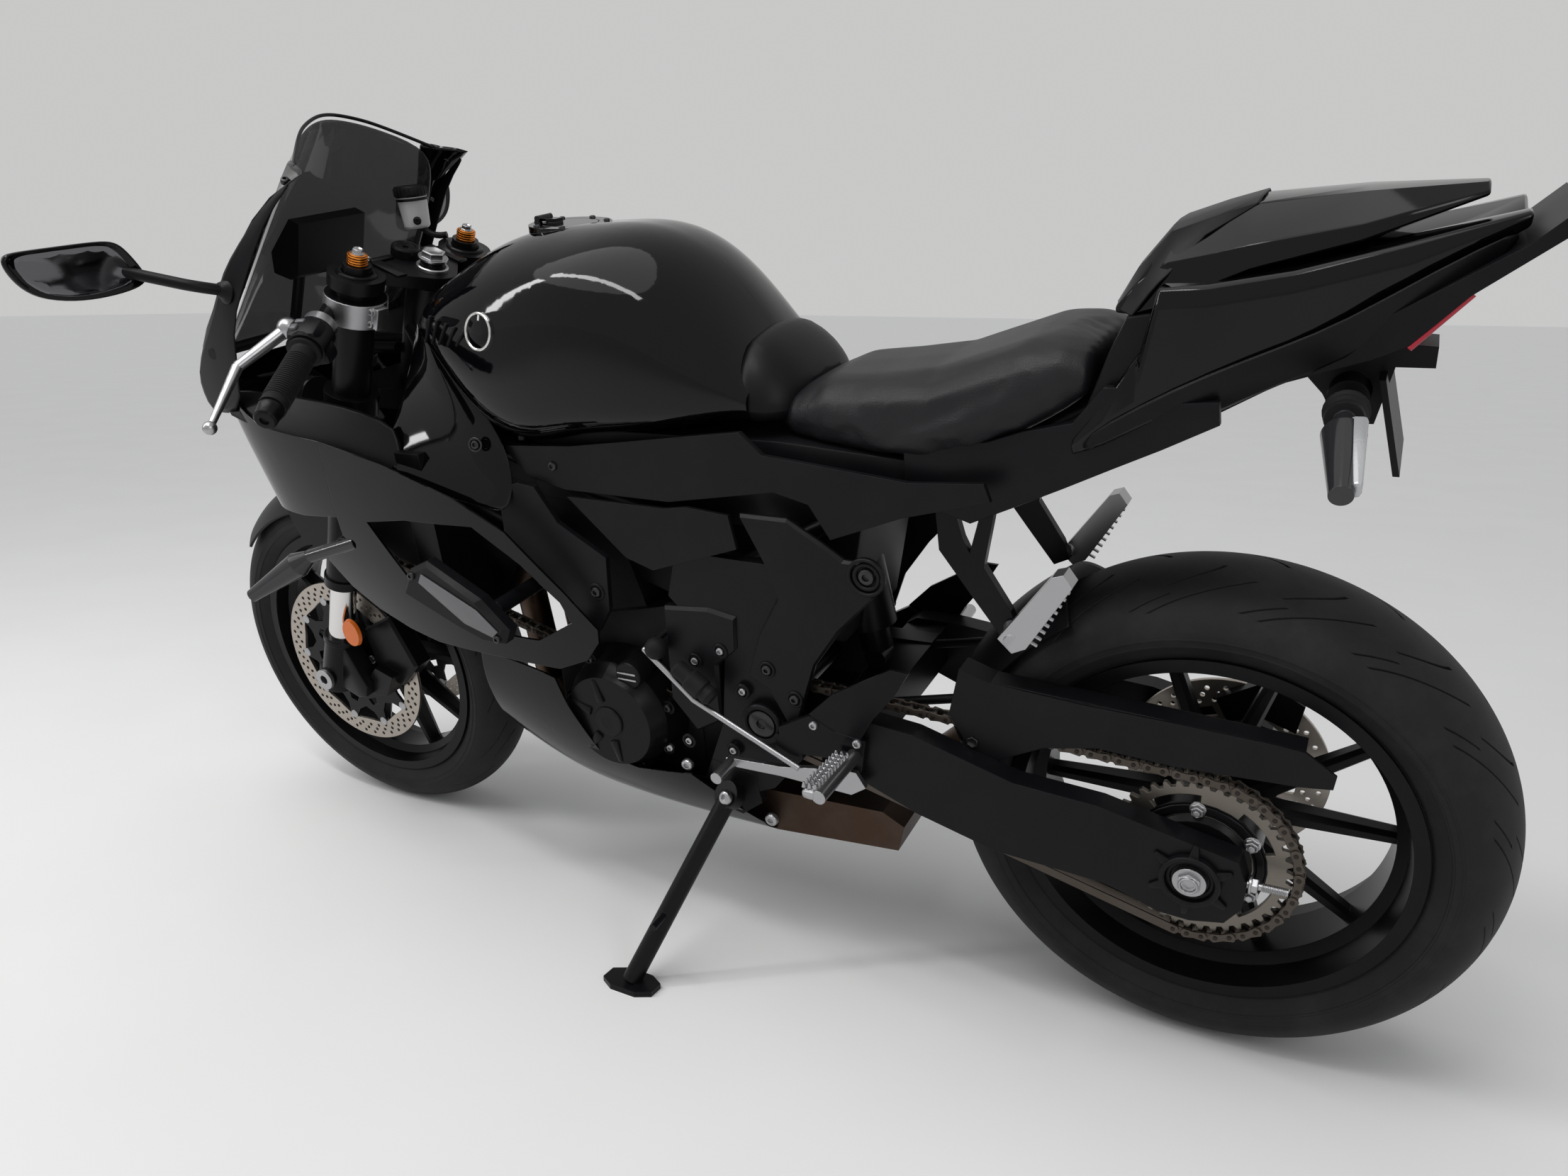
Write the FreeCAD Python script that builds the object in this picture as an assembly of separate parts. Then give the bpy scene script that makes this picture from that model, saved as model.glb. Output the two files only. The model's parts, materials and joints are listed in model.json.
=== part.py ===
import FreeCAD, Part
import math
import os

# A sport motorcycle parked on its side stand, leaning to its own left.
# It is built upright in a machine frame: X forward from the rear axle, Y to the
# rider's left, Z up from the ground. park() then leans it and sets it on the floor.

V = FreeCAD.Vector
ROTATION = FreeCAD.Rotation
PLACE = FreeCAD.Placement
X_AXIS = V(1, 0, 0)
Y_AXIS = V(0, 1, 0)
Z_AXIS = V(0, 0, 1)
LEFT = 1
RIGHT = -1
SIDES = (LEFT, RIGHT)

# Driving dimensions, in millimetres and degrees
WHEELBASE = 1395.0
SCREEN_TOP_HEIGHT = 1163.0
HANDLEBAR_WIDTH = 690.0
LEAN_ANGLE = 11.0
RAKE_ANGLE = 22.0
FORK_OFFSET = 35.0
FORK_SPACING = 212.0

# The body grid: the body follows the wheelbase in length, the screen top in height
# and the handlebars in width. Shares below are in these three pitches.
WHEELBASE_SHARE = 1.395
SCREEN_TOP_SHARE = 1.163
HANDLEBAR_WIDTH_SHARE = 0.690
SPAN = WHEELBASE / WHEELBASE_SHARE
RISE = SCREEN_TOP_HEIGHT / SCREEN_TOP_SHARE
BREADTH = HANDLEBAR_WIDTH / HANDLEBAR_WIDTH_SHARE

# Tyres: 120/70 R17 in front, 180/55 R17 behind
RIM_SEAT_RADIUS = 218.0
RIM_FLANGE_RADIUS = 229.0
FRONT_TYRE_RADIUS = 300.0
FRONT_TYRE_HALF_WIDTH = 60.0
FRONT_CROWN_DEPTH = 46.0
FRONT_RIM_HALF_WIDTH = 50.0
REAR_TYRE_RADIUS = 315.0
REAR_TYRE_HALF_WIDTH = 91.0
REAR_CROWN_DEPTH = 60.0
REAR_RIM_HALF_WIDTH = 76.0

# General clearances and small sizes that several pieces share
CUT_OVERRUN = 6.0
TOUCH_GAP = 0.3
PANEL_THICKNESS = 3.5
BOLT_HEAD_RADIUS = 7.0
BOLT_HEAD_HEIGHT = 5.0

made = {}


def grid(share):
    """A point of the machine from its (x, y, z) shares of the body grid."""
    return V(share[0] * SPAN, share[1] * BREADTH, share[2] * RISE)


def grid_flat(share, y):
    """A point at a side distance y from its (x, z) shares of the body grid."""
    return V(share[0] * SPAN, y, share[1] * RISE)


def mirrored(shape):
    return shape.mirror(V(0, 0, 0), Y_AXIS)


def both_sides(shape):
    return Part.makeCompound([shape, mirrored(shape)])


def fused(shapes):
    first, rest = shapes[0], shapes[1:]
    return first.multiFuse(rest).removeSplitter() if rest else first


def largest(shape):
    """The main solid of a cut shape, without the scraps beyond the cut."""
    return max(shape.Solids, key=lambda solid: solid.Volume)


def rod(start, end, radius):
    along = end - start
    return Part.makeCylinder(radius, along.Length, start, along)


def cone(start, end, start_radius, end_radius):
    along = end - start
    return Part.makeCone(start_radius, end_radius, along.Length, start, along)


def run(points, radius):
    """Straight round bars from point to point, with a ball in each corner."""
    bars = [rod(a, b, radius) for a, b in zip(points, points[1:])]
    balls = [Part.makeSphere(radius, p) for p in points[1:-1]]
    return fused(bars + balls)


def pipe_run(points, radius, wall):
    """The same run as an open pipe with that wall."""
    return run(points, radius).cut(run_with_overrun(points, radius - wall))


def run_with_overrun(points, radius):
    first = points[0] + (points[0] - points[1]).normalize() * CUT_OVERRUN
    last = points[-1] + (points[-1] - points[-2]).normalize() * CUT_OVERRUN
    return run([first] + points[1:-1] + [last], radius)


def spline_wire(points, closed=True):
    curve = Part.BSplineCurve()
    curve.interpolate(Points=points, PeriodicFlag=closed)
    return Part.Wire([curve.toShape()])


def corner_wire(points):
    return Part.makePolygon(points + [points[0]])


def prism(points, depth):
    """A plate with straight edges, from its corner points along the vector depth."""
    return Part.Face(corner_wire(points)).extrude(depth)


def smooth_prism(points, depth):
    """A plate whose edge is one smooth curve through the points."""
    return Part.Face(spline_wire(points)).extrude(depth)


def side_plate(shares, y_from, y_to):
    """A flat plate whose outline in side view is given in grid shares."""
    return prism([grid_flat(s, y_from) for s in shares], V(0, y_to - y_from, 0))


def smooth_side_plate(shares, y_from, y_to):
    return smooth_prism([grid_flat(s, y_from) for s in shares], V(0, y_to - y_from, 0))


def inset_points(points, inset):
    """The same outline with each point drawn towards the middle by about inset."""
    middle = V(0, 0, 0)
    for p in points:
        middle = middle + p
    middle = middle * (1 / len(points))
    return [p + (middle - p).normalize() * inset for p in points]


def bevelled_plate(points, depth, bevel):
    """A plate whose far face is drawn in by a bevel all round."""
    shoulder = depth * (1 - bevel / depth.Length)
    base = prism(points, shoulder)
    wires = [
        corner_wire([p + shoulder for p in points]),
        corner_wire([p + depth for p in inset_points(points, bevel)]),
    ]
    return fused([base, Part.makeLoft(wires, True, True)])


def loft(wires, ruled=False):
    return Part.makeLoft(wires, True, ruled)


def clamped_knots(pole_count, degree):
    """Even knots, repeated at both ends so that the surface meets its outer poles."""
    inner = pole_count - degree - 1
    knots = [float(i) for i in range(inner + 2)]
    return knots, [degree + 1] + [1] * inner + [degree + 1]


def pole_surface(rows):
    """A smooth surface drawn by rows of control points."""
    u_degree, v_degree = min(3, len(rows) - 1), min(3, len(rows[0]) - 1)
    u_knots, u_mults = clamped_knots(len(rows), u_degree)
    v_knots, v_mults = clamped_knots(len(rows[0]), v_degree)
    drawn = Part.BSplineSurface()
    drawn.buildFromPolesMultsKnots(
        rows, u_mults, v_mults, u_knots, v_knots, False, False, u_degree, v_degree
    )
    return drawn


def row_normals(rows):
    normals = []
    last_row, last_column = len(rows) - 1, len(rows[0]) - 1
    for i, row in enumerate(rows):
        normals.append([])
        for j in range(len(row)):
            down = rows[min(i + 1, last_row)][j] - rows[max(i - 1, 0)][j]
            across = row[min(j + 1, last_column)] - row[max(j - 1, 0)]
            normals[i].append(down.cross(across).normalize())
    return normals


def skin(rows, thickness):
    """A curved panel drawn by rows of control points, with its thickness along the
    normals: away from the side that down-the-rows cross along-a-row points to."""
    inner_rows = []
    for row, normals in zip(rows, row_normals(rows)):
        inner_rows.append([p + n * thickness for p, n in zip(row, normals)])
    outer, inner = pole_surface(rows), pole_surface(inner_rows)
    faces = [outer.toShape(), inner.toShape()]
    u_first, u_last, v_first, v_last = outer.bounds()
    for u in (u_first, u_last):
        faces.append(Part.makeRuledSurface(outer.uIso(u).toShape(), inner.uIso(u).toShape()))
    for v in (v_first, v_last):
        faces.append(Part.makeRuledSurface(outer.vIso(v).toShape(), inner.vIso(v).toShape()))
    shell = Part.makeShell(faces)
    shell.sewShape()
    solid = Part.makeSolid(shell)
    if solid.Volume < 0:
        solid.reverse()
    return solid


def half_section(x, half_shares):
    """A closed smooth section across the machine at a station x, from its left half.
    The half runs from the top centre to the bottom centre, in (y, z) shares."""
    left = [V(x * SPAN, y * BREADTH, z * RISE) for y, z in half_shares]
    right = [V(p.x, -p.y, p.z) for p in reversed(left[1:-1])]
    return spline_wire(left + right)


def body_loft(stations):
    """A closed body through several half sections."""
    return loft([half_section(x, halves) for x, halves in stations])


def creased_loft(stations):
    """A closed body through half sections whose corners stay sharp creases."""
    wires = []
    for x, halves in stations:
        left = [V(x * SPAN, y * BREADTH, z * RISE) for y, z in halves]
        wires.append(corner_wire(left + [V(p.x, -p.y, p.z) for p in reversed(left[1:-1])]))
    return loft(wires)


def revolve_profile(points, centre):
    """A ring or disc about the Y axis through centre, from (y, radius) points."""
    outline = [centre + V(0, y, radius) for y, radius in points]
    return Part.Face(corner_wire(outline)).revolve(centre, Y_AXIS, 360)


def crown_points(radius, half_width, depth, half_angle, count):
    """Points of an elliptical tread crown, from one shoulder to the other."""
    points = []
    for i in range(count):
        angle = math.radians(-half_angle + 2 * half_angle * i / (count - 1))
        points.append((half_width * math.sin(angle), radius - depth + depth * math.cos(angle)))
    return points


def rounded_outline(points, radius):
    """A closed outline of straight runs with equal round corners."""
    edges = []
    count = len(points)
    starts, ends = [], []
    for i, p in enumerate(points):
        before, after = points[i - 1], points[(i + 1) % count]
        into, out = (p - before).normalize(), (after - p).normalize()
        turn = into.getAngle(out)
        setback = radius * math.tan(turn / 2)
        first, last = p - into * setback, p + out * setback
        bisector = (out - into).normalize()
        middle = p + bisector * (radius / math.cos(turn / 2) - radius)
        starts.append(first)
        ends.append(last)
        edges.append(Part.Arc(first, middle, last).toShape())
    for i in range(count):
        edges.append(Part.LineSegment(ends[i], starts[(i + 1) % count]).toShape())
    return Part.Wire(Part.__sortEdges__(edges))


def soft_plate(points, depth, radius):
    """A plate with round corners."""
    return Part.Face(rounded_outline(points, radius)).extrude(depth)


# Axles, pivots and the steering axis
REAR_AXLE = V(0, 0, REAR_TYRE_RADIUS)
FRONT_AXLE = V(WHEELBASE, 0, FRONT_TYRE_RADIUS)
FORK_PLACE = PLACE(FRONT_AXLE, ROTATION(Y_AXIS, -RAKE_ANGLE))
STEERING_DIRECTION = FORK_PLACE.Rotation.multVec(Z_AXIS)


def fork_point(forward, side, up):
    """A point in the machine frame from its place on the fork: forward of the tubes'
    centre line, to the left of the middle, and up along the tubes from the axle."""
    return FORK_PLACE.multVec(V(forward, side, up))


def on_fork(shape):
    placed = shape.copy()
    placed.Placement = FORK_PLACE.multiply(placed.Placement)
    return placed


# Wheels
HUB_RADIUS = 34.0
HUB_HALF_WIDTH = 46.0
AXLE_RADIUS = 12.5
AXLE_BORE_RADIUS = 8.0
BEARING_GAP = 0.3
RIM_WALL = 5.0
RIM_WELL_RADIUS = 203.0
RIM_WELL_HALF_WIDTH_SHARE = 0.42
RIM_SLOPE_HALF_WIDTH_SHARE = 0.56
RIM_INNER_RADIUS = 196.0
SPOKE_PAIRS = 5
SPOKE_ROOT_SPREAD = 7.0
SPOKE_TIP_SPREAD = 17.0
SPOKE_ROOT_WIDTH = 24.0
SPOKE_TIP_WIDTH = 15.0
SPOKE_ROOT_DEPTH = 40.0
SPOKE_TIP_DEPTH = 26.0
TYRE_WALL = 9.0
BEAD_WIDTH = 10.0
CROWN_HALF_ANGLE = 80.0
CROWN_POINTS = 7
SIDEWALL_BULGE = 2.0
BRAKE_DISC_THICKNESS = 5.0
FRONT_DISC_RADIUS = 149.0
FRONT_DISC_INNER_RADIUS = 116.0
FRONT_DISC_SIDE = 73.0
FRONT_CARRIER_RADIUS = 124.0
FRONT_CARRIER_THICKNESS = 4.0
FRONT_CARRIER_ARMS = 10
FRONT_CARRIER_ARM_WIDTH = 14.0
DISC_MOUNT_RADIUS = 60.0
REAR_DISC_RADIUS = 122.5
REAR_DISC_INNER_RADIUS = 88.0
REAR_DISC_SIDE = 84.0
REAR_DISC_MOUNT_RADIUS = 66.0


def rim_profile(half_width):
    well = half_width * RIM_WELL_HALF_WIDTH_SHARE
    slope = half_width * RIM_SLOPE_HALF_WIDTH_SHARE
    seat = half_width - RIM_WALL
    outer = [(half_width, RIM_FLANGE_RADIUS), (seat, RIM_FLANGE_RADIUS), (seat, RIM_SEAT_RADIUS)]
    outer += [(slope, RIM_SEAT_RADIUS - RIM_WALL / 2), (well, RIM_WELL_RADIUS)]
    inner = [(half_width, RIM_SEAT_RADIUS - RIM_WALL)]
    inner += [(slope, RIM_SEAT_RADIUS - RIM_WALL * 2), (well, RIM_INNER_RADIUS)]
    right_outer = [(-y, r) for y, r in reversed(outer)]
    left_inner = [(y, r) for y, r in reversed(inner)]
    return outer + right_outer + [(-y, r) for y, r in inner] + left_inner


def spoke(angle_root, angle_tip):
    """One tapered spoke from the hub to the rim, about the Y axis."""
    def section(radius, angle, width, depth):
        half_w, half_d, edge = width / 2, depth / 2, depth / 4
        corners = [(half_w, edge), (half_w / 2, half_d), (-half_w / 2, half_d), (-half_w, edge)]
        corners += [(-x, -y) for x, y in corners]
        turned = ROTATION(Y_AXIS, angle)
        return corner_wire([turned.multVec(V(x, y, radius)) for x, y in corners])
    root_radius = HUB_RADIUS - RIM_WALL
    tip_radius = (RIM_INNER_RADIUS + RIM_WELL_RADIUS) / 2
    root = section(root_radius, angle_root, SPOKE_ROOT_WIDTH, SPOKE_ROOT_DEPTH)
    tip = section(tip_radius, angle_tip, SPOKE_TIP_WIDTH, SPOKE_TIP_DEPTH)
    return loft([root, tip], True)


def spokes():
    bars = []
    for i in range(SPOKE_PAIRS):
        middle = i * 360 / SPOKE_PAIRS
        for side in SIDES:
            root = middle + side * SPOKE_ROOT_SPREAD
            bars.append(spoke(root, middle + side * SPOKE_TIP_SPREAD))
    return bars


def disc_flange(side, disc_side, radius):
    """The boss on the hub that carries a brake disc or a sprocket."""
    inner = V(0, side * (HUB_HALF_WIDTH - RIM_WALL), 0)
    outer = V(0, side * (disc_side - TOUCH_GAP), 0)
    return rod(inner, outer, radius)


def rim(half_width, flanges):
    barrel = revolve_profile(rim_profile(half_width), V(0, 0, 0))
    hub = rod(V(0, -HUB_HALF_WIDTH, 0), V(0, HUB_HALF_WIDTH, 0), HUB_RADIUS)
    bore_end = V(0, half_width + HUB_HALF_WIDTH, 0)
    bore = rod(bore_end * RIGHT, bore_end, AXLE_RADIUS + BEARING_GAP)
    return fused([barrel, hub] + spokes() + flanges).cut(bore)


def tyre(radius, half_width, depth, rim_half_width):
    """A hollow tyre: crown, sidewalls and two beads on the rim's seats."""
    bead_outer = rim_half_width - RIM_WALL - TOUCH_GAP
    bead_inner = bead_outer - BEAD_WIDTH
    bead_radius = RIM_SEAT_RADIUS + TOUCH_GAP * 2
    flange_top = RIM_FLANGE_RADIUS + TOUCH_GAP * 2
    crown = crown_points(radius, half_width, depth, CROWN_HALF_ANGLE, CROWN_POINTS)
    lip = (rim_half_width + SIDEWALL_BULGE, flange_top + TYRE_WALL)
    outer = [(-lip[0], lip[1])] + crown + [lip]
    liner = crown_points(
        radius - TYRE_WALL, half_width - TYRE_WALL, depth - TYRE_WALL,
        CROWN_HALF_ANGLE, CROWN_POINTS,
    )
    outer_curve = Part.BSplineCurve()
    outer_curve.interpolate([V(0, y, r) for y, r in outer])
    liner_curve = Part.BSplineCurve()
    liner_curve.interpolate([V(0, y, r) for y, r in reversed(liner)])
    left_bead = [
        V(0, lip[0], lip[1]), V(0, bead_outer, flange_top), V(0, bead_outer, bead_radius),
        V(0, bead_inner, bead_radius), V(0, bead_inner, flange_top),
        V(0, liner[-1][0], liner[-1][1]),
    ]
    right_bead = [V(0, -p.y, p.z) for p in reversed(left_bead)]
    edges = [outer_curve.toShape(), liner_curve.toShape()]
    for bead in (left_bead, right_bead):
        edges += [Part.LineSegment(a, b).toShape() for a, b in zip(bead, bead[1:])]
    outline = Part.Wire(Part.__sortEdges__(edges))
    return Part.Face(outline).revolve(V(0, 0, 0), Y_AXIS, 360)


def ring(outer_radius, inner_radius, thickness, y):
    """A flat ring about the Y axis, centred on y."""
    start, along = V(0, y - thickness / 2, 0), Y_AXIS
    body = Part.makeCylinder(outer_radius, thickness, start, along)
    hole_start = V(0, start.y - CUT_OVERRUN, 0)
    return body.cut(Part.makeCylinder(inner_radius, thickness + CUT_OVERRUN * 2, hole_start, along))


def front_disc(side):
    """A floating disc: a pale ring carried by a star with round bosses."""
    y = side * FRONT_DISC_SIDE
    steel = ring(FRONT_DISC_RADIUS, FRONT_DISC_INNER_RADIUS, BRAKE_DISC_THICKNESS, y)
    star = [ring(DISC_MOUNT_RADIUS, AXLE_RADIUS * 2, FRONT_CARRIER_THICKNESS, y)]
    for i in range(FRONT_CARRIER_ARMS):
        turned = ROTATION(Y_AXIS, i * 360 / FRONT_CARRIER_ARMS)
        half = FRONT_CARRIER_ARM_WIDTH / 2
        start = y - FRONT_CARRIER_THICKNESS / 2
        corners = [V(-half, start, DISC_MOUNT_RADIUS - half), V(half, start, DISC_MOUNT_RADIUS - half)]
        corners += [V(half, start, FRONT_DISC_INNER_RADIUS + half)]
        corners += [V(-half, start, FRONT_DISC_INNER_RADIUS + half)]
        arm = prism([turned.multVec(c) for c in corners], V(0, FRONT_CARRIER_THICKNESS, 0))
        star.append(arm)
    return fused([steel] + star)


def at_axle(shape, axle):
    placed = shape.copy()
    placed.translate(axle)
    return placed


def make_front_wheel():
    flanges = [disc_flange(s, FRONT_DISC_SIDE - BRAKE_DISC_THICKNESS / 2, DISC_MOUNT_RADIUS) for s in SIDES]
    made["front_rim"] = at_axle(rim(FRONT_RIM_HALF_WIDTH, flanges), FRONT_AXLE)
    made["front_tyre"] = at_axle(
        tyre(FRONT_TYRE_RADIUS, FRONT_TYRE_HALF_WIDTH, FRONT_CROWN_DEPTH, FRONT_RIM_HALF_WIDTH),
        FRONT_AXLE,
    )
    made["front_discs"] = at_axle(Part.makeCompound([front_disc(s) for s in SIDES]), FRONT_AXLE)


# Chain and sprocket: 525 chain, 42 teeth behind and 16 in front
CHAIN_PITCH = 15.875
CHAIN_SIDE = 114.0
CHAIN_ROLLER_RADIUS = 5.1
CHAIN_ROLLER_WIDTH = 8.0
CHAIN_PLATE_THICKNESS = 4.0
CHAIN_PLATE_RADIUS = 7.2
CHAIN_WAIST = 4.6
REAR_TEETH = 42
FRONT_TEETH = 16
REAR_PITCH_RADIUS = CHAIN_PITCH / (2 * math.sin(math.pi / REAR_TEETH))
FRONT_PITCH_RADIUS = CHAIN_PITCH / (2 * math.sin(math.pi / FRONT_TEETH))
DRIVE_SPROCKET_SHARE = (0.610, 0.415)
SPROCKET_THICKNESS = 6.0
SPROCKET_TOOTH_DEPTH = 7.0
SPROCKET_SLOTS = 5
SPROCKET_SLOT_RADIUS = 78.0
SPROCKET_SLOT_WIDTH = 13.0
SPROCKET_SLOT_ANGLE = 40.0
SPROCKET_MOUNT_RADIUS = 64.0
SPROCKET_BORE_RADIUS = 36.0


def sprocket_slot(angle):
    """A curved lightening slot, as a ring sector with round ends."""
    half = SPROCKET_SLOT_WIDTH / 2
    turned = ROTATION(Y_AXIS, angle)
    start = V(0, -SPROCKET_THICKNESS, 0)
    face = Part.Face(corner_wire([
        start + V(0, 0, SPROCKET_SLOT_RADIUS - half),
        start + V(0, 0, SPROCKET_SLOT_RADIUS + half),
        start + V(0, SPROCKET_THICKNESS * 2, SPROCKET_SLOT_RADIUS + half),
        start + V(0, SPROCKET_THICKNESS * 2, SPROCKET_SLOT_RADIUS - half),
    ]))
    slot = face.revolve(V(0, 0, 0), Y_AXIS, SPROCKET_SLOT_ANGLE)
    slot.Placement = PLACE(V(0, 0, 0), turned).multiply(slot.Placement)
    return slot


def rear_sprocket():
    tip = REAR_PITCH_RADIUS - CHAIN_ROLLER_RADIUS - TOUCH_GAP * 2
    root = tip - SPROCKET_TOOTH_DEPTH
    points = []
    for i in range(REAR_TEETH):
        step = 2 * math.pi / REAR_TEETH
        for share, radius in ((0.0, root), (0.36, root), (0.56, tip), (0.80, tip)):
            angle = (i + share) * step
            points.append(V(radius * math.sin(angle), -SPROCKET_THICKNESS / 2, radius * math.cos(angle)))
    plate = prism(points, V(0, SPROCKET_THICKNESS, 0))
    slots = [sprocket_slot(i * 360 / SPROCKET_SLOTS) for i in range(SPROCKET_SLOTS)]
    bore = rod(V(0, -SPROCKET_THICKNESS, 0), V(0, SPROCKET_THICKNESS, 0), SPROCKET_BORE_RADIUS)
    return plate.cut(Part.makeCompound(slots + [bore]))


def chain_path():
    """The chain's pins in turn, on the tangents and round both sprockets."""
    rear = V(0, CHAIN_SIDE, REAR_TYRE_RADIUS)
    front = grid_flat(DRIVE_SPROCKET_SHARE, CHAIN_SIDE)
    along = front - rear
    tilt = math.atan2(along.z, along.x)
    closing = math.asin((REAR_PITCH_RADIUS - FRONT_PITCH_RADIUS) / along.Length)
    straight = math.sqrt(along.Length ** 2 - (REAR_PITCH_RADIUS - FRONT_PITCH_RADIUS) ** 2)
    top, bottom = tilt + math.pi / 2 - closing, tilt - math.pi / 2 + closing
    rear_wrap = 2 * math.pi - (top - bottom)
    front_wrap = top - bottom
    lengths = [straight, front_wrap * FRONT_PITCH_RADIUS, straight, rear_wrap * REAR_PITCH_RADIUS]
    total = sum(lengths)
    links = 2 * round(total / CHAIN_PITCH / 2)

    def place(distance):
        if distance < lengths[0]:
            start = rear + V(math.cos(top), 0, math.sin(top)) * REAR_PITCH_RADIUS
            return start + V(math.sin(top), 0, -math.cos(top)) * distance
        distance -= lengths[0]
        if distance < lengths[1]:
            angle = top - distance / FRONT_PITCH_RADIUS
            return front + V(math.cos(angle), 0, math.sin(angle)) * FRONT_PITCH_RADIUS
        distance -= lengths[1]
        if distance < lengths[2]:
            start = front + V(math.cos(bottom), 0, math.sin(bottom)) * FRONT_PITCH_RADIUS
            return start + V(math.sin(bottom), 0, -math.cos(bottom)) * distance
        distance -= lengths[2]
        angle = bottom - distance / REAR_PITCH_RADIUS
        return rear + V(math.cos(angle), 0, math.sin(angle)) * REAR_PITCH_RADIUS

    return [place(i * total / links) for i in range(links)]


def chain_strip(pins, y):
    """One side of the chain: its link plates, broad at each pin and narrow between."""
    outer, inner = [], []
    count = len(pins)
    for i, pin in enumerate(pins):
        ahead = pins[(i + 1) % count]
        normal_here = (ahead - pins[i - 1]).cross(Y_AXIS).normalize()
        normal_link = (ahead - pin).cross(Y_AXIS).normalize()
        middle = (pin + ahead) * 0.5
        at_side = V(0, y - pin.y, 0)
        outer += [pin + normal_here * CHAIN_PLATE_RADIUS + at_side]
        outer += [middle + normal_link * CHAIN_WAIST + at_side]
        inner += [pin - normal_here * CHAIN_PLATE_RADIUS + at_side]
        inner += [middle - normal_link * CHAIN_WAIST + at_side]
    depth = V(0, CHAIN_PLATE_THICKNESS, 0)
    shapes = [prism(outer, depth), prism(inner, depth)]
    shapes.sort(key=lambda shape: shape.Volume)
    return shapes[1].cut(shapes[0])


def chain():
    pins = chain_path()
    half = CHAIN_ROLLER_WIDTH / 2
    left = chain_strip(pins, CHAIN_SIDE + half)
    right = chain_strip(pins, CHAIN_SIDE - half - CHAIN_PLATE_THICKNESS)
    rollers = []
    for pin in pins:
        start = pin - V(0, half, 0)
        corners = []
        for i in range(4):
            angle = i * math.pi / 2
            offset = V(math.cos(angle), 0, math.sin(angle)) * CHAIN_ROLLER_RADIUS
            corners.append(start + offset)
        rollers.append(prism(corners, V(0, CHAIN_ROLLER_WIDTH, 0)))
    return fused([left, right] + rollers)


def make_rear_wheel():
    flanges = [
        disc_flange(LEFT, CHAIN_SIDE - SPROCKET_THICKNESS / 2, SPROCKET_MOUNT_RADIUS),
        disc_flange(RIGHT, REAR_DISC_SIDE - BRAKE_DISC_THICKNESS / 2, REAR_DISC_MOUNT_RADIUS),
    ]
    made["rear_rim"] = at_axle(rim(REAR_RIM_HALF_WIDTH, flanges), REAR_AXLE)
    made["rear_tyre"] = at_axle(
        tyre(REAR_TYRE_RADIUS, REAR_TYRE_HALF_WIDTH, REAR_CROWN_DEPTH, REAR_RIM_HALF_WIDTH),
        REAR_AXLE,
    )
    disc = ring(REAR_DISC_RADIUS, AXLE_RADIUS * 2, BRAKE_DISC_THICKNESS, -REAR_DISC_SIDE)
    windows = []
    for i in range(SPROCKET_SLOTS):
        start, end = REAR_DISC_MOUNT_RADIUS + RIM_WALL, REAR_DISC_INNER_RADIUS
        span = ring(end, start, BRAKE_DISC_THICKNESS * 2, -REAR_DISC_SIDE)
        turned = ROTATION(Y_AXIS, i * 360 / SPROCKET_SLOTS)
        wedge = prism(
            [turned.multVec(V(x, -REAR_DISC_SIDE * 2, end)) for x in (-end / 2, end / 2)]
            + [V(0, -REAR_DISC_SIDE * 2, 0)], V(0, REAR_DISC_SIDE * 2, 0),
        )
        windows.append(span.common(wedge))
    made["rear_disc"] = at_axle(disc.cut(Part.makeCompound(windows)), REAR_AXLE)
    sprocket = rear_sprocket()
    sprocket.translate(REAR_AXLE + V(0, CHAIN_SIDE, 0))
    made["rear_sprocket"] = sprocket
    made["chain"] = chain()


# Fork and steering
FORK_TUBE_RADIUS = 27.0
FORK_INNER_RADIUS = 20.5
FORK_INNER_BOTTOM = 60.0
FORK_OUTER_BOTTOM = 190.0
FORK_OUTER_TOP = 715.0
FORK_CAP_RADIUS = 19.0
FORK_CAP_HEIGHT = 12.0
ADJUSTER_RADIUS = 12.0
ADJUSTER_HEIGHT = 14.0
FORK_SEAL_RADIUS = 30.0
FORK_SEAL_HEIGHT = 16.0
CASTING_BOTTOM = -30.0
CASTING_TOP = 78.0
CASTING_RADIUS = 26.0
AXLE_CLAMP_RADIUS = 28.0
FORK_HALF = FORK_SPACING / 2
TOP_CLAMP_BOTTOM = 696.0
TOP_CLAMP_THICKNESS = 18.0
LOWER_CLAMP_BOTTOM = 505.0
LOWER_CLAMP_THICKNESS = 32.0
CLAMP_COLLAR_RADIUS = 38.0
STEM_RADIUS = 17.0
STEM_BORE_RADIUS = 9.0
STEM_NUT_RADIUS = 17.0
STEM_NUT_HEIGHT = 16.0
HEAD_TUBE_RADIUS = 34.0
HEAD_TUBE_GAP = 2.0
HEAD_TUBE_PIN_GAP = 0.5
CLAMP_WEB_SHARES = [(-1.00, 0.30), (-0.20, -0.72), (0.20, -0.72), (1.00, 0.30), (0.60, 0.62), (-0.60, 0.62)]
CALIPER_LUG_LENGTH = 62.0


def outer_tube(side):
    y = side * FORK_HALF
    tube = rod(V(0, y, FORK_OUTER_BOTTOM), V(0, y, FORK_OUTER_TOP), FORK_TUBE_RADIUS)
    seal_top = FORK_OUTER_BOTTOM + FORK_SEAL_HEIGHT
    seal = rod(V(0, y, FORK_OUTER_BOTTOM), V(0, y, seal_top), FORK_SEAL_RADIUS)
    cap_top = FORK_OUTER_TOP + FORK_CAP_HEIGHT
    cap = rod(V(0, y, FORK_OUTER_TOP), V(0, y, cap_top), FORK_CAP_RADIUS)
    adjuster = rod(V(0, y, cap_top), V(0, y, cap_top + ADJUSTER_HEIGHT), ADJUSTER_RADIUS)
    return fused([tube, seal, cap, adjuster])


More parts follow.
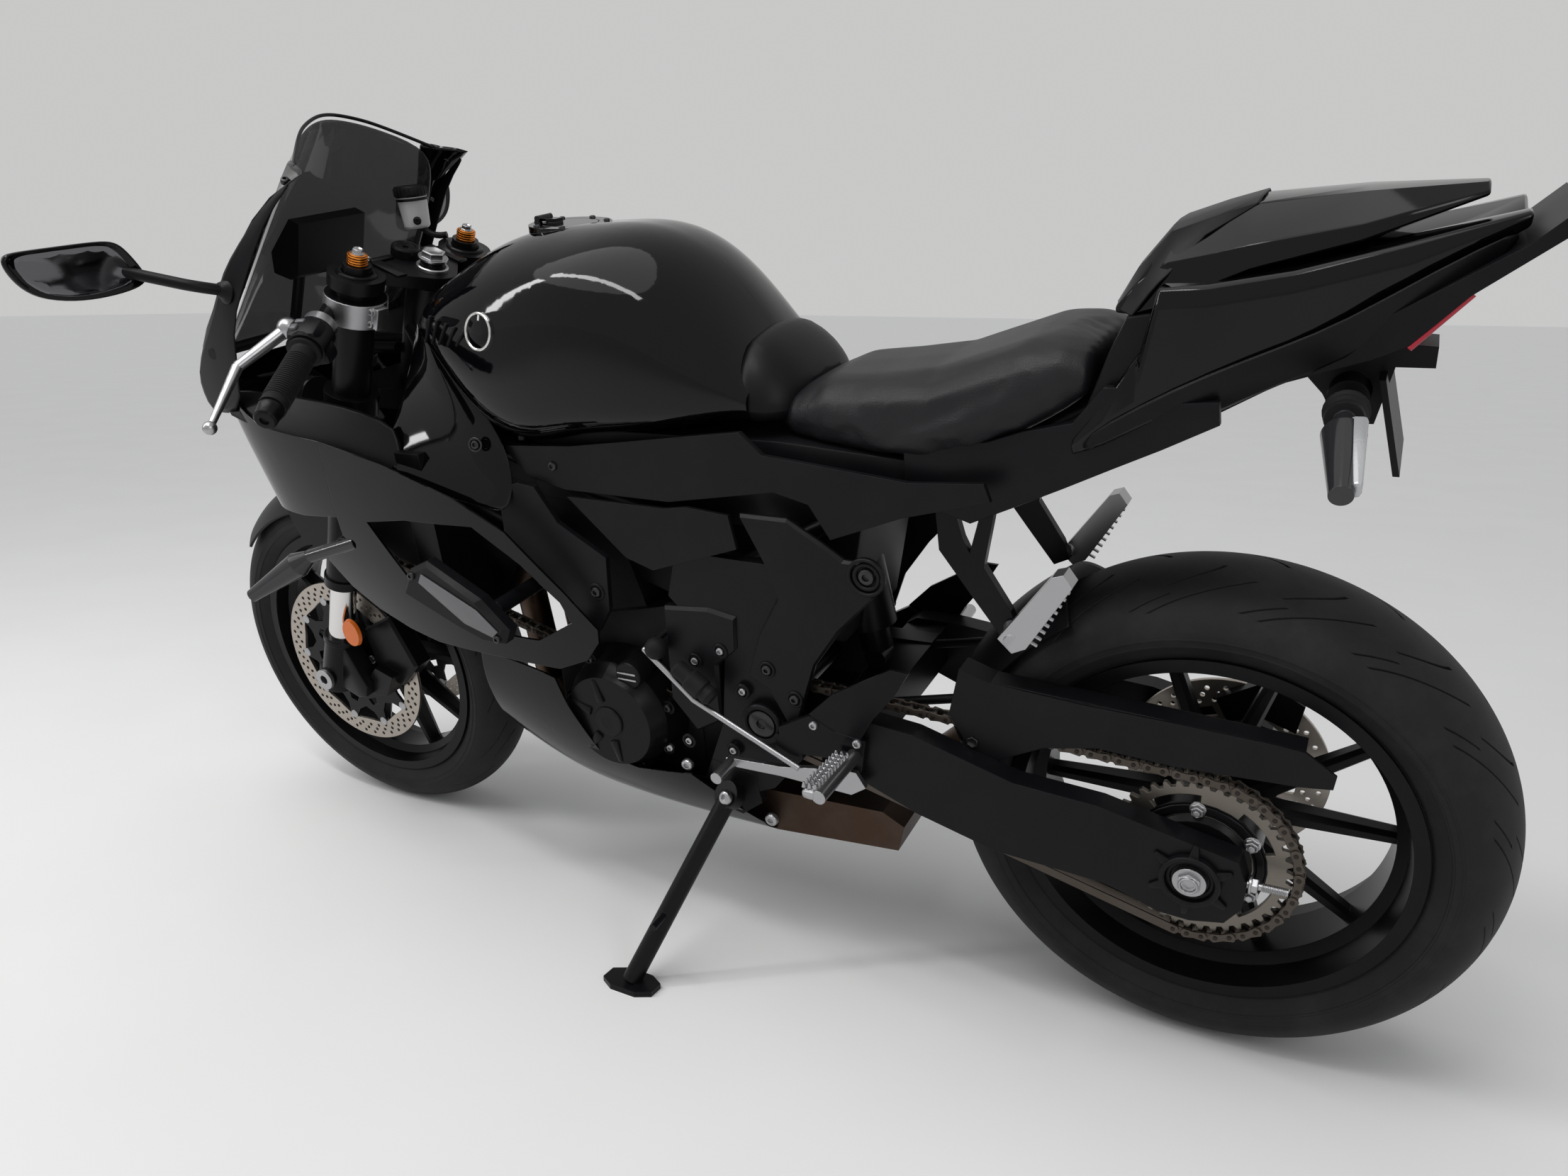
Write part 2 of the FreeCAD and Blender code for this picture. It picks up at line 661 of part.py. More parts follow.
def fork_lower(side):
    """The chrome inner tube in its casting, with the axle clamp and caliper lugs."""
    y = side * FORK_HALF
    tube_top = FORK_OUTER_BOTTOM - TOUCH_GAP
    tube = rod(V(0, y, FORK_INNER_BOTTOM), V(0, y, tube_top), FORK_INNER_RADIUS)
    casting = cone(V(0, y, CASTING_BOTTOM), V(0, y, CASTING_TOP), AXLE_CLAMP_RADIUS, CASTING_RADIUS)
    half = CASTING_RADIUS * 0.62
    lug_forward = -CASTING_RADIUS / 2
    lug = prism(
        [
            V(lug_forward, y - half, CASTING_BOTTOM / 3),
            V(lug_forward - CALIPER_LUG_LENGTH, y - half, CASTING_BOTTOM / 3),
            V(lug_forward - CALIPER_LUG_LENGTH, y - half, CASTING_RADIUS),
            V(lug_forward, y - half, CASTING_TOP),
        ],
        V(0, half * 2, 0),
    )
    bore = rod(V(0, y - FORK_HALF, 0), V(0, y + FORK_HALF, 0), AXLE_RADIUS + TOUCH_GAP)
    return fused([tube, casting, lug]).cut(bore)


def clamp_plate(bottom, thickness):
    """A triple clamp: a web between two collars round the fork tubes."""
    outline = []
    for across, ahead in CLAMP_WEB_SHARES:
        forward = ahead * CLAMP_COLLAR_RADIUS - (FORK_OFFSET if ahead < 0 else 0)
        outline.append(V(forward, across * FORK_HALF, bottom))
    pieces = [prism(outline, V(0, 0, thickness))]
    for side in SIDES:
        start = V(0, side * FORK_HALF, bottom)
        pieces.append(rod(start, start + V(0, 0, thickness), CLAMP_COLLAR_RADIUS))
    steering = V(-FORK_OFFSET, 0, bottom)
    pieces.append(rod(steering, steering + V(0, 0, thickness), HEAD_TUBE_RADIUS))
    body = fused(pieces)
    for side in SIDES:
        y = side * FORK_HALF
        start = V(0, y, bottom - CUT_OVERRUN)
        body = body.cut(rod(start, V(0, y, bottom + thickness + CUT_OVERRUN), FORK_TUBE_RADIUS + TOUCH_GAP))
    return body


def triple_clamps():
    top_face = TOP_CLAMP_BOTTOM + TOP_CLAMP_THICKNESS
    lower = clamp_plate(LOWER_CLAMP_BOTTOM, LOWER_CLAMP_THICKNESS)
    upper = clamp_plate(TOP_CLAMP_BOTTOM, TOP_CLAMP_THICKNESS)
    stem = rod(V(-FORK_OFFSET, 0, LOWER_CLAMP_BOTTOM), V(-FORK_OFFSET, 0, top_face), STEM_RADIUS)
    nut = rod(V(-FORK_OFFSET, 0, top_face), V(-FORK_OFFSET, 0, top_face + STEM_NUT_HEIGHT), STEM_NUT_RADIUS)
    bore_bottom = V(-FORK_OFFSET, 0, LOWER_CLAMP_BOTTOM - CUT_OVERRUN)
    bore_top = V(-FORK_OFFSET, 0, top_face + STEM_NUT_HEIGHT + CUT_OVERRUN)
    bore = rod(bore_bottom, bore_top, STEM_BORE_RADIUS)
    return fused([lower, upper, stem, nut]).cut(bore)


# Handlebars, grips, levers and reservoir. Places are on the fork: forward of the
# tubes' line, to the side, and up from the axle.
CLIP_ON_BOTTOM = 650.0
CLIP_ON_HEIGHT = 34.0
CLIP_ON_RADIUS = 40.0
BAR_RADIUS = 11.0
GRIP_RADIUS = 16.5
GRIP_LENGTH = 118.0
BAR_END_RADIUS = 14.0
BAR_END_LENGTH = 26.0
BAR_ROOT_SHARE = (0.020, 0.125)
BAR_SWEEP_SHARE = (-0.349, 0.855, -0.380)
SWITCH_LENGTH = 42.0
SWITCH_RADIUS = 25.0
LEVER_WIDTH = 9.0
LEVER_PIVOT_SHARE = (0.022, 0.200, 0.646)
LEVER_BEND_SHARE = (0.034, 0.270, 0.603)
LEVER_BALL_SHARE = (0.002, 0.340, 0.550)
LEVER_BALL_RADIUS = 9.0


def bar_root(side):
    return V(BAR_ROOT_SHARE[0] * SPAN, side * BAR_ROOT_SHARE[1] * BREADTH, CLIP_ON_BOTTOM + CLIP_ON_HEIGHT / 2)


def bar_direction(side):
    sweep = V(BAR_SWEEP_SHARE[0], side * BAR_SWEEP_SHARE[1], BAR_SWEEP_SHARE[2])
    return FORK_PLACE.Rotation.inverted().multVec(sweep).normalize()


def bar_length():
    """From the clamp out to the half width of the handlebars."""
    across = HANDLEBAR_WIDTH / 2 - BAR_ROOT_SHARE[1] * BREADTH
    return across / abs(bar_direction(LEFT).y)


def along_bar(side, distance):
    return bar_root(side) + bar_direction(side) * distance


def clip_on(side):
    y = side * FORK_HALF
    bottom = V(0, y, CLIP_ON_BOTTOM)
    collar = rod(bottom, bottom + V(0, 0, CLIP_ON_HEIGHT), CLIP_ON_RADIUS)
    grip_end = bar_length() - BAR_END_LENGTH - TOUCH_GAP
    bar = rod(bar_root(side), along_bar(side, grip_end), BAR_RADIUS)
    switch_start = grip_end - GRIP_LENGTH - TOUCH_GAP - SWITCH_LENGTH
    switch = rod(along_bar(side, switch_start), along_bar(side, switch_start + SWITCH_LENGTH), SWITCH_RADIUS)
    hole_start = V(0, y, CLIP_ON_BOTTOM - CUT_OVERRUN)
    hole_end = hole_start + V(0, 0, CLIP_ON_HEIGHT + CUT_OVERRUN * 2)
    hole = rod(hole_start, hole_end, FORK_TUBE_RADIUS + TOUCH_GAP)
    return fused([collar, bar, switch]).cut(hole)


def grip(side):
    outer_end = bar_length() - BAR_END_LENGTH
    start, end = along_bar(side, outer_end - GRIP_LENGTH), along_bar(side, outer_end)
    tip = along_bar(side, bar_length())
    sleeve = fused([rod(start, end, GRIP_RADIUS), rod(end, tip, BAR_END_RADIUS)])
    bore_end = along_bar(side, outer_end - TOUCH_GAP)
    return sleeve.cut(rod(along_bar(side, 0), bore_end, BAR_RADIUS + TOUCH_GAP))


def lever(side):
    """A lever with its ball end, and the perch that clamps it to the bar."""
    switch_inner = bar_length() - BAR_END_LENGTH - GRIP_LENGTH - SWITCH_LENGTH
    perch_centre = along_bar(side, switch_inner - LEVER_WIDTH)
    pivot, bend, ball = [
        V(x * SPAN, side * y * BREADTH, z * RISE)
        for x, y, z in (LEVER_PIVOT_SHARE, LEVER_BEND_SHARE, LEVER_BALL_SHARE)
    ]
    blade = fused([cone(pivot, bend, LEVER_WIDTH, LEVER_WIDTH * 0.8), cone(bend, ball, LEVER_WIDTH * 0.8, LEVER_WIDTH / 2)])
    knob = Part.makeSphere(LEVER_BALL_RADIUS, ball)
    half = LEVER_WIDTH
    axis = bar_direction(side)
    perch = rod(perch_centre - axis * half, perch_centre + axis * half, BAR_RADIUS * 2)
    arm = rod(perch_centre, pivot, LEVER_WIDTH)
    head = Part.makeSphere(LEVER_WIDTH * 1.6, pivot)
    bore = rod(along_bar(side, 0), along_bar(side, bar_length()), BAR_RADIUS + TOUCH_GAP)
    return fused([blade, knob, perch, arm, head]).cut(bore)


RESERVOIR_SHARE = (1.200, -0.100, 0.994)
RESERVOIR_RADIUS = 23.0
RESERVOIR_HEIGHT = 44.0
RESERVOIR_CAP_RADIUS = 25.0
RESERVOIR_CAP_HEIGHT = 16.0
RESERVOIR_STAY_RADIUS = 5.0
RESERVOIR_FOOT_HEIGHT = 6.3
RESERVOIR_FOOT_AHEAD = 35.0
RESERVOIR_BASE_RADIUS = 20.0


def brake_reservoir():
    """The fluid cup with its cap, on a bent stay from the right-hand clamp."""
    base = grid(RESERVOIR_SHARE)
    top = base + V(0, 0, RESERVOIR_HEIGHT)
    cup = cone(base, top, RESERVOIR_BASE_RADIUS, RESERVOIR_RADIUS)
    cap = rod(top, top + V(0, 0, RESERVOIR_CAP_HEIGHT), RESERVOIR_CAP_RADIUS)
    clamp_top = TOP_CLAMP_BOTTOM + TOP_CLAMP_THICKNESS
    foot = fork_point(RESERVOIR_FOOT_AHEAD, -FORK_HALF, clamp_top + RESERVOIR_FOOT_HEIGHT)
    corner = V(base.x - RESERVOIR_RADIUS / 2, base.y, base.z - RESERVOIR_STAY_RADIUS)
    stay = run([foot, corner, base + V(0, 0, RESERVOIR_STAY_RADIUS)], RESERVOIR_STAY_RADIUS)
    return fused([cup, cap, stay])


# Front mudguard, calipers and axle
FENDER_RADIUS = 314.0
FENDER_THICKNESS = 3.0
FENDER_HALF_WIDTH = 70.0
FENDER_START_ANGLE = -62.0
FENDER_SWEEP = 108.0
FENDER_DROP = 42.0
FENDER_WING_THICKNESS = 4.0
FENDER_WING_SHARES = [
    (-0.30, 0.94), (0.26, 0.96), (0.16, 0.70), (-0.10, 0.62), (-0.15, 0.49), (-0.245, 0.48), (-0.27, 0.60),
]
FENDER_BOSS_HEIGHT = 170.0
FENDER_BOSS_RADIUS = 8.0
CALIPER_WIDTH = 34.0
CALIPER_SHARES = [(-0.52, -0.04), (-0.84, -0.12), (-1.14, 0.18), (-0.88, 0.76), (-0.44, 0.54)]


def arch_face(radius, half_width, drop, thickness):
    """The cross section of a mudguard over the tyre's top, as a thin arch."""
    outer, inner = [], []
    for share in (-1, -0.72, -0.38, 0, 0.38, 0.72, 1):
        y = share * half_width
        height = radius - drop * share * share
        outer.append(V(0, y, height + thickness))
        inner.append(V(0, y * (1 - thickness / half_width), height))
    up, down = Part.BSplineCurve(), Part.BSplineCurve()
    up.interpolate(outer)
    down.interpolate(inner)
    sides = [Part.LineSegment(outer[i], inner[i]).toShape() for i in (0, -1)]
    return Part.Face(Part.Wire(Part.__sortEdges__([up.toShape(), down.toShape()] + sides)))


def arch_guard(radius, half_width, drop, thickness, start_angle, sweep, axle):
    face = arch_face(radius, half_width, drop, thickness)
    face.Placement = PLACE(V(0, 0, 0), ROTATION(Y_AXIS, start_angle))
    guard = face.revolve(V(0, 0, 0), Y_AXIS, sweep)
    guard.translate(axle)
    return guard


def front_fender():
    guard = arch_guard(
        FENDER_RADIUS, FENDER_HALF_WIDTH, FENDER_DROP, FENDER_THICKNESS,
        FENDER_START_ANGLE, FENDER_SWEEP, FRONT_AXLE,
    )
    tubes = [on_fork(outer_tube(s)) for s in SIDES] + [on_fork(fork_lower(s)) for s in SIDES]
    wings = []
    for side in SIDES:
        y_inner = side * (FENDER_HALF_WIDTH - FENDER_WING_THICKNESS)
        points = []
        for x, z in FENDER_WING_SHARES:
            points.append(FRONT_AXLE + V(x * FENDER_RADIUS, y_inner, z * FENDER_RADIUS))
        wings.append(prism(points, V(0, side * FENDER_WING_THICKNESS, 0)))
        boss_root = fork_point(0, y_inner, FENDER_BOSS_HEIGHT)
        wings.append(rod(boss_root, fork_point(0, side * FORK_HALF, FENDER_BOSS_HEIGHT), FENDER_BOSS_RADIUS))
    body = fused([guard] + wings)
    return body


CALIPER_FOOT_SHARES = [(-0.50, -0.22), (-0.70, -0.20), (-0.86, 0.06), (-0.62, 0.14), (-0.50, 0.02)]
CALIPER_FOOT_INNER = 77.2
CALIPER_FOOT_OUTER = 108.0


def front_caliper(side):
    """A radial caliper astride the disc, bolted to the casting's lugs."""
    y = side * FRONT_DISC_SIDE
    points = [V(x * FRONT_DISC_RADIUS, y - CALIPER_WIDTH / 2, z * FRONT_DISC_RADIUS) for x, z in CALIPER_SHARES]
    body = bevelled_plate(points, V(0, CALIPER_WIDTH, 0), BRAKE_DISC_THICKNESS)
    foot_depth = V(0, side * (CALIPER_FOOT_OUTER - CALIPER_FOOT_INNER), 0)
    foot_y = side * CALIPER_FOOT_INNER
    foot = prism(
        [V(x * FRONT_DISC_RADIUS, foot_y, z * FRONT_DISC_RADIUS) for x, z in CALIPER_FOOT_SHARES], foot_depth,
    )
    body = fused([body, foot])
    body.translate(FRONT_AXLE)
    slot_radius = FRONT_DISC_RADIUS + TOUCH_GAP * 4
    slot = ring(slot_radius, AXLE_RADIUS, BRAKE_DISC_THICKNESS + TOUCH_GAP * 8, y)
    slot.translate(FRONT_AXLE)
    return body.cut(slot)


FRONT_AXLE_HALF = 133.0
AXLE_HEAD_RADIUS = 18.0
AXLE_HEAD_HEIGHT = 7.0


def hollow_axle(axle, half_length, head_side):
    """A through axle with a flanged head on one side, bored from end to end."""
    end = V(0, half_length, 0)
    shaft = rod(axle - end, axle + end, AXLE_RADIUS)
    heads = []
    for side in (LEFT, RIGHT):
        face = axle + V(0, side * head_side, 0)
        heads.append(rod(face, face + V(0, side * AXLE_HEAD_HEIGHT, 0), AXLE_HEAD_RADIUS))
    overrun = V(0, half_length + AXLE_HEAD_HEIGHT + CUT_OVERRUN, 0)
    return fused([shaft] + heads).cut(rod(axle - overrun, axle + overrun, AXLE_BORE_RADIUS))


def make_steering():
    made["fork_outer_tubes"] = Part.makeCompound([on_fork(outer_tube(s)) for s in SIDES])
    made["fork_lowers"] = Part.makeCompound([on_fork(fork_lower(s)) for s in SIDES])
    made["triple_clamps"] = on_fork(triple_clamps())
    made["handlebars"] = Part.makeCompound([on_fork(clip_on(s)) for s in SIDES])
    made["grips"] = Part.makeCompound([on_fork(grip(s)) for s in SIDES])
    levers = [on_fork(lever(s)) for s in SIDES]
    made["levers"] = Part.makeCompound([one.cut(made["handlebars"]) for one in levers])
    made["brake_reservoir"] = brake_reservoir()
    tubes = Part.makeCompound([made["fork_outer_tubes"], made["fork_lowers"]])
    calipers = Part.makeCompound([front_caliper(s) for s in SIDES])
    made["front_calipers"] = calipers.cut(made["fork_lowers"])
    made["front_fender"] = front_fender().cut(tubes)
    clamp_face = FORK_HALF + AXLE_CLAMP_RADIUS + TOUCH_GAP
    made["front_axle"] = hollow_axle(FRONT_AXLE, clamp_face, clamp_face)


# Frame
HEAD_TUBE_BOTTOM = LOWER_CLAMP_BOTTOM + LOWER_CLAMP_THICKNESS + HEAD_TUBE_GAP
HEAD_TUBE_TOP = TOP_CLAMP_BOTTOM - HEAD_TUBE_GAP
SPAR_RADIUS = 17.0
SPAR_SHARES = [(1.128, 0.022, 0.868), (0.985, 0.112, 0.760), (0.700, 0.118, 0.668), (0.548, 0.117, 0.592)]
BRACE_SHARES = [(1.142, 0.022, 0.800), (1.000, 0.108, 0.650), (0.850, 0.112, 0.600)]
BRACE_RADIUS = 12.0
SUBFRAME_SHARES = [(0.560, 0.114, 0.602), (0.400, 0.098, 0.690), (0.235, 0.090, 0.745), (-0.050, 0.055, 0.905)]
SUBFRAME_RADIUS = 12.0
SUBFRAME_TIE_SHARE = (0.235, 0.745)
SUBFRAME_TIE_RADIUS = 9.6
KNUCKLE_SHARE = (0.548, 0.592)
PIVOT_SHARE = (0.537, 0.396)
PIVOT_PLATE_INNER = 127.0
PIVOT_PLATE_OUTER = 141.0
PIVOT_PLATE_SHARES = [
    (0.640, 0.625), (0.505, 0.622), (0.480, 0.575), (0.515, 0.480), (0.479, 0.410), (0.484, 0.350),
    (0.530, 0.295), (0.600, 0.262), (0.640, 0.285), (0.600, 0.380), (0.585, 0.480), (0.660, 0.560),
]
PIVOT_BOLT_RADIUS = 12.0
PIVOT_NUT_RADIUS = 19.0
PIVOT_NUT_HEIGHT = 8.0
STAND_LUG_OUTER = 142.0
STAND_PIN_RADIUS = 6.0
STAND_PIN_ROOT = 30.0
STAND_PIN_END = 14.0
STAND_LUG_SHARES = [(0.625, 0.318), (0.560, 0.310), (0.552, 0.266), (0.585, 0.240), (0.635, 0.250)]


def pivot_point(y):
    return grid_flat(PIVOT_SHARE, y)


def head_tube():
    start = fork_point(-FORK_OFFSET, 0, HEAD_TUBE_BOTTOM)
    end = fork_point(-FORK_OFFSET, 0, HEAD_TUBE_TOP)
    return rod(start, end, HEAD_TUBE_RADIUS)


def head_bore():
    start = fork_point(-FORK_OFFSET, 0, HEAD_TUBE_BOTTOM - CUT_OVERRUN)
    end = fork_point(-FORK_OFFSET, 0, HEAD_TUBE_TOP + CUT_OVERRUN)
    return rod(start, end, STEM_RADIUS + HEAD_TUBE_PIN_GAP)


def frame():
    """Head tube, two bent spars, lower braces, pivot plates, subframe and stand lug."""
    spar = run([grid(s) for s in SPAR_SHARES], SPAR_RADIUS)
    brace = run([grid(s) for s in BRACE_SHARES], BRACE_RADIUS)
    rear = run([grid(s) for s in SUBFRAME_SHARES], SUBFRAME_RADIUS)
    plate = side_plate(PIVOT_PLATE_SHARES, PIVOT_PLATE_INNER, PIVOT_PLATE_OUTER)
    knuckle_end = PIVOT_PLATE_INNER + CUT_OVERRUN
    knuckle = rod(grid(SPAR_SHARES[-1]), grid_flat(KNUCKLE_SHARE, knuckle_end), SPAR_RADIUS)
    half = fused([spar, brace, rear, plate, knuckle])
    bolt = rod(pivot_point(-PIVOT_PLATE_OUTER), pivot_point(PIVOT_PLATE_OUTER), PIVOT_BOLT_RADIUS)
    nuts = []
    for side in SIDES:
        face = pivot_point(side * PIVOT_PLATE_OUTER)
        nuts.append(rod(face, face + V(0, side * PIVOT_NUT_HEIGHT, 0), PIVOT_NUT_RADIUS))
    lug = side_plate(STAND_LUG_SHARES, PIVOT_PLATE_INNER, STAND_LUG_OUTER)
    pin_root = stand_pivot() - stand_axis() * STAND_PIN_ROOT
    pin = rod(pin_root, stand_pivot() + stand_axis() * STAND_PIN_END, STAND_PIN_RADIUS)
    tie_y = SUBFRAME_SHARES[2][1] * BREADTH
    tie_ends = [grid_flat(SUBFRAME_TIE_SHARE, side * tie_y) for side in SIDES]
    tie = rod(tie_ends[0], tie_ends[1], SUBFRAME_TIE_RADIUS)
    shapes = [head_tube(), half, mirrored(half), bolt, lug, pin, tie] + nuts
    return fused(shapes).cut(head_bore())


# Engine: a plain mass at its real place, with its side covers
CRANKCASE_HALF_WIDTH = 100.0
CRANKCASE_SHARES = [
    (0.665, 0.262), (0.860, 0.262), (0.905, 0.330), (0.900, 0.440), (0.860, 0.480),
    (0.700, 0.520), (0.660, 0.470),
]
CYLINDER_HALF_WIDTH = 96.0
CYLINDER_SHARES = [(0.720, 0.470), (0.860, 0.440), (0.935, 0.640), (0.905, 0.690), (0.800, 0.700), (0.770, 0.650)]
GEARBOX_HALF_WIDTH = 98.0
GEARBOX_SHARES = [(0.700, 0.262), (0.700, 0.520), (0.590, 0.500), (0.575, 0.440), (0.590, 0.340), (0.640, 0.280)]
GENERATOR_SHARE = (0.775, 0.360)
GENERATOR_RADIUS = 92.0
GENERATOR_OUTER = 163.0
GENERATOR_PLUG_RADIUS = 21.0
CLUTCH_SHARE = (0.703, 0.385)
CLUTCH_RADIUS = 92.0
CLUTCH_OUTER = 158.0
COVER_SHOULDER_SHARE = 0.62
COVER_FACE_SHARE = 0.74
OIL_FILLER_SHARE = (0.736, 0.435)
OIL_FILLER_RADIUS = 19.0
OIL_FILLER_OUTER = 150.0
SPROCKET_COVER_INNER = 129.0
SPROCKET_COVER_OUTER = 146.0
SPROCKET_COVER_SHARES = [
    (0.668, 0.545), (0.600, 0.552), (0.560, 0.545), (0.563, 0.500), (0.595, 0.470),
    (0.600, 0.385), (0.640, 0.362), (0.676, 0.405),
]
OUTPUT_SHAFT_RADIUS = 12.0


def dished_cover(centre_share, side, inner_y, outer_y, radius):
    """A round engine cover with a sloping shoulder and a flat face."""
    depth = outer_y - inner_y
    profile = [
        (0, 0), (0, radius), (depth * COVER_SHOULDER_SHARE, radius - depth / 6),
        (depth, radius * COVER_FACE_SHARE), (depth, 0),
    ]
    centre = grid_flat(centre_share, side * inner_y)
    return revolve_profile([(side * y, r) for y, r in profile], centre)


def engine_block():
    crankcase = side_plate(CRANKCASE_SHARES, -CRANKCASE_HALF_WIDTH, CRANKCASE_HALF_WIDTH)
    cylinders = side_plate(CYLINDER_SHARES, -CYLINDER_HALF_WIDTH, CYLINDER_HALF_WIDTH)
    gearbox = side_plate(GEARBOX_SHARES, -GEARBOX_HALF_WIDTH, GEARBOX_HALF_WIDTH)
    shaft_end = grid_flat(DRIVE_SPROCKET_SHARE, CHAIN_SIDE + CHAIN_ROLLER_WIDTH)
    shaft = rod(grid_flat(DRIVE_SPROCKET_SHARE, 0), shaft_end, OUTPUT_SHAFT_RADIUS)
    teeth_radius = FRONT_PITCH_RADIUS - CHAIN_ROLLER_RADIUS - TOUCH_GAP * 2
    sprocket_start = grid_flat(DRIVE_SPROCKET_SHARE, CHAIN_SIDE - SPROCKET_THICKNESS / 2)
    sprocket = rod(sprocket_start, sprocket_start + V(0, SPROCKET_THICKNESS, 0), teeth_radius)
    return fused([crankcase, cylinders, gearbox, shaft, sprocket])


def engine_covers():
    """Generator cover on the left, clutch cover on the right, sprocket cover behind."""
    generator = dished_cover(GENERATOR_SHARE, LEFT, CRANKCASE_HALF_WIDTH, GENERATOR_OUTER, GENERATOR_RADIUS)
    face = grid_flat(GENERATOR_SHARE, GENERATOR_OUTER)
    plug = rod(face, face + V(0, TOUCH_GAP * 10, 0), GENERATOR_PLUG_RADIUS)
    filler = rod(grid_flat(OIL_FILLER_SHARE, CRANKCASE_HALF_WIDTH), grid_flat(OIL_FILLER_SHARE, OIL_FILLER_OUTER), OIL_FILLER_RADIUS)
    clutch = dished_cover(CLUTCH_SHARE, RIGHT, CRANKCASE_HALF_WIDTH, CLUTCH_OUTER, CLUTCH_RADIUS)
    points = [grid_flat(s, SPROCKET_COVER_INNER) for s in SPROCKET_COVER_SHARES]
    depth = V(0, SPROCKET_COVER_OUTER - SPROCKET_COVER_INNER, 0)
    sprocket = bevelled_plate(points, depth, OIL_FILLER_RADIUS / 4)
    return fused([generator, plug, filler]), clutch, sprocket


RADIATOR_SHARES = [(1.020, 0.735), (1.052, 0.735), (1.052, 0.455), (1.020, 0.455)]
RADIATOR_HALF_WIDTH = 150.0
RADIATOR_TANK_DEPTH = 26.0


def radiator():
    """A flat core between two deeper end tanks."""
    core = side_plate(RADIATOR_SHARES, -RADIATOR_HALF_WIDTH, RADIATOR_HALF_WIDTH)
    xs = [x * SPAN for x, z in RADIATOR_SHARES]
    zs = [z * RISE for x, z in RADIATOR_SHARES]
    tanks = []
    for side in SIDES:
        y = side * RADIATOR_HALF_WIDTH
        corner = V(min(xs) - RADIATOR_TANK_DEPTH / 4, min(y, y + side * RADIATOR_TANK_DEPTH), min(zs))
        size_x = max(xs) - min(xs) + RADIATOR_TANK_DEPTH / 2
        tanks.append(Part.makeBox(size_x, RADIATOR_TANK_DEPTH, max(zs) - min(zs), corner))
    return fused([core] + tanks)


# Exhaust: header, box below the gearbox and a short outlet on the right
HEADER_RADIUS = 22.0
HEADER_SIDE_SHARE = 0.045
HEADER_SHARES = [(0.925, 0.590), (0.985, 0.500), (0.975, 0.330), (0.880, 0.232), (0.690, 0.232)]
BOX_HALF_WIDTH_SHARE = 0.098
BOX_SHARES = [(0.700, 0.200), (0.690, 0.250), (0.560, 0.256), (0.395, 0.262), (0.365, 0.245), (0.375, 0.205), (0.560, 0.190)]
OUTLET_SHARES = [(0.400, -0.070, 0.226), (0.365, -0.140, 0.238), (0.280, -0.150, 0.256)]
OUTLET_RADIUS = 27.0
OUTLET_WALL = 2.0


def exhaust():
    headers = []
    for side in SIDES:
        headers.append(run([grid_flat(s, side * HEADER_SIDE_SHARE * BREADTH) for s in HEADER_SHARES], HEADER_RADIUS))
    half = BOX_HALF_WIDTH_SHARE * BREADTH
    box = side_plate(BOX_SHARES, -half, half)
    outlet = run([grid(s) for s in OUTLET_SHARES], OUTLET_RADIUS)
    first, last = grid(OUTLET_SHARES[-2]), grid(OUTLET_SHARES[-1])
    along = (last - first).normalize()
    bore = rod(first + along * OUTLET_RADIUS, last + along * CUT_OVERRUN, OUTLET_RADIUS - OUTLET_WALL)
    return fused(headers + [box, outlet]).cut(bore)


# Tank, its cap, and the seat
TANK_STATION_SHARES = [
    (1.012, [(0, 0.932), (0.060, 0.932), (0.112, 0.918), (0.126, 0.888), (0.106, 0.862), (0.058, 0.850), (0, 0.850)]),
    (0.960, [(0, 0.965), (0.066, 0.963), (0.128, 0.935), (0.150, 0.880), (0.134, 0.825), (0.074, 0.812), (0, 0.812)]),
    (0.885, [(0, 0.994), (0.072, 0.990), (0.140, 0.948), (0.166, 0.868), (0.150, 0.775), (0.080, 0.752), (0, 0.752)]),
    (0.780, [(0, 1.005), (0.076, 0.998), (0.147, 0.955), (0.170, 0.870), (0.152, 0.776), (0.080, 0.756), (0, 0.756)]),
    (0.680, [(0, 0.996), (0.073, 0.985), (0.138, 0.940), (0.160, 0.865), (0.142, 0.785), (0.075, 0.766), (0, 0.766)]),
    (0.600, [(0, 0.945), (0.062, 0.932), (0.115, 0.895), (0.138, 0.845), (0.130, 0.796), (0.070, 0.776), (0, 0.776)]),
    (0.528, [(0, 0.842), (0.050, 0.839), (0.095, 0.829), (0.118, 0.815), (0.116, 0.800), (0.060, 0.790), (0, 0.790)]),
]
CAP_CENTRE_SHARE = (0.836, 1.000)
CAP_SLOPE = 3.0
CAP_RADIUS = 36.0
CAP_RING_RADIUS = 54.0
CAP_RING_HEIGHT = 6.0
CAP_LID_THICKNESS = 9.0
CAP_RECESS_DEPTH = 14.0
CAP_GAP = 1.5
CAP_HINGE_AHEAD = 43.0
CAP_HINGE_HEIGHT = 11.0
CAP_BARREL_RADIUS = 4.0
CAP_BARREL_HALF = 8.0
CAP_EAR_WIDTH = 6.0


def cap_place():
    """The filler's place: Z up through the cap, its middle on the ring's top face."""
    return PLACE(grid_flat(CAP_CENTRE_SHARE, 0), ROTATION(Y_AXIS, -CAP_SLOPE))


def in_cap(shape):
    placed = shape.copy()
    placed.Placement = cap_place().multiply(placed.Placement)
    return placed


def cap_hinge():
    """The middle of the lid's hinge pin, on the ring ahead of the lid."""
    return cap_place().multVec(V(CAP_HINGE_AHEAD, 0, CAP_HINGE_HEIGHT))


def cap_barrel(from_side, to_side):
    """A round length of the lid's hinge, along Y on its line."""
    start = V(CAP_HINGE_AHEAD, from_side, CAP_HINGE_HEIGHT)
    return rod(start, V(CAP_HINGE_AHEAD, to_side, CAP_HINGE_HEIGHT), CAP_BARREL_RADIUS)


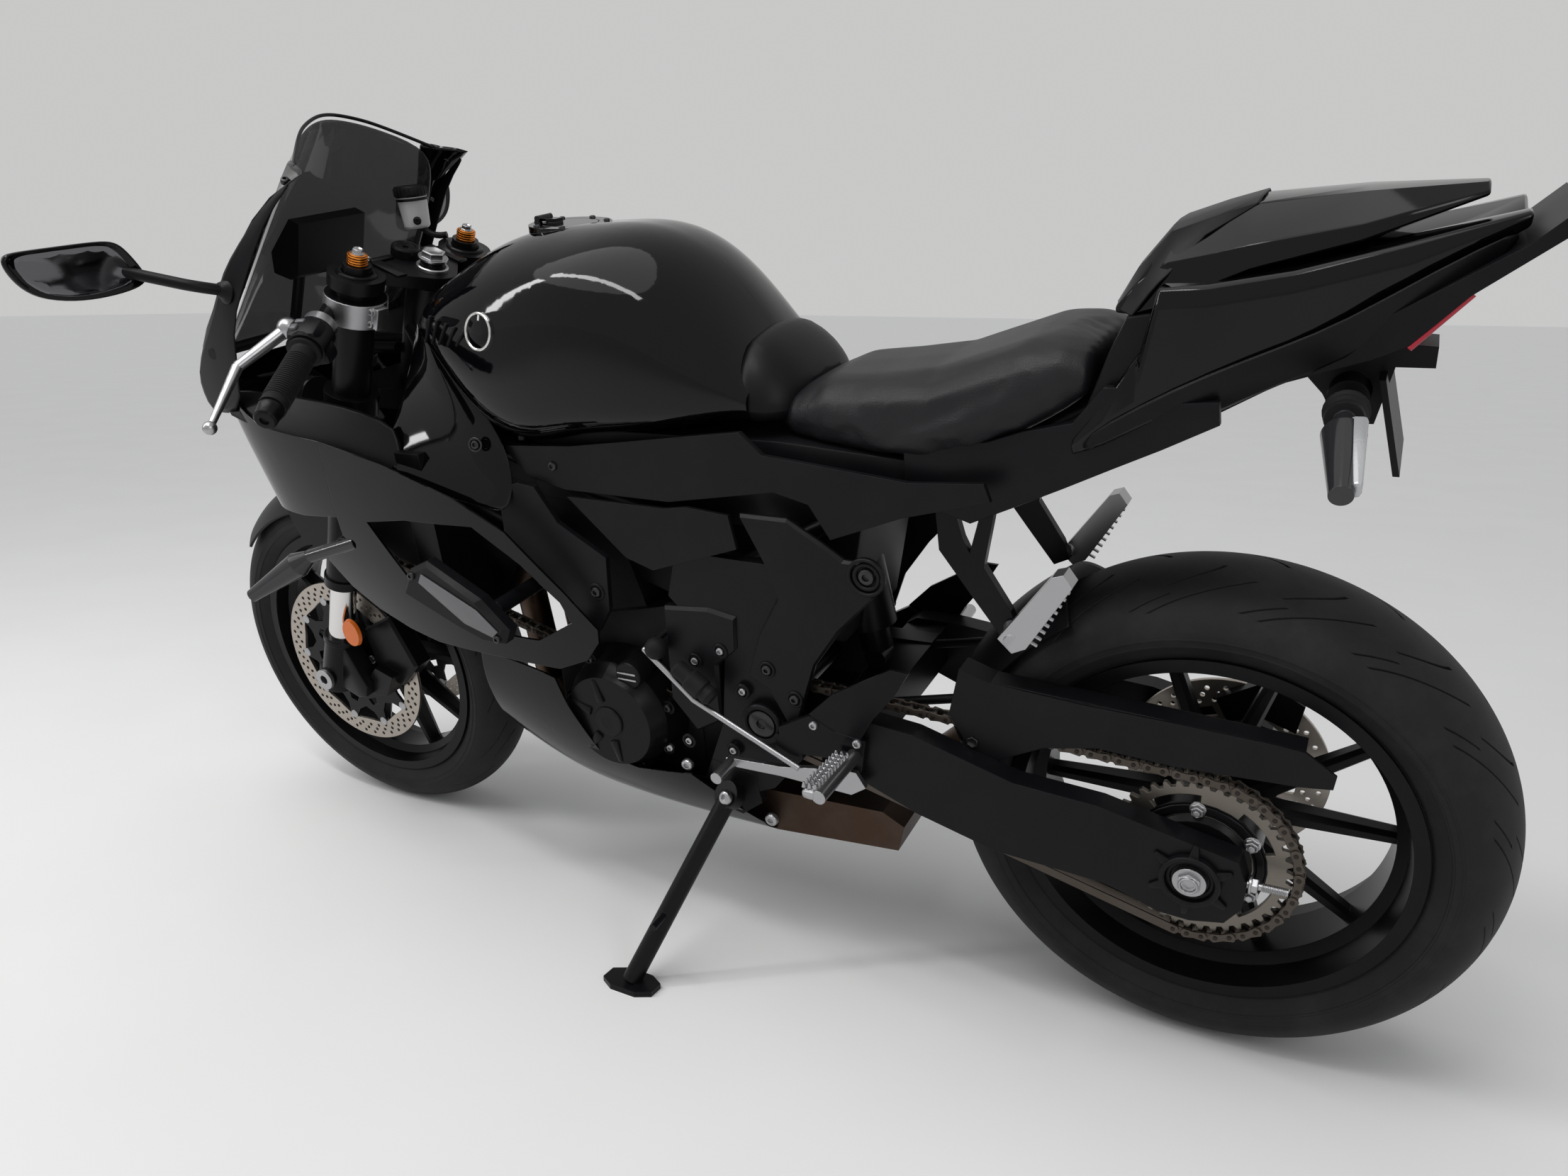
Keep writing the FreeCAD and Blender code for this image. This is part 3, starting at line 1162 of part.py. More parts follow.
def cap_ears():
    """The two ears on the ring that hold the lid's hinge."""
    inner = CAP_BARREL_HALF + TOUCH_GAP
    outer = inner + CAP_EAR_WIDTH
    ears = []
    for near, far in ((inner, outer), (-outer, -inner)):
        foot = Part.makeBox(
            CAP_BARREL_RADIUS * 2, CAP_EAR_WIDTH, CAP_HINGE_HEIGHT,
            V(CAP_HINGE_AHEAD - CAP_BARREL_RADIUS, near, 0),
        )
        ears += [cap_barrel(near, far), foot]
    return ears


TANK_FOOT_SHARES = [(0.890, 0.108, 0.735), (0.890, 0.096, 0.780)]
TANK_FOOT_RADIUS = 12.0


def tank():
    body = body_loft(TANK_STATION_SHARES)
    foot = rod(grid(TANK_FOOT_SHARES[0]), grid(TANK_FOOT_SHARES[1]), TANK_FOOT_RADIUS)
    ring_bottom = V(0, 0, -CAP_RECESS_DEPTH)
    ring_body = Part.makeCylinder(CAP_RING_RADIUS, CAP_RECESS_DEPTH + CAP_RING_HEIGHT, ring_bottom)
    recess_bottom = V(0, 0, CAP_RING_HEIGHT - CAP_LID_THICKNESS - CAP_GAP)
    recess_height = CAP_RECESS_DEPTH + CAP_RING_HEIGHT + CUT_OVERRUN
    recess = Part.makeCylinder(CAP_RADIUS + CAP_GAP, recess_height, recess_bottom)
    ears = [in_cap(ear) for ear in cap_ears()]
    return fused([body, in_cap(ring_body), foot, mirrored(foot)]).cut(in_cap(recess)).multiFuse(ears)


def tank_lid():
    """The lid with the strap that joins it to its barrel on the hinge line."""
    bottom = V(0, 0, CAP_RING_HEIGHT - CAP_LID_THICKNESS)
    lid = Part.makeCylinder(CAP_RADIUS, CAP_LID_THICKNESS, bottom)
    half = CAP_BARREL_HALF
    strap_depth = CAP_HINGE_HEIGHT - CAP_RING_HEIGHT - CAP_GAP
    strap = Part.makeBox(
        CAP_HINGE_AHEAD - CAP_RADIUS / 2, half * 2, strap_depth,
        V(CAP_RADIUS / 2, -half, CAP_RING_HEIGHT + CAP_GAP),
    )
    root = Part.makeBox(CAP_RADIUS / 3, half * 2, strap_depth, V(CAP_RADIUS / 2, -half, CAP_RING_HEIGHT - CAP_GAP))
    return in_cap(fused([lid, strap, root, cap_barrel(-half, half)]))


SEAT_STATION_SHARES = [
    (0.512, [(0, 0.806), (0.040, 0.805), (0.070, 0.801), (0.078, 0.794), (0.070, 0.786), (0.040, 0.780), (0, 0.780)]),
    (0.440, [(0, 0.826), (0.050, 0.824), (0.088, 0.814), (0.102, 0.796), (0.090, 0.776), (0.050, 0.768), (0, 0.768)]),
    (0.340, [(0, 0.843), (0.060, 0.841), (0.108, 0.826), (0.124, 0.796), (0.106, 0.770), (0.058, 0.764), (0, 0.764)]),
    (0.240, [(0, 0.872), (0.064, 0.870), (0.112, 0.856), (0.126, 0.818), (0.106, 0.786), (0.058, 0.780), (0, 0.780)]),
    (0.170, [(0, 0.892), (0.060, 0.890), (0.104, 0.876), (0.116, 0.846), (0.100, 0.820), (0.056, 0.814), (0, 0.814)]),
    (0.132, [(0, 0.884), (0.050, 0.882), (0.086, 0.872), (0.098, 0.854), (0.086, 0.838), (0.050, 0.834), (0, 0.834)]),
]


def seat():
    return body_loft(SEAT_STATION_SHARES)


# Tail: solo cowl, side panels, underside, lamp, plate bracket
COWL_STATION_SHARES = [
    (0.116, [(0, 0.946), (0.050, 0.944), (0.090, 0.936), (0.102, 0.926), (0.090, 0.914), (0.050, 0.908), (0, 0.908)]),
    (0.062, [(0, 0.994), (0.050, 0.991), (0.086, 0.975), (0.100, 0.955), (0.088, 0.935), (0.050, 0.926), (0, 0.926)]),
    (0.000, [(0, 1.011), (0.046, 1.008), (0.080, 0.992), (0.094, 0.972), (0.082, 0.952), (0.046, 0.944), (0, 0.944)]),
    (-0.090, [(0, 1.015), (0.036, 1.013), (0.062, 1.003), (0.074, 0.988), (0.062, 0.974), (0.036, 0.968), (0, 0.968)]),
    (-0.185, [(0, 1.019), (0.012, 1.018), (0.022, 1.015), (0.028, 1.011), (0.022, 1.007), (0.012, 1.005), (0, 1.005)]),
]
TAIL_STATION_SHARES = [
    (0.155, [(0, 0.800), (0.104, 0.804), (0.117, 0.800), (0.121, 0.790), (0.117, 0.780), (0.104, 0.776), (0, 0.776)]),
    (0.095, [(0, 0.890), (0.090, 0.898), (0.114, 0.880), (0.121, 0.850), (0.119, 0.815), (0.102, 0.795), (0, 0.790)]),
    (0.040, [(0, 0.915), (0.082, 0.938), (0.108, 0.915), (0.116, 0.885), (0.112, 0.850), (0.094, 0.830), (0, 0.822)]),
    (-0.040, [(0, 0.930), (0.070, 0.955), (0.094, 0.942), (0.104, 0.920), (0.096, 0.895), (0.078, 0.880), (0, 0.872)]),
    (-0.130, [(0, 0.955), (0.050, 0.972), (0.074, 0.968), (0.084, 0.956), (0.074, 0.942), (0.054, 0.932), (0, 0.926)]),
    (-0.218, [(0, 0.990), (0.040, 0.996), (0.058, 0.998), (0.064, 0.996), (0.058, 0.990), (0.040, 0.984), (0, 0.982)]),
]
UNDERTAIL_SHARES = [
    (0.148, 0.765), (0.109, 0.764), (-0.036, 0.851), (-0.112, 0.877), (-0.139, 0.890), (-0.179, 0.933),
    (-0.250, 0.987), (-0.247, 1.004), (-0.215, 0.975), (-0.118, 0.915), (0.040, 0.815), (0.150, 0.773),
]
UNDERTAIL_HALF_WIDTH = 84.0
LAMP_SHARES = [(-0.140, 0.889), (-0.180, 0.932), (-0.174, 0.934), (-0.134, 0.892)]
LAMP_HALF_WIDTH = 46.0
TAIL_RAKE_DEPTH = 12.0


def cowl():
    return body_loft(COWL_STATION_SHARES)


def tail_panels():
    return creased_loft(TAIL_STATION_SHARES)


def undertail():
    body = side_plate(UNDERTAIL_SHARES, -UNDERTAIL_HALF_WIDTH, UNDERTAIL_HALF_WIDTH)
    return body.cut(tail_lamp_envelope())


def tail_lamp_envelope():
    half = LAMP_HALF_WIDTH + TOUCH_GAP
    return side_plate(LAMP_SHARES, -half, half)


def tail_lamp():
    return side_plate(LAMP_SHARES, -LAMP_HALF_WIDTH, LAMP_HALF_WIDTH)


PLATE_ARM_SHARES = [(-0.047, 0.853), (-0.110, 0.880), (-0.163, 0.876), (-0.163, 0.856), (-0.130, 0.856), (-0.118, 0.800), (-0.085, 0.800), (-0.070, 0.828)]
PLATE_ARM_HALF_WIDTH = 26.0
PLATE_SHARES = [(-0.118, 0.852), (-0.124, 0.852), (-0.146, 0.760), (-0.140, 0.760)]
PLATE_HALF_WIDTH = 60.0
INDICATOR_TOP_SHARE = (-0.094, 0.060, 0.832)
INDICATOR_ROOT_SHARE = (-0.096, 0.130, 0.832)
INDICATOR_TIP_SHARE = (-0.104, 0.235, 0.800)
INDICATOR_ROOT_RADIUS = 10.0
INDICATOR_BODY_RADIUS = 19.0
INDICATOR_TIP_RADIUS = 10.0
FRONT_INDICATOR_ROOT_SHARE = (1.155, 0.196, 0.600)
FRONT_INDICATOR_NECK_SHARE = (1.238, 0.216, 0.576)
FRONT_INDICATOR_TIP_SHARE = (1.330, 0.262, 0.520)


def indicator(stalk, root, tip):
    """A flashing lamp: a rubber stalk that opens into a tapered housing."""
    neck = root + (tip - root) * 0.2
    shapes = [rod(stalk, root, INDICATOR_ROOT_RADIUS), cone(root, neck, INDICATOR_ROOT_RADIUS, INDICATOR_BODY_RADIUS)]
    shapes.append(cone(neck, tip, INDICATOR_BODY_RADIUS, INDICATOR_TIP_RADIUS))
    return fused(shapes)


def plate_bracket():
    arm = side_plate(PLATE_ARM_SHARES, -PLATE_ARM_HALF_WIDTH, PLATE_ARM_HALF_WIDTH)
    tubes = rod(grid(INDICATOR_TOP_SHARE), mirrored(Part.Vertex(grid(INDICATOR_TOP_SHARE))).Point, INDICATOR_BODY_RADIUS)
    plate = side_plate(PLATE_SHARES, -PLATE_HALF_WIDTH, PLATE_HALF_WIDTH)
    return fused([arm, tubes, plate])


# Fairing: one wrap-round shell, parted along the real panels' seams
SHELL_HEIGHT_SHARES = (0.900, 0.800, 0.700, 0.600, 0.500, 0.400)
SHELL_PLAN_SHARES = [
    (0.730, [0.160, 0.164, 0.168, 0.172, 0.172, 0.158]),
    (0.880, [0.186, 0.190, 0.194, 0.200, 0.198, 0.180]),
    (1.030, [0.194, 0.200, 0.205, 0.208, 0.203, 0.180]),
    (1.170, [0.190, 0.198, 0.204, 0.202, 0.188, 0.160]),
    (1.290, [0.188, 0.197, 0.200, 0.188, 0.165, 0.130]),
]
SHELL_NOSE_SHARES = [
    (0.165, [1.405, 1.410, 1.375, 1.330, 1.290, 1.250]),
    (0.105, [1.445, 1.470, 1.425, 1.365, 1.310, 1.265]),
    (0.000, [1.455, 1.498, 1.445, 1.375, 1.315, 1.270]),
]
NOSE_SHARES = [
    (1.600, 0.600), (1.600, 0.830), (1.455, 0.826), (1.380, 0.800), (1.300, 0.764), (1.172, 0.752),
    (1.172, 0.640), (1.250, 0.632), (1.330, 0.632),
]
SIDE_PANEL_SHARES = [
    (1.1717, 0.752), (1.056, 0.728), (0.941, 0.687), (0.868, 0.645), (0.797, 0.567), (0.755, 0.512),
    (0.758, 0.492), (0.782, 0.462), (0.830, 0.443), (0.930, 0.450), (1.040, 0.455), (1.094, 0.468),
    (1.151, 0.489), (1.200, 0.520), (1.234, 0.560), (1.205, 0.592), (1.1717, 0.612),
]
VENT_SHARES = [
    (1.110, 0.640), (1.035, 0.650), (0.919, 0.650), (0.853, 0.602), (0.803, 0.550), (0.792, 0.520),
    (0.850, 0.487), (0.939, 0.492), (1.012, 0.508), (1.060, 0.566),
]


def shell_rows():
    """Rows down the shell, from the rear left round the nose to the rear right."""
    left = []
    for x, ys in SHELL_PLAN_SHARES:
        left.append([grid((x, y, z)) for y, z in zip(ys, SHELL_HEIGHT_SHARES)])
    for y, xs in SHELL_NOSE_SHARES:
        left.append([grid((x, y, z)) for x, z in zip(xs, SHELL_HEIGHT_SHARES)])
    right = [[V(p.x, -p.y, p.z) for p in row] for row in reversed(left[:-1])]
    return left + right


def fairing_shell():
    return skin(shell_rows(), PANEL_THICKNESS)


def side_window(shares, side):
    """The prism that a side-view outline sweeps from the middle out to one side."""
    return side_plate(shares, 0, side * BREADTH)


def nose(shell):
    """The nose panel, open for the middle lamp and the two position lamps."""
    panel = shell.common(side_plate(NOSE_SHARES, -BREADTH, BREADTH))
    slots = [position_lamp_block(side, TOUCH_GAP) for side in SIDES]
    return panel.cut(Part.makeCompound([lamp_opening()] + slots))


def side_panel(shell, side):
    panel = shell.common(side_window(SIDE_PANEL_SHARES, side))
    return panel.cut(side_window(VENT_SHARES, side))


BELLY_STATION_SHARES = [
    (0.985, [(0.168, 0.440), (0.176, 0.395), (0.150, 0.300), (0.080, 0.256), (0, 0.250)]),
    (0.900, [(0.176, 0.436), (0.180, 0.370), (0.148, 0.250), (0.080, 0.198), (0, 0.190)]),
    (0.800, [(0.176, 0.420), (0.176, 0.340), (0.146, 0.230), (0.080, 0.184), (0, 0.176)]),
    (0.690, [(0.168, 0.330), (0.166, 0.290), (0.142, 0.218), (0.080, 0.180), (0, 0.172)]),
    (0.560, [(0.150, 0.280), (0.148, 0.258), (0.128, 0.208), (0.076, 0.178), (0, 0.172)]),
]
BELLY_SHARES = [
    (1.010, 0.442), (0.885, 0.440), (0.850, 0.425), (0.835, 0.380), (0.800, 0.305), (0.740, 0.290), (0.650, 0.300),
    (0.600, 0.262), (0.560, 0.225), (0.560, 0.160), (1.010, 0.160),
]


def belly_pan():
    rows = []
    for x, halves in BELLY_STATION_SHARES:
        left = [grid((x, y, z)) for y, z in halves]
        rows.append(left + [V(p.x, -p.y, p.z) for p in reversed(left[:-1])])
    pan = skin(rows, PANEL_THICKNESS)
    return pan.common(side_plate(BELLY_SHARES, -BREADTH, BREADTH))


# Windscreen, its braces, the instrument panel, lamp and mirrors
SCREEN_ROW_SHARES = [
    (1.240, 1.160, 0.88, [(0, 0), (0.036, 0.008), (0.076, 0.026), (0.130, 0.070)]),
    (1.290, 1.095, 0.56, [(0, 0), (0.048, 0.008), (0.096, 0.032), (0.148, 0.084)]),
    (1.340, 1.020, 0.48, [(0, 0), (0.056, 0.007), (0.112, 0.032), (0.162, 0.084)]),
    (1.400, 0.930, 0.30, [(0, 0), (0.060, 0.006), (0.118, 0.030), (0.172, 0.082)]),
    (1.462, 0.848, 0.18, [(0, 0), (0.060, 0.004), (0.118, 0.024), (0.172, 0.067)]),
]
SCREEN_THICKNESS = 3.5
BRACE_PANEL_SHARES = [
    (1.452, 0.822), (1.430, 0.858), (1.390, 0.884), (1.335, 0.935), (1.292, 0.986), (1.180, 1.075),
    (1.112, 1.098), (1.110, 1.070), (1.150, 1.050), (1.215, 1.006), (1.268, 0.955), (1.318, 0.896),
    (1.340, 0.770), (1.440, 0.770),
]
BRACE_PANEL_ROW_SHARES = [
    (1.450, [0.162, 0.150]), (1.380, [0.178, 0.168]), (1.290, [0.186, 0.180]), (1.190, [0.186, 0.184]),
    (1.090, [0.188, 0.186]),
]
BRACE_PANEL_LOW_SHARE = 0.760
BRACE_PANEL_HIGH_SHARE = 1.120


def screen():
    """A bubble of rows from its top edge down; each row tilts with its own slope."""
    rows = []
    for x, z, tilt, halves in SCREEN_ROW_SHARES:
        left = [grid((x - setback, y, z - tilt * setback)) for y, setback in halves]
        rows.append([V(p.x, -p.y, p.z) for p in reversed(left[1:])] + left)
    return skin(rows, SCREEN_THICKNESS)


def brace_panel(side):
    """The black inner panel that carries the screen's side edge and ends in an ear."""
    rows = []
    for x, ys in BRACE_PANEL_ROW_SHARES:
        low = grid((x, side * ys[0], BRACE_PANEL_LOW_SHARE))
        high = grid((x, side * ys[1], BRACE_PANEL_HIGH_SHARE))
        rows.append([low, (low + high) * 0.5, high])
    panel = skin(rows, PANEL_THICKNESS)
    return panel.common(side_window(BRACE_PANEL_SHARES, side))


DASH_SHARES = [(1.318, 0.945), (1.300, 0.950), (1.272, 1.022), (1.290, 1.030), (1.345, 0.985), (1.350, 0.955)]
DASH_HALF_WIDTH = 62.0
STAY_SHARES = [(1.165, 0.030, 0.842), (1.300, 0.034, 0.840), (1.376, 0.034, 0.862), (1.330, 0.034, 0.950)]
CROSS_BAR_SHARE = (1.376, 0.181, 0.862)
STAY_RADIUS = 8.0


def instrument_panel():
    """The meter housing on its two stays from the head tube."""
    box = side_plate(DASH_SHARES, -DASH_HALF_WIDTH, DASH_HALF_WIDTH)
    stay = run([grid(s) for s in STAY_SHARES], STAY_RADIUS)
    bar_end = grid(CROSS_BAR_SHARE)
    cross_bar = rod(V(bar_end.x, -bar_end.y, bar_end.z), bar_end, STAY_RADIUS)
    return fused([box, stay, mirrored(stay), cross_bar])


LAMP_CENTRE_SHARE = (1.470, 0, 0.745)
HEADLAMP_RADIUS = 36.0
HEADLAMP_BEZEL_RADIUS = 46.0
HEADLAMP_LENGTH = 70.0
POSITION_LAMP_DEPTH_SHARE = (1.300, 1.600)
POSITION_LAMP_SHARES = [(0.072, 0.722), (0.140, 0.766), (0.146, 0.784), (0.078, 0.742)]


def lamp_opening():
    """The round hole in the nose that the lamp's bezel fills."""
    front = grid(LAMP_CENTRE_SHARE)
    reach = V(HEADLAMP_LENGTH * 2, 0, 0)
    return rod(front - reach, front + reach, HEADLAMP_BEZEL_RADIUS + TOUCH_GAP)


def position_lamp_block(side, outset):
    """The slanted slot of a position lamp, swept along the machine through the nose."""
    near, far = [share * SPAN for share in POSITION_LAMP_DEPTH_SHARE]
    corners = [V(near, side * y * BREADTH, z * RISE) for y, z in POSITION_LAMP_SHARES]
    return prism(inset_points(corners, -outset), V(far - near, 0, 0))


def headlamp(shell):
    """One projector in a round bezel amid the nose, and two slim position lamps."""
    front = grid(LAMP_CENTRE_SHARE)
    back = front - V(HEADLAMP_LENGTH, 0, 0)
    barrel = rod(back, front, HEADLAMP_RADIUS)
    dome = Part.makeSphere(HEADLAMP_RADIUS, front - V(HEADLAMP_RADIUS / 2, 0, 0))
    bezel = rod(back + V(HEADLAMP_LENGTH / 3, 0, 0), front, HEADLAMP_BEZEL_RADIUS)
    projector = fused([barrel, bezel, dome])
    slim = [shell.common(position_lamp_block(side, 0)) for side in SIDES]
    return Part.makeCompound([projector] + slim)


MIRROR_ROOT_SHARE = (1.304, 0.178, 0.952)
MIRROR_ELBOW_SHARE = (1.313, 0.215, 0.963)
MIRROR_CENTRE_SHARE = (1.400, 0.318, 1.002)
MIRROR_STALK_RADIUS = 9.0
MIRROR_OUTLINE_SHARES = [(-0.075, -0.018), (-0.052, -0.042), (0.020, -0.040), (0.066, -0.012), (0.078, 0.026), (0.050, 0.042), (-0.010, 0.040), (-0.062, 0.012)]
MIRROR_THICKNESS = 22.0
MIRROR_BEVEL = 8.0
MIRROR_TILT = 10.0


def mirror_unit():
    """The left mirror: a stalk with an elbow, and a bevelled housing facing back."""
    turned = ROTATION(Z_AXIS, -MIRROR_TILT)
    centre = grid(MIRROR_CENTRE_SHARE)
    outline = [centre + turned.multVec(V(0, y * BREADTH, z * RISE)) for y, z in MIRROR_OUTLINE_SHARES]
    housing = bevelled_plate(outline, turned.multVec(V(MIRROR_THICKNESS, 0, 0)), MIRROR_BEVEL)
    root, elbow = grid(MIRROR_ROOT_SHARE), grid(MIRROR_ELBOW_SHARE)
    tip = centre + turned.multVec(V(MIRROR_THICKNESS / 2, -MIRROR_BEVEL * 7, 0))
    stalk = run([root, elbow, tip], MIRROR_STALK_RADIUS)
    return fused([housing, stalk])


# Side covers, frame covers and sliders
FRAME_COVER_SHARES = [
    (0.536, 0.687), (0.473, 0.687), (0.429, 0.661), (0.402, 0.643), (0.372, 0.642), (0.354, 0.626), (0.366, 0.600),
    (0.413, 0.549), (0.451, 0.496), (0.483, 0.408), (0.495, 0.402), (0.520, 0.450), (0.548, 0.465),
    (0.527, 0.526), (0.495, 0.583), (0.505, 0.622),
]
FRAME_COVER_INNER = 141.3
FRAME_COVER_OUTER = 149.0
FRAME_COVER_BEVEL = 4.0
INNER_PANEL_SHARES = [
    (0.900, 0.690), (0.865, 0.702), (0.837, 0.698), (0.808, 0.651), (0.738, 0.610), (0.746, 0.534),
    (0.771, 0.497), (0.786, 0.500), (0.904, 0.626),
]
INNER_PANEL_INNER = 150.0
INNER_PANEL_OUTER = 158.0
INNER_PANEL_STAY_SHARES = [(0.866, 0.152, 0.607), (0.866, 0.112, 0.605)]
INNER_PANEL_STAY_RADIUS = 7.0
TANK_COVER_SHARES = [
    (0.893, 0.745), (0.780, 0.752), (0.528, 0.786), (0.500, 0.760), (0.320, 0.742), (0.235, 0.748),
    (0.228, 0.728), (0.330, 0.700), (0.420, 0.664), (0.445, 0.705), (0.490, 0.716), (0.640, 0.690), (0.800, 0.692), (0.860, 0.706),
]
TANK_COVER_INNER = 134.0
TANK_COVER_OUTER = 141.0
AIRBOX_COVER_SHARES = [(0.794, 0.685), (0.645, 0.683), (0.611, 0.688), (0.552, 0.683), (0.545, 0.640), (0.674, 0.596), (0.714, 0.609)]
AIRBOX_COVER_INNER = 141.6
AIRBOX_COVER_OUTER = 147.0
SLIDER_OUTLINE_SHARES = [(1.040, 0.555), (1.018, 0.590), (0.985, 0.605), (0.900, 0.560), (0.860, 0.520), (0.872, 0.498), (0.900, 0.497), (0.950, 0.510)]
SLIDER_INNER = 213.0
SLIDER_OUTER = 236.0
SLIDER_STAY_RADIUS = 11.0
SLIDER_STAY_ROOT = 92.0
SLIDER_STAY_SHARE = (0.893, 0.540)


def frame_covers():
    points = [grid_flat(s, FRAME_COVER_INNER) for s in FRAME_COVER_SHARES]
    depth = V(0, FRAME_COVER_OUTER - FRAME_COVER_INNER, 0)
    return bevelled_plate(points, depth, FRAME_COVER_BEVEL)


def inner_panel():
    """The black panel behind the side fairing, on a stay from the frame's lower brace."""
    plate = side_plate(INNER_PANEL_SHARES, INNER_PANEL_INNER, INNER_PANEL_OUTER)
    stay = rod(grid(INNER_PANEL_STAY_SHARES[0]), grid(INNER_PANEL_STAY_SHARES[1]), INNER_PANEL_STAY_RADIUS)
    return fused([plate, stay])


def slider():
    """An octagonal crash pad on a bolt from the engine."""
    points = [grid_flat(s, SLIDER_INNER) for s in SLIDER_OUTLINE_SHARES]
    pad = bevelled_plate(points, V(0, SLIDER_OUTER - SLIDER_INNER, 0), FRAME_COVER_BEVEL * 2)
    root, tip = grid_flat(SLIDER_STAY_SHARE, SLIDER_STAY_ROOT), grid_flat(SLIDER_STAY_SHARE, SLIDER_INNER)
    stay = rod(root, tip, SLIDER_STAY_RADIUS)
    return fused([pad, stay])


# Swingarm, chain guard, shock, hugger, rear brake and axle
ARM_INNER = 128.0
ARM_OUTER = 156.0
ARM_SHARES = [
    (0.447, 0.425), (0.430, 0.436), (0.375, 0.436), (0.322, 0.430), (0.199, 0.392), (0.101, 0.385), (0.021, 0.366),
    (-0.048, 0.350), (-0.057, 0.319), (-0.055, 0.290), (-0.038, 0.266), (-0.002, 0.258), (0.032, 0.260),
    (0.089, 0.281), (0.222, 0.290), (0.320, 0.318), (0.400, 0.352), (0.447, 0.366),
]
ARM_ROOT_INNER = 70.0
ARM_ROOT_OUTER = 101.0
ARM_ROOT_SHARES = [(0.575, 0.415), (0.540, 0.432), (0.462, 0.430), (0.385, 0.432), (0.385, 0.375), (0.462, 0.366), (0.540, 0.362), (0.572, 0.380)]
ARM_BRIDGE_SHARES = [(0.445, 0.426), (0.385, 0.430), (0.385, 0.374), (0.445, 0.378)]
ARM_AXLE_SLOT_SHARE = 0.03
GUARD_SHARES = [
    (0.272, 0.515), (0.235, 0.503), (0.125, 0.495), (0.033, 0.492), (-0.072, 0.487), (-0.098, 0.484),
    (-0.129, 0.462), (-0.127, 0.446), (-0.095, 0.442), (0.028, 0.438), (0.077, 0.441), (0.111, 0.443),
    (0.172, 0.430), (0.232, 0.398), (0.251, 0.394), (0.286, 0.452),
]
GUARD_TOP_SHARES = [(0.272, 0.515), (0.235, 0.503), (0.033, 0.492), (-0.098, 0.484), (-0.098, 0.480), (0.033, 0.488), (0.235, 0.499), (0.272, 0.511)]
GUARD_SIDE = 126.0
GUARD_THICKNESS = 3.5
GUARD_TOP_INNER = 98.0
HUGGER_RADIUS = 333.0
HUGGER_HALF_WIDTH = 84.0
HUGGER_DROP = 40.0
HUGGER_START_ANGLE = 32.0
HUGGER_SWEEP = 44.0
HUGGER_THICKNESS = 3.5
SHOCK_LOW_SHARE = (0.432, 0.4423)
SHOCK_HIGH_SHARE = (0.468, 0.672)
SHOCK_RADIUS = 21.0
SHOCK_SPRING_RADIUS = 33.0
SHOCK_EYE_RADIUS = 15.0
SHOCK_EYE_HALF_WIDTH = 16.0
SHOCK_BODY_SPAN_SHARE = (0.05, 0.95)
SHOCK_SPRING_SPAN_SHARE = (0.20, 0.72)
REAR_CALIPER_SHARES = [(0.015, 0.103), (-0.040, 0.136), (-0.085, 0.110), (-0.078, 0.072), (-0.040, 0.086), (0.000, 0.074)]
REAR_CALIPER_WIDTH = 36.0
REAR_AXLE_HALF = 170.0


def arm_side():
    """One side of the swingarm: the outer beam, the inner root and their bridge."""
    beam = side_plate(ARM_SHARES, ARM_INNER, ARM_OUTER)
    root = side_plate(ARM_ROOT_SHARES, ARM_ROOT_INNER, ARM_ROOT_OUTER)
    bridge = side_plate(ARM_BRIDGE_SHARES, 0, ARM_OUTER - PANEL_THICKNESS)
    return fused([beam, root, bridge])


def swingarm():
    half = arm_side()
    body = fused([half, mirrored(half)])
    axle_hole = rod(REAR_AXLE - V(0, BREADTH, 0), REAR_AXLE + V(0, BREADTH, 0), AXLE_RADIUS + TOUCH_GAP)
    pivot_hole = rod(pivot_point(-ARM_INNER), pivot_point(ARM_INNER), PIVOT_BOLT_RADIUS + TOUCH_GAP)
    return body.cut(axle_hole).cut(pivot_hole)


def chain_guard():
    side_wall = side_plate(GUARD_SHARES, GUARD_SIDE, GUARD_SIDE + GUARD_THICKNESS)
    top_wall = side_plate(GUARD_TOP_SHARES, GUARD_TOP_INNER, GUARD_SIDE)
    return fused([side_wall, top_wall])


HUGGER_STAY_SHARES = [(0.264, 0.079, 0.452), (0.400, 0.084, 0.420)]
HUGGER_STAY_RADIUS = 6.0


def hugger():
    """The rear tyre's inner mudguard on two stays from the swingarm."""
    guard = arch_guard(
        HUGGER_RADIUS, HUGGER_HALF_WIDTH, HUGGER_DROP, HUGGER_THICKNESS,
        HUGGER_START_ANGLE, HUGGER_SWEEP, REAR_AXLE,
    )
    stay = rod(grid(HUGGER_STAY_SHARES[0]), grid(HUGGER_STAY_SHARES[1]), HUGGER_STAY_RADIUS)
    return fused([guard, stay, mirrored(stay)])


def shock():
    low, high = grid_flat(SHOCK_LOW_SHARE, 0), grid_flat(SHOCK_HIGH_SHARE, 0)
    body_ends = [low + (high - low) * share for share in SHOCK_BODY_SPAN_SHARE]
    spring_ends = [low + (high - low) * share for share in SHOCK_SPRING_SPAN_SHARE]
    body = rod(body_ends[0], body_ends[1], SHOCK_RADIUS)
    spring = rod(spring_ends[0], spring_ends[1], SHOCK_SPRING_RADIUS)
    eyes = []
    for point in (low, high):
        half = V(0, SHOCK_EYE_HALF_WIDTH, 0)
        eyes.append(rod(point - half, point + half, SHOCK_EYE_RADIUS))
    return fused([body, spring] + eyes)


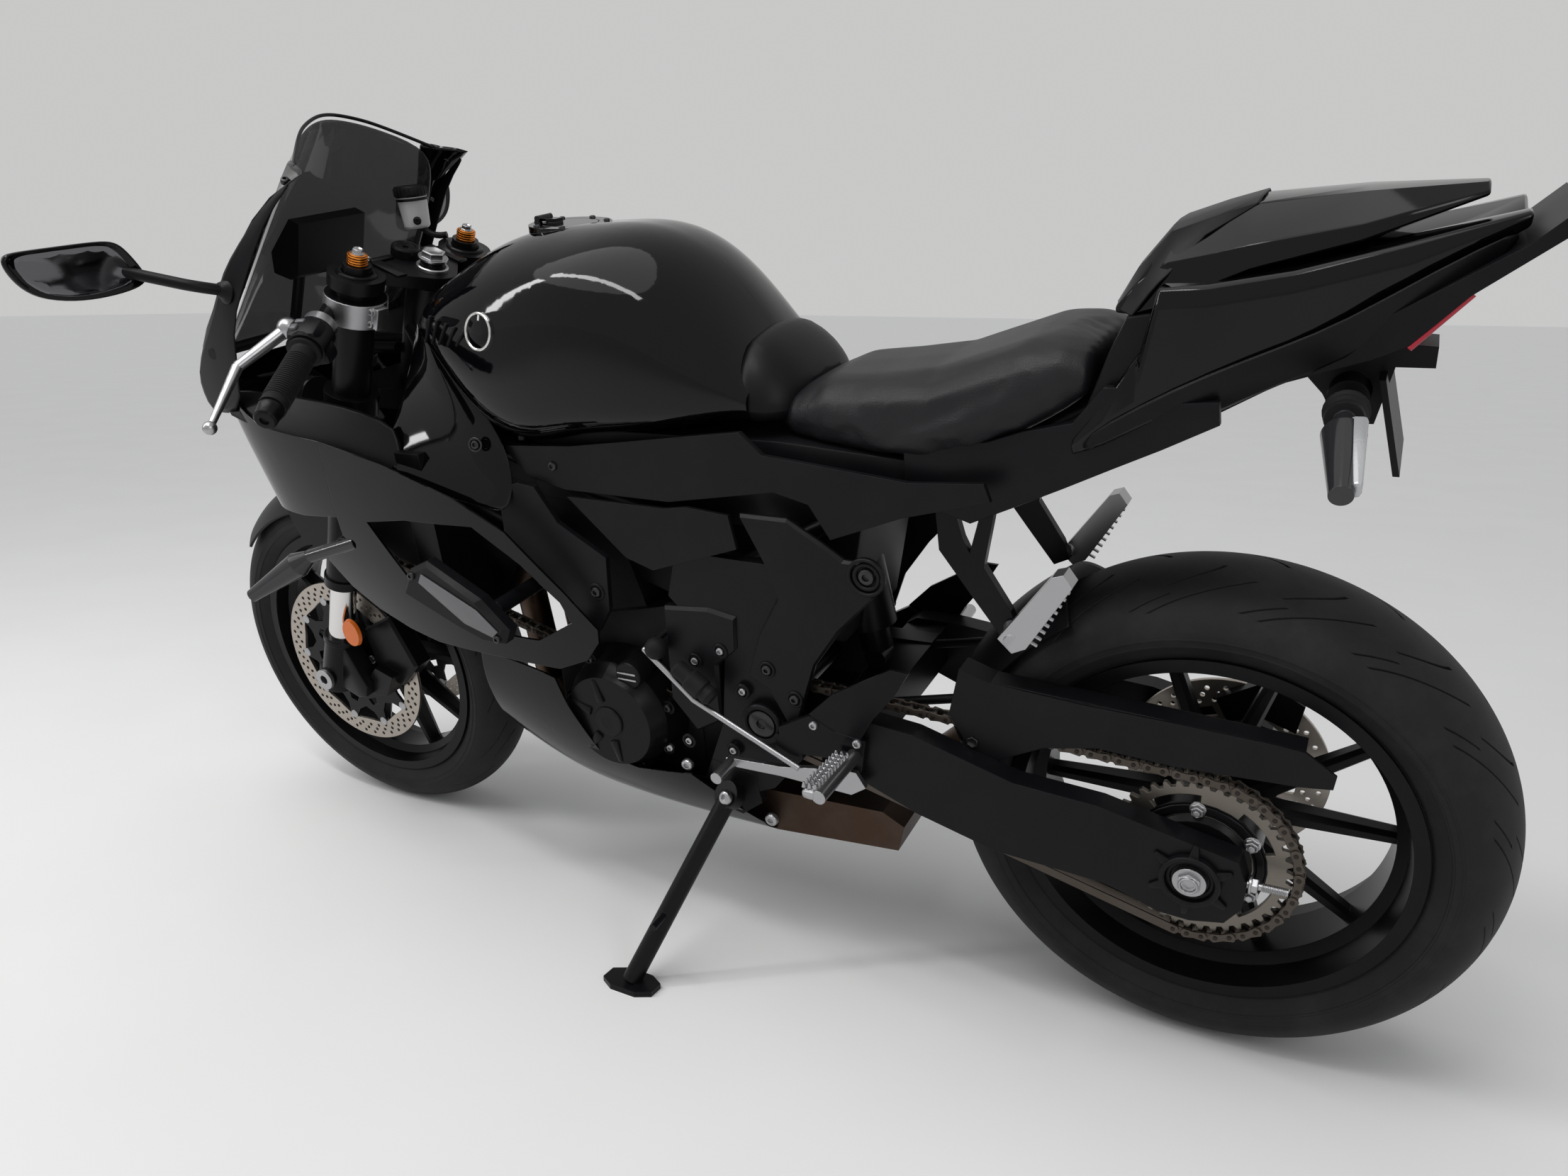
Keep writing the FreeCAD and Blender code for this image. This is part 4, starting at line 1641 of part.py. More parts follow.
def rear_caliper():
    y = -REAR_DISC_SIDE - REAR_CALIPER_WIDTH / 2
    points = [REAR_AXLE + V(x * SPAN, y, z * RISE) for x, z in REAR_CALIPER_SHARES]
    body = prism(points, V(0, REAR_CALIPER_WIDTH, 0))
    slot = ring(REAR_DISC_RADIUS + TOUCH_GAP * 4, AXLE_RADIUS, BRAKE_DISC_THICKNESS + TOUCH_GAP * 8, -REAR_DISC_SIDE)
    slot.translate(REAR_AXLE)
    bracket_share = [(-0.030, 0.080), (0.030, 0.090), (0.055, 0.030), (0.020, -0.020), (-0.020, -0.018), (-0.030, 0.030)]
    outer = -REAR_DISC_SIDE - REAR_CALIPER_WIDTH / 2
    bracket = prism([REAR_AXLE + V(x * SPAN, outer - PANEL_THICKNESS * 2, z * RISE) for x, z in bracket_share], V(0, PANEL_THICKNESS * 3, 0))
    hole = rod(REAR_AXLE - V(0, BREADTH, 0), REAR_AXLE, AXLE_RADIUS + TOUCH_GAP)
    return fused([body.cut(slot), bracket]).cut(hole)


# Foot brackets, pegs, controls and the side stand
BRACKET_INNER = 157.0
BRACKET_OUTER = 166.0
HEEL_PLATE_SHARES = [(0.455, 0.438), (0.421, 0.472), (0.343, 0.519), (0.320, 0.518), (0.341, 0.483), (0.369, 0.447), (0.394, 0.403), (0.421, 0.404)]
REARSET_SHARES = [(0.500, 0.410), (0.455, 0.436), (0.421, 0.420), (0.380, 0.414), (0.388, 0.368), (0.410, 0.372), (0.430, 0.380), (0.500, 0.374)]
REARSET_SPACER_SHARES = [(0.506, 0.399), (0.474, 0.399), (0.474, 0.372), (0.506, 0.370)]
HANGER_INNER = 101.0
HANGER_OUTER = 113.0
HANGER_SHARES = [(0.302, 0.722), (0.284, 0.726), (0.270, 0.672), (0.262, 0.655), (0.242, 0.729), (0.228, 0.733), (0.246, 0.640), (0.215, 0.590), (0.206, 0.566), (0.226, 0.556), (0.262, 0.605), (0.298, 0.655)]
PEG_ROOT_SHARE = (0.396, 0.1595, 0.392)
PEG_TIP_SHARE = (0.398, 0.262, 0.392)
PEG_RADIUS = 9.0
PEG_LENGTH_WIDTH = 24.0
PASSENGER_PEG_SHARES = [(0.222, 0.568), (0.206, 0.552), (0.190, 0.560), (0.140, 0.640), (0.150, 0.654), (0.162, 0.650)]
PASSENGER_PEG_INNER = 116.0
PASSENGER_PEG_OUTER = 140.0
SHIFT_PIVOT_SHARE = (0.396, 0.350)
SHIFT_LEVER_SHARES = [(0.380, 0.352), (0.392, 0.372), (0.410, 0.372), (0.500, 0.356), (0.580, 0.352), (0.580, 0.340), (0.500, 0.342), (0.400, 0.338)]
SHIFT_INNER = 166.6
SHIFT_OUTER = 174.0
SHIFT_PEG_SHARE = (0.572, 0.346)
SHIFT_PEG_LENGTH = 40.0
SHIFT_PEG_RADIUS = 8.0
SHIFT_ROD_SHARES = [(0.470, 0.176, 0.362), (0.620, 0.172, 0.430), (0.690, 0.168, 0.490), (0.690, 0.1003, 0.490)]
SHIFT_ROD_RADIUS = 4.0
STAND_PIVOT_SHARE = (0.590, 0.162, 0.282)
STAND_FOOT_SHARE = (0.675, 0.325)
STAND_UP_SHARE = (-0.985, 0.105, 0.145)
STAND_LEG_RADIUS = 13.0
STAND_BOSS_RADIUS = 19.0
STAND_BOSS_HALF_WIDTH = 9.0
STAND_FOOT_LENGTH = 78.0
STAND_FOOT_WIDTH = 44.0
STAND_FOOT_THICKNESS = 8.0
STAND_PEG_SHARE = 0.62
STAND_PEG_LENGTH = 26.0
STAND_PEG_RADIUS = 5.0


def rearset(side_shape):
    return both_sides(side_shape)


def foot_brackets():
    """Rearset plates with their heel guards, and the hangers of the passenger's pegs."""
    plate = side_plate(REARSET_SHARES, BRACKET_INNER, BRACKET_OUTER)
    heel = side_plate(HEEL_PLATE_SHARES, BRACKET_INNER + PANEL_THICKNESS, BRACKET_OUTER - PANEL_THICKNESS / 4)
    spacer = side_plate(REARSET_SPACER_SHARES, PIVOT_PLATE_OUTER + TOUCH_GAP, BRACKET_OUTER)
    hanger = side_plate(HANGER_SHARES, HANGER_INNER, HANGER_OUTER)
    return fused([plate, heel, spacer]), hanger


def rider_peg():
    return rod(grid(PEG_ROOT_SHARE), grid(PEG_TIP_SHARE), PEG_RADIUS)


def passenger_peg():
    peg = side_plate(PASSENGER_PEG_SHARES, PASSENGER_PEG_INNER, PASSENGER_PEG_OUTER)
    pin = rod(grid_flat((0.214, 0.572), HANGER_OUTER + TOUCH_GAP), grid_flat((0.206, 0.566), PASSENGER_PEG_OUTER), PEG_RADIUS)
    return fused([peg, pin])


def shift_lever():
    plate = side_plate(SHIFT_LEVER_SHARES, SHIFT_INNER, SHIFT_OUTER)
    toe = grid_flat(SHIFT_PEG_SHARE, SHIFT_OUTER)
    peg = rod(toe, toe + V(0, SHIFT_PEG_LENGTH, 0), SHIFT_PEG_RADIUS)
    link = run([grid(s) for s in SHIFT_ROD_SHARES], SHIFT_ROD_RADIUS)
    return fused([plate, peg, link])


def brake_pedal():
    plate = mirrored(side_plate(SHIFT_LEVER_SHARES, SHIFT_INNER, SHIFT_OUTER))
    toe = grid_flat(SHIFT_PEG_SHARE, -SHIFT_OUTER)
    peg = rod(toe, toe - V(0, SHIFT_PEG_LENGTH, 0), SHIFT_PEG_RADIUS)
    return fused([plate, peg])


def ground_height(y):
    """Height of the floor under the leaning machine, at a side distance y."""
    lean = math.radians(LEAN_ANGLE)
    return (y * math.sin(lean) - rear_lift()) / math.cos(lean)


def stand_foot_point():
    y = STAND_FOOT_SHARE[1] * BREADTH
    return V(STAND_FOOT_SHARE[0] * SPAN, y, ground_height(y))


def stand_pivot():
    return grid(STAND_PIVOT_SHARE)


def stand_axis():
    """The stand folds from its splayed place to straight back along the machine."""
    down = (stand_foot_point() - stand_pivot()).normalize()
    up = V(*STAND_UP_SHARE).normalize()
    return down.cross(up).normalize()


def stand_leg():
    pivot, foot, axis = stand_pivot(), stand_foot_point(), stand_axis()
    lean = ROTATION(X_AXIS, LEAN_ANGLE)
    lift = lean.multVec(V(0, 0, STAND_FOOT_THICKNESS))
    ankle = foot + lift
    boss = rod(pivot - axis * STAND_BOSS_HALF_WIDTH, pivot + axis * STAND_BOSS_HALF_WIDTH, STAND_BOSS_RADIUS)
    leg = rod(pivot, ankle, STAND_LEG_RADIUS)
    half_l, half_w = STAND_FOOT_LENGTH / 2, STAND_FOOT_WIDTH / 2
    corners = [V(-half_l, -half_w / 2, 0), V(-half_l / 2, -half_w, 0), (V(half_l / 2, -half_w, 0))]
    corners += [V(half_l, -half_w / 2, 0)]
    corners += [V(-p.x, -p.y, 0) for p in corners]
    pad = prism([foot + lean.multVec(c) for c in corners], lift)
    knee = pivot + (ankle - pivot) * STAND_PEG_SHARE
    peg = rod(knee, knee + V(0, STAND_LEG_RADIUS + STAND_PEG_LENGTH, 0), STAND_PEG_RADIUS)
    below = prism([foot + lean.multVec(c * 2) for c in corners], lift * (-4))
    bore = rod(pivot - axis * STAND_PIN_ROOT, pivot + axis * STAND_PIN_ROOT, STAND_PIN_RADIUS + BEARING_GAP)
    return fused([boss, leg, pad, peg]).cut(below).cut(bore)


# How the machine stands on the floor
def tyre_lift(radius, half_width, depth):
    """How far a leaning tyre must rise so that its crown just meets the floor."""
    lean = math.radians(LEAN_ANGLE)
    bulge = math.hypot(half_width * math.sin(lean), depth * math.cos(lean))
    return (radius - depth) * math.cos(lean) + bulge - radius * math.cos(lean)


def front_lift():
    return tyre_lift(FRONT_TYRE_RADIUS, FRONT_TYRE_HALF_WIDTH, FRONT_CROWN_DEPTH)


def rear_lift():
    return tyre_lift(REAR_TYRE_RADIUS, REAR_TYRE_HALF_WIDTH, REAR_CROWN_DEPTH)


def leaning_place():
    """Lean to the left, then a very small pitch so that both tyres meet the floor."""
    pitch = math.degrees(math.asin((rear_lift() - front_lift()) / WHEELBASE))
    lean = PLACE(V(0, 0, 0), ROTATION(X_AXIS, -LEAN_ANGLE))
    return PLACE(V(0, 0, rear_lift()), ROTATION(Y_AXIS, pitch)).multiply(lean)


def parking_place(nodes):
    """The leaning place, shifted so that the machine's box stands over the origin."""
    whole = Part.makeCompound(list(nodes.values()))
    whole.Placement = leaning_place().multiply(whole.Placement)
    box = whole.optimalBoundingBox(True, False)
    shift = PLACE(V(-(box.XMin + box.XMax) / 2, -(box.YMin + box.YMax) / 2, 0), ROTATION())
    return shift.multiply(leaning_place())


def parked(shape, place):
    moved = shape.copy()
    moved.Placement = place.multiply(moved.Placement)
    return moved


def make_chassis():
    made["frame"] = frame()
    generator, clutch, sprocket_cover = engine_covers()
    made["engine_block"] = engine_block().cut(made["frame"])
    made["engine_covers"] = Part.makeCompound([generator, clutch])
    made["sprocket_cover"] = sprocket_cover.cut(made["frame"])
    made["radiator"] = radiator().cut(made["frame"])
    made["exhaust"] = exhaust().cut(made["engine_block"]).cut(made["radiator"])
    made["fuel_tank"] = tank().cut(made["frame"])
    made["fuel_cap_lid"] = tank_lid()
    made["seat"] = seat().cut(made["frame"]).cut(made["fuel_tank"])
    made["seat_cowl"] = cowl()
    made["tail_fairing"] = tail_panels().cut(made["seat_cowl"]).cut(made["frame"]).cut(made["seat"])
    made["tail_underside"] = undertail().cut(made["tail_fairing"]).cut(made["frame"])
    made["tail_lamp"] = tail_lamp()
    made["plate_bracket"] = plate_bracket().cut(made["tail_underside"])
    rear_lamp = indicator(grid(INDICATOR_TOP_SHARE), grid(INDICATOR_ROOT_SHARE), grid(INDICATOR_TIP_SHARE))
    front_lamp = indicator(
        grid(FRONT_INDICATOR_ROOT_SHARE), grid(FRONT_INDICATOR_NECK_SHARE), grid(FRONT_INDICATOR_TIP_SHARE),
    )
    shell = fairing_shell()
    made["nose_fairing"] = nose(shell)
    made["side_fairing_left"] = side_panel(shell, LEFT)
    made["side_fairing_right"] = side_panel(shell, RIGHT)
    lamps = Part.makeCompound([both_sides(rear_lamp), both_sides(front_lamp)])
    made["indicators"] = lamps.cut(made["plate_bracket"]).cut(Part.makeCompound([made["side_fairing_left"], made["side_fairing_right"]]))
    made["windscreen"] = screen()
    braces = Part.makeCompound([brace_panel(s) for s in SIDES])
    made["screen_braces"] = braces.cut(made["nose_fairing"]).cut(made["windscreen"])
    fairing_edges = Part.makeCompound([made["screen_braces"], made["windscreen"]])
    made["instrument_panel"] = instrument_panel().cut(made["frame"]).cut(fairing_edges)
    made["headlamp"] = headlamp(shell).cut(made["nose_fairing"])
    mirror_pair = [mirror_unit(), mirrored(mirror_unit())]
    made["mirrors"] = Part.makeCompound([largest(m.cut(made["screen_braces"])) for m in mirror_pair])
    covers = both_sides(frame_covers())
    inner = both_sides(inner_panel()).cut(made["frame"])
    made["frame_covers"] = covers
    made["inner_side_panels"] = inner.cut(made["side_fairing_left"]).cut(made["side_fairing_right"])
    upper = both_sides(side_plate(TANK_COVER_SHARES, TANK_COVER_INNER, TANK_COVER_OUTER))
    made["tank_covers"] = upper.cut(made["fuel_tank"]).cut(made["seat"]).cut(made["frame"])
    airbox = both_sides(side_plate(AIRBOX_COVER_SHARES, AIRBOX_COVER_INNER, AIRBOX_COVER_OUTER))
    made["airbox_covers"] = airbox.cut(made["frame_covers"])
    engine = Part.makeCompound([made["engine_block"], made["engine_covers"], made["exhaust"]])
    made["belly_pan"] = belly_pan().cut(engine).cut(made["frame"])
    made["crash_sliders"] = both_sides(slider()).cut(made["frame"]).cut(engine)
    made["swingarm"] = swingarm().cut(made["frame"])
    made["chain_guard"] = chain_guard().cut(made["swingarm"])
    made["shock"] = shock().cut(made["swingarm"]).cut(made["frame"])
    made["hugger"] = hugger().cut(made["shock"]).cut(made["swingarm"])
    made["rear_caliper"] = rear_caliper()
    made["rear_axle"] = hollow_axle(REAR_AXLE, ARM_OUTER + TOUCH_GAP, ARM_OUTER + TOUCH_GAP)
    bracket, hanger = foot_brackets()
    made["foot_brackets"] = Part.makeCompound([both_sides(bracket), both_sides(hanger)]).cut(made["frame"])
    pegs = Part.makeCompound([both_sides(rider_peg()), both_sides(passenger_peg())])
    made["foot_pegs"] = pegs.cut(made["foot_brackets"])
    made["foot_controls"] = Part.makeCompound([shift_lever(), brake_pedal()])
    made["side_stand_leg"] = stand_leg()


def build():
    make_front_wheel()
    make_rear_wheel()
    make_steering()
    make_chassis()
    place = parking_place(made)
    os.makedirs("parts", exist_ok=True)
    for name, shape in made.items():
        solid = parked(shape, place)
        solid.exportStep("parts/" + name + ".step")
    return place


PARKED = build()
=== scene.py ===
"""A sport motorcycle on its side stand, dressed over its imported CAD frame."""

import json
import math

import bmesh
import bpy
from mathutils import Matrix, Vector
from mathutils.bvhtree import BVHTree


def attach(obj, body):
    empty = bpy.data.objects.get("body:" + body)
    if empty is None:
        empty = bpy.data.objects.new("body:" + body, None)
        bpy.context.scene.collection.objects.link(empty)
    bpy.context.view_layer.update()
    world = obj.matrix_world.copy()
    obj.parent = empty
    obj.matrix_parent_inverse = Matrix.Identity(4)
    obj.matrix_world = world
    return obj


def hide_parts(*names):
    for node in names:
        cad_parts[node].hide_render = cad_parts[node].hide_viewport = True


bl_info = {
    "name": "Parked Sport Motorcycle",
    "version": (1, 0, 0),
    "blender": (4, 5, 0),
    "location": "View3D > Sidebar > Motorcycle",
    "description": "Builds the visible pieces and finishes of a parked sport motorcycle",
    "category": "Object",
}

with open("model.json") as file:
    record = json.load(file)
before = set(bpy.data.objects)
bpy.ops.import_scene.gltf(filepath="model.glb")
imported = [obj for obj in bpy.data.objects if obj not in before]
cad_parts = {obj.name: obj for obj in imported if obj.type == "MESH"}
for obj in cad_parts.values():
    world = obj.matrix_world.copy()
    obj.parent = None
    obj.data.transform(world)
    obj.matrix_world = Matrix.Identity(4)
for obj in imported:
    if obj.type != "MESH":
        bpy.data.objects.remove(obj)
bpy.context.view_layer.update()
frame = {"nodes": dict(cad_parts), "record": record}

# The machine frame: metres, X forward from the rear axle, Y to the left, Z up, upright.
# Pieces are drawn there and then leaned onto the side stand with PARKED.
WHEELBASE = 1.395
REAR_TYRE_RADIUS = 0.315
FRONT_TYRE_RADIUS = 0.3
LEAN = math.radians(11.0)
PITCH = math.radians(0.044253)
PARKED_AT = Vector((-0.690233, -0.196152, 0.002506))
PARKED = Matrix.Translation(PARKED_AT) @ Matrix.Rotation(PITCH, 4, "Y") @ Matrix.Rotation(-LEAN, 4, "X")
REAR_AXLE = Vector((0, 0, REAR_TYRE_RADIUS))
FRONT_AXLE = Vector((WHEELBASE, 0, FRONT_TYRE_RADIUS))
RAKE = math.radians(22.0)
FORK_HALF = 0.106
FORK = Matrix.Translation(FRONT_AXLE) @ Matrix.Rotation(-RAKE, 4, "Y")
LEFT, RIGHT = 1, -1
# How far out to the side a ray starts that looks for the machine's flank.
BESIDE = 0.5


# Materials

def new_material(name):
    """A material with its nodes and links."""
    material = bpy.data.materials.new(name)
    material.use_nodes = True
    return material, material.node_tree.nodes, material.node_tree.links


def group_with(name, inputs, outputs):
    """A node group with float or colour sockets, and its input and output nodes."""
    group = bpy.data.node_groups.new(name, "ShaderNodeTree")
    for label, kind, default in inputs:
        socket = group.interface.new_socket(label, in_out="INPUT", socket_type=kind)
        if default is not None:
            socket.default_value = default
    for label, kind in outputs:
        group.interface.new_socket(label, in_out="OUTPUT", socket_type=kind)
    return group, group.nodes.new("NodeGroupInput"), group.nodes.new("NodeGroupOutput")


def noise_into(nodes, links, coordinates, scale, detail=4.0, roughness=0.5):
    """A noise texture on those coordinates."""
    noise = nodes.new("ShaderNodeTexNoise")
    noise.inputs["Scale"].default_value = scale
    noise.inputs["Detail"].default_value = detail
    noise.inputs["Roughness"].default_value = roughness
    links.new(coordinates, noise.inputs["Vector"])
    return noise


def make_grain_group():
    """Fine moulded or cast grain: a normal and a small change of roughness."""
    group, start, end = group_with(
        "Surface grain",
        [
            ("Scale", "NodeSocketFloat", 900.0),
            ("Depth", "NodeSocketFloat", 0.15),
            ("Roughness", "NodeSocketFloat", 0.5),
            ("Variation", "NodeSocketFloat", 0.1),
            ("Edge radius", "NodeSocketFloat", 0.0012),
        ],
        [("Roughness", "NodeSocketFloat"), ("Normal", "NodeSocketVector")],
    )
    nodes, links = group.nodes, group.links
    coordinates = nodes.new("ShaderNodeTexCoord").outputs["Object"]
    fine = nodes.new("ShaderNodeTexNoise")
    fine.inputs["Detail"].default_value = 3.0
    links.new(coordinates, fine.inputs["Vector"])
    links.new(start.outputs["Scale"], fine.inputs["Scale"])
    broad = noise_into(nodes, links, coordinates, 9.0)
    rounded = nodes.new("ShaderNodeBevel")
    rounded.samples = 4
    links.new(start.outputs["Edge radius"], rounded.inputs["Radius"])
    bump = nodes.new("ShaderNodeBump")
    bump.inputs["Distance"].default_value = 0.0004
    links.new(rounded.outputs["Normal"], bump.inputs["Normal"])
    links.new(start.outputs["Depth"], bump.inputs["Strength"])
    links.new(fine.outputs["Fac"], bump.inputs["Height"])
    centred = nodes.new("ShaderNodeMath")
    centred.operation = "SUBTRACT"
    centred.inputs[1].default_value = 0.5
    links.new(broad.outputs["Fac"], centred.inputs[0])
    spread = nodes.new("ShaderNodeMath")
    spread.operation = "MULTIPLY_ADD"
    links.new(centred.outputs[0], spread.inputs[0])
    links.new(start.outputs["Variation"], spread.inputs[1])
    links.new(start.outputs["Roughness"], spread.inputs[2])
    links.new(spread.outputs[0], end.inputs["Roughness"])
    links.new(bump.outputs["Normal"], end.inputs["Normal"])
    return group


def make_dust_group():
    """A thin film of dust and dried spots: a lighter, rougher patchwork."""
    group, start, end = group_with(
        "Dust film",
        [
            ("Clean colour", "NodeSocketColor", (0.02, 0.02, 0.02, 1)),
            ("Dust colour", "NodeSocketColor", (0.16, 0.15, 0.14, 1)),
            ("Amount", "NodeSocketFloat", 0.15),
        ],
        [("Color", "NodeSocketColor")],
    )
    nodes, links = group.nodes, group.links
    coordinates = nodes.new("ShaderNodeTexCoord").outputs["Object"]
    clouds = noise_into(nodes, links, coordinates, 14.0, 8.0, 0.7)
    ramp = nodes.new("ShaderNodeMapRange")
    ramp.inputs["From Min"].default_value = 0.45
    ramp.inputs["From Max"].default_value = 0.8
    links.new(clouds.outputs["Fac"], ramp.inputs["Value"])
    amount = nodes.new("ShaderNodeMath")
    amount.operation = "MULTIPLY"
    links.new(ramp.outputs["Result"], amount.inputs[0])
    links.new(start.outputs["Amount"], amount.inputs[1])
    mix = nodes.new("ShaderNodeMix")
    mix.data_type = "RGBA"
    links.new(amount.outputs[0], mix.inputs["Factor"])
    links.new(start.outputs["Clean colour"], mix.inputs["A"])
    links.new(start.outputs["Dust colour"], mix.inputs["B"])
    links.new(mix.outputs["Result"], end.inputs["Color"])
    return group


def finished(name, colour, roughness, metallic=0.0, grain=(900.0, 0.15), variation=0.1, dust=0.1, **sockets):
    """A surface of one colour with grain (its scale and depth), uneven gloss and a little dust."""
    material, nodes, links = new_material(name)
    shader = nodes["Principled BSDF"]
    shader.inputs["Metallic"].default_value = metallic
    for socket, value in sockets.items():
        shader.inputs[socket.replace("_", " ")].default_value = value
    surface = nodes.new("ShaderNodeGroup")
    surface.node_tree = bpy.data.node_groups["Surface grain"]
    surface.inputs["Scale"].default_value = grain[0]
    surface.inputs["Depth"].default_value = grain[1]
    surface.inputs["Roughness"].default_value = roughness
    surface.inputs["Variation"].default_value = variation
    links.new(surface.outputs["Roughness"], shader.inputs["Roughness"])
    links.new(surface.outputs["Normal"], shader.inputs["Normal"])
    film = nodes.new("ShaderNodeGroup")
    film.node_tree = bpy.data.node_groups["Dust film"]
    film.inputs["Clean colour"].default_value = (*colour, 1)
    film.inputs["Amount"].default_value = dust
    links.new(film.outputs["Color"], shader.inputs["Base Color"])
    return material


# The black plastics, castings and rubbers shine less than plain plastic does.
LOW_SHINE = {"Specular_IOR_Level": 0.15}


def paint_finishes(colours):
    """Painted and plastic surfaces."""
    gloss, plastic = tuple(colours.gloss_paint), tuple(colours.plastic)
    return {
        "gloss_black": finished(
            "Gloss black paint", gloss, 0.05,
            grain=(260.0, 0.012), variation=0.02, dust=0.003, Specular_IOR_Level=0.26,
        ),
        "matt_black": finished(
            "Satin black plastic", plastic, 0.4, grain=(1500.0, 0.25), dust=0.02, **LOW_SHINE
        ),
        "frame_black": finished(
            "Satin black metal paint", (0.004, 0.004, 0.005), 0.34,
            grain=(1100.0, 0.2), dust=0.015, **LOW_SHINE
        ),
        "engine_black": finished(
            "Dark engine castings", (0.007, 0.007, 0.008), 0.42, 0.2,
            grain=(700.0, 0.5), dust=0.04, **LOW_SHINE
        ),
        "cast_black": finished(
            "Black alloy", (0.005, 0.005, 0.006), 0.3, 0.2, grain=(900.0, 0.2), dust=0.015, **LOW_SHINE
        ),
        "button_grey": finished("Grey buttons", (0.08, 0.08, 0.085), 0.4, grain=(900.0, 0.1), dust=0.02),
        # A grey strip that stands in for the highlight on the black crash pads: painted highlight.
        "pad_highlight": finished("Painted pad highlight", (0.14, 0.14, 0.145), 0.42, 0.4, grain=(1400.0, 0.5), dust=0.08),
    }


def soft_finishes():
    """Rubbers and the seat's cover."""
    return {
        "rubber": finished(
            "Black rubber", (0.008, 0.008, 0.008), 0.6, grain=(1800.0, 0.5), dust=0.03, **LOW_SHINE
        ),
        "tyre": finished(
            "Tyre rubber", (0.013, 0.013, 0.013), 0.6, grain=(1300.0, 0.5), dust=0.08, **LOW_SHINE
        ),
        "seat_cover": finished(
            "Grained seat cover", (0.006, 0.006, 0.0075), 0.44,
            grain=(620.0, 0.9), dust=0.012, Specular_IOR_Level=0.28,
        ),
    }


def metal_finishes(colours):
    """Bare metals: label, colour, roughness, metallic share, grain and dust."""
    adjuster = tuple(colours.adjusters)
    rows = [
        ("steel", "Ground steel", (0.4, 0.36, 0.32), 0.34, 1.0, (500.0, 0.1), 0.12),
        ("chrome", "Hard chrome", (0.72, 0.71, 0.7), 0.12, 1.0, (500.0, 0.02), 0.02),
        ("alloy", "Bright alloy", (0.4, 0.4, 0.41), 0.32, 1.0, (700.0, 0.1), 0.06),
        ("chain_steel", "Oiled chain steel", (0.085, 0.07, 0.058), 0.42, 0.85, (900.0, 0.2), 0.2),
        ("worn_steel", "Worn sprocket steel", (0.2, 0.18, 0.155), 0.4, 0.95, (800.0, 0.2), 0.2),
        ("heat_steel", "Heat-coloured steel", (0.06, 0.036, 0.024), 0.42, 0.9, (400.0, 0.2), 0.2),
        ("chain_rollers", "Dark chain rollers", (0.028, 0.024, 0.02), 0.42, 0.8, (900.0, 0.2), 0.1),
        ("dark_steel", "Blackened screws", (0.045, 0.045, 0.047), 0.32, 0.9, (900.0, 0.1), 0.03),
        ("brushed_alloy", "Brushed alloy", (0.36, 0.36, 0.37), 0.36, 1.0, (1400.0, 0.3), 0.05),
        ("orange_anodised", "Orange anodised alloy", adjuster, 0.3, 0.9, (900.0, 0.1), 0.0),
    ]
    return {
        name: finished(label, colour, roughness, metallic, grain=grain, dust=dust)
        for name, label, colour, roughness, metallic, grain, dust in rows
    }


def lens_finishes():
    """Lenses, glass and the fluid cup."""
    finishes = {
        "red_lens": finished("Red lens", (0.35, 0.005, 0.02), 0.12, grain=(300.0, 0.05), dust=0.0),
        "clear_lens": finished("Smoked lens", (0.02, 0.02, 0.022), 0.1, grain=(300.0, 0.05), dust=0.02),
        "amber_lens": finished("Amber reflector", (0.62, 0.13, 0.01), 0.15, grain=(600.0, 0.6), dust=0.0),
        "lamp_lens": finished(
            "Clear ribbed lens", (0.46, 0.47, 0.48), 0.16, 0.3, grain=(420.0, 0.6), dust=0.02
        ),
        "fluid_cup": finished(
            "Milky fluid cup", (0.62, 0.62, 0.62), 0.3,
            grain=(300.0, 0.1), dust=0.05, Transmission_Weight=0.25
        ),
        "mirror_glass": finished(
            "Mirror glass", (0.17, 0.17, 0.18), 0.05, 1.0, grain=(200.0, 0.01), variation=0.03, dust=0.02
        ),
        "smoke_screen": finished(
            "Smoked screen", (0.03, 0.03, 0.032), 0.05,
            grain=(200.0, 0.01), variation=0.03, dust=0.03, Alpha=0.8
        ),
    }
    finishes["smoke_screen"].surface_render_method = "DITHERED"
    return finishes


def make_finishes():
    """Every finish of the machine, by name."""
    make_grain_group()
    make_dust_group()
    colours = bpy.context.scene.motorcycle_colours
    return {**paint_finishes(colours), **soft_finishes(), **metal_finishes(colours), **lens_finishes()}


FINISH = {}


class MOTORCYCLE_OT_frame_finishes(bpy.types.Operator):
    """Give every CAD piece its finish"""
    bl_idname = "motorcycle.frame_finishes"
    bl_label = "Frame finishes"

    def execute(self, context):
        FINISH.update(make_finishes())
        slots = {part["node"]: part["material_slot"] for part in frame["record"]["subparts"]}
        slots["rear_sprocket"] = "worn_steel"
        for name, node in frame["nodes"].items():
            node.data.materials.clear()
            node.data.materials.append(FINISH[slots[name]])
        return {"FINISHED"}


# Making pieces

def drafts(count):
    """Empty meshes to draw pieces in."""
    return [bmesh.new() for _ in range(count)]


def joined(bm, part, matrix=None):
    """Finish a small closed shape, place it and add it to the piece being drawn."""
    bmesh.ops.remove_doubles(part, verts=part.verts, dist=0.000002)
    if matrix:
        bmesh.ops.transform(part, matrix=matrix, verts=part.verts)
    bmesh.ops.recalc_face_normals(part, faces=part.faces)
    mesh = bpy.data.meshes.new("shape")
    part.to_mesh(mesh)
    part.free()
    bm.from_mesh(mesh)
    bpy.data.meshes.remove(mesh)


def facing(at, axis):
    """A place whose Z looks along the axis."""
    return Matrix.Translation(at) @ Vector(axis).to_track_quat("Z", "Y").to_matrix().to_4x4()


def towards(along, up="Z"):
    """The turn that lays +X along a direction, as a 4x4 matrix."""
    return along.to_track_quat("X", up).to_matrix().to_4x4()


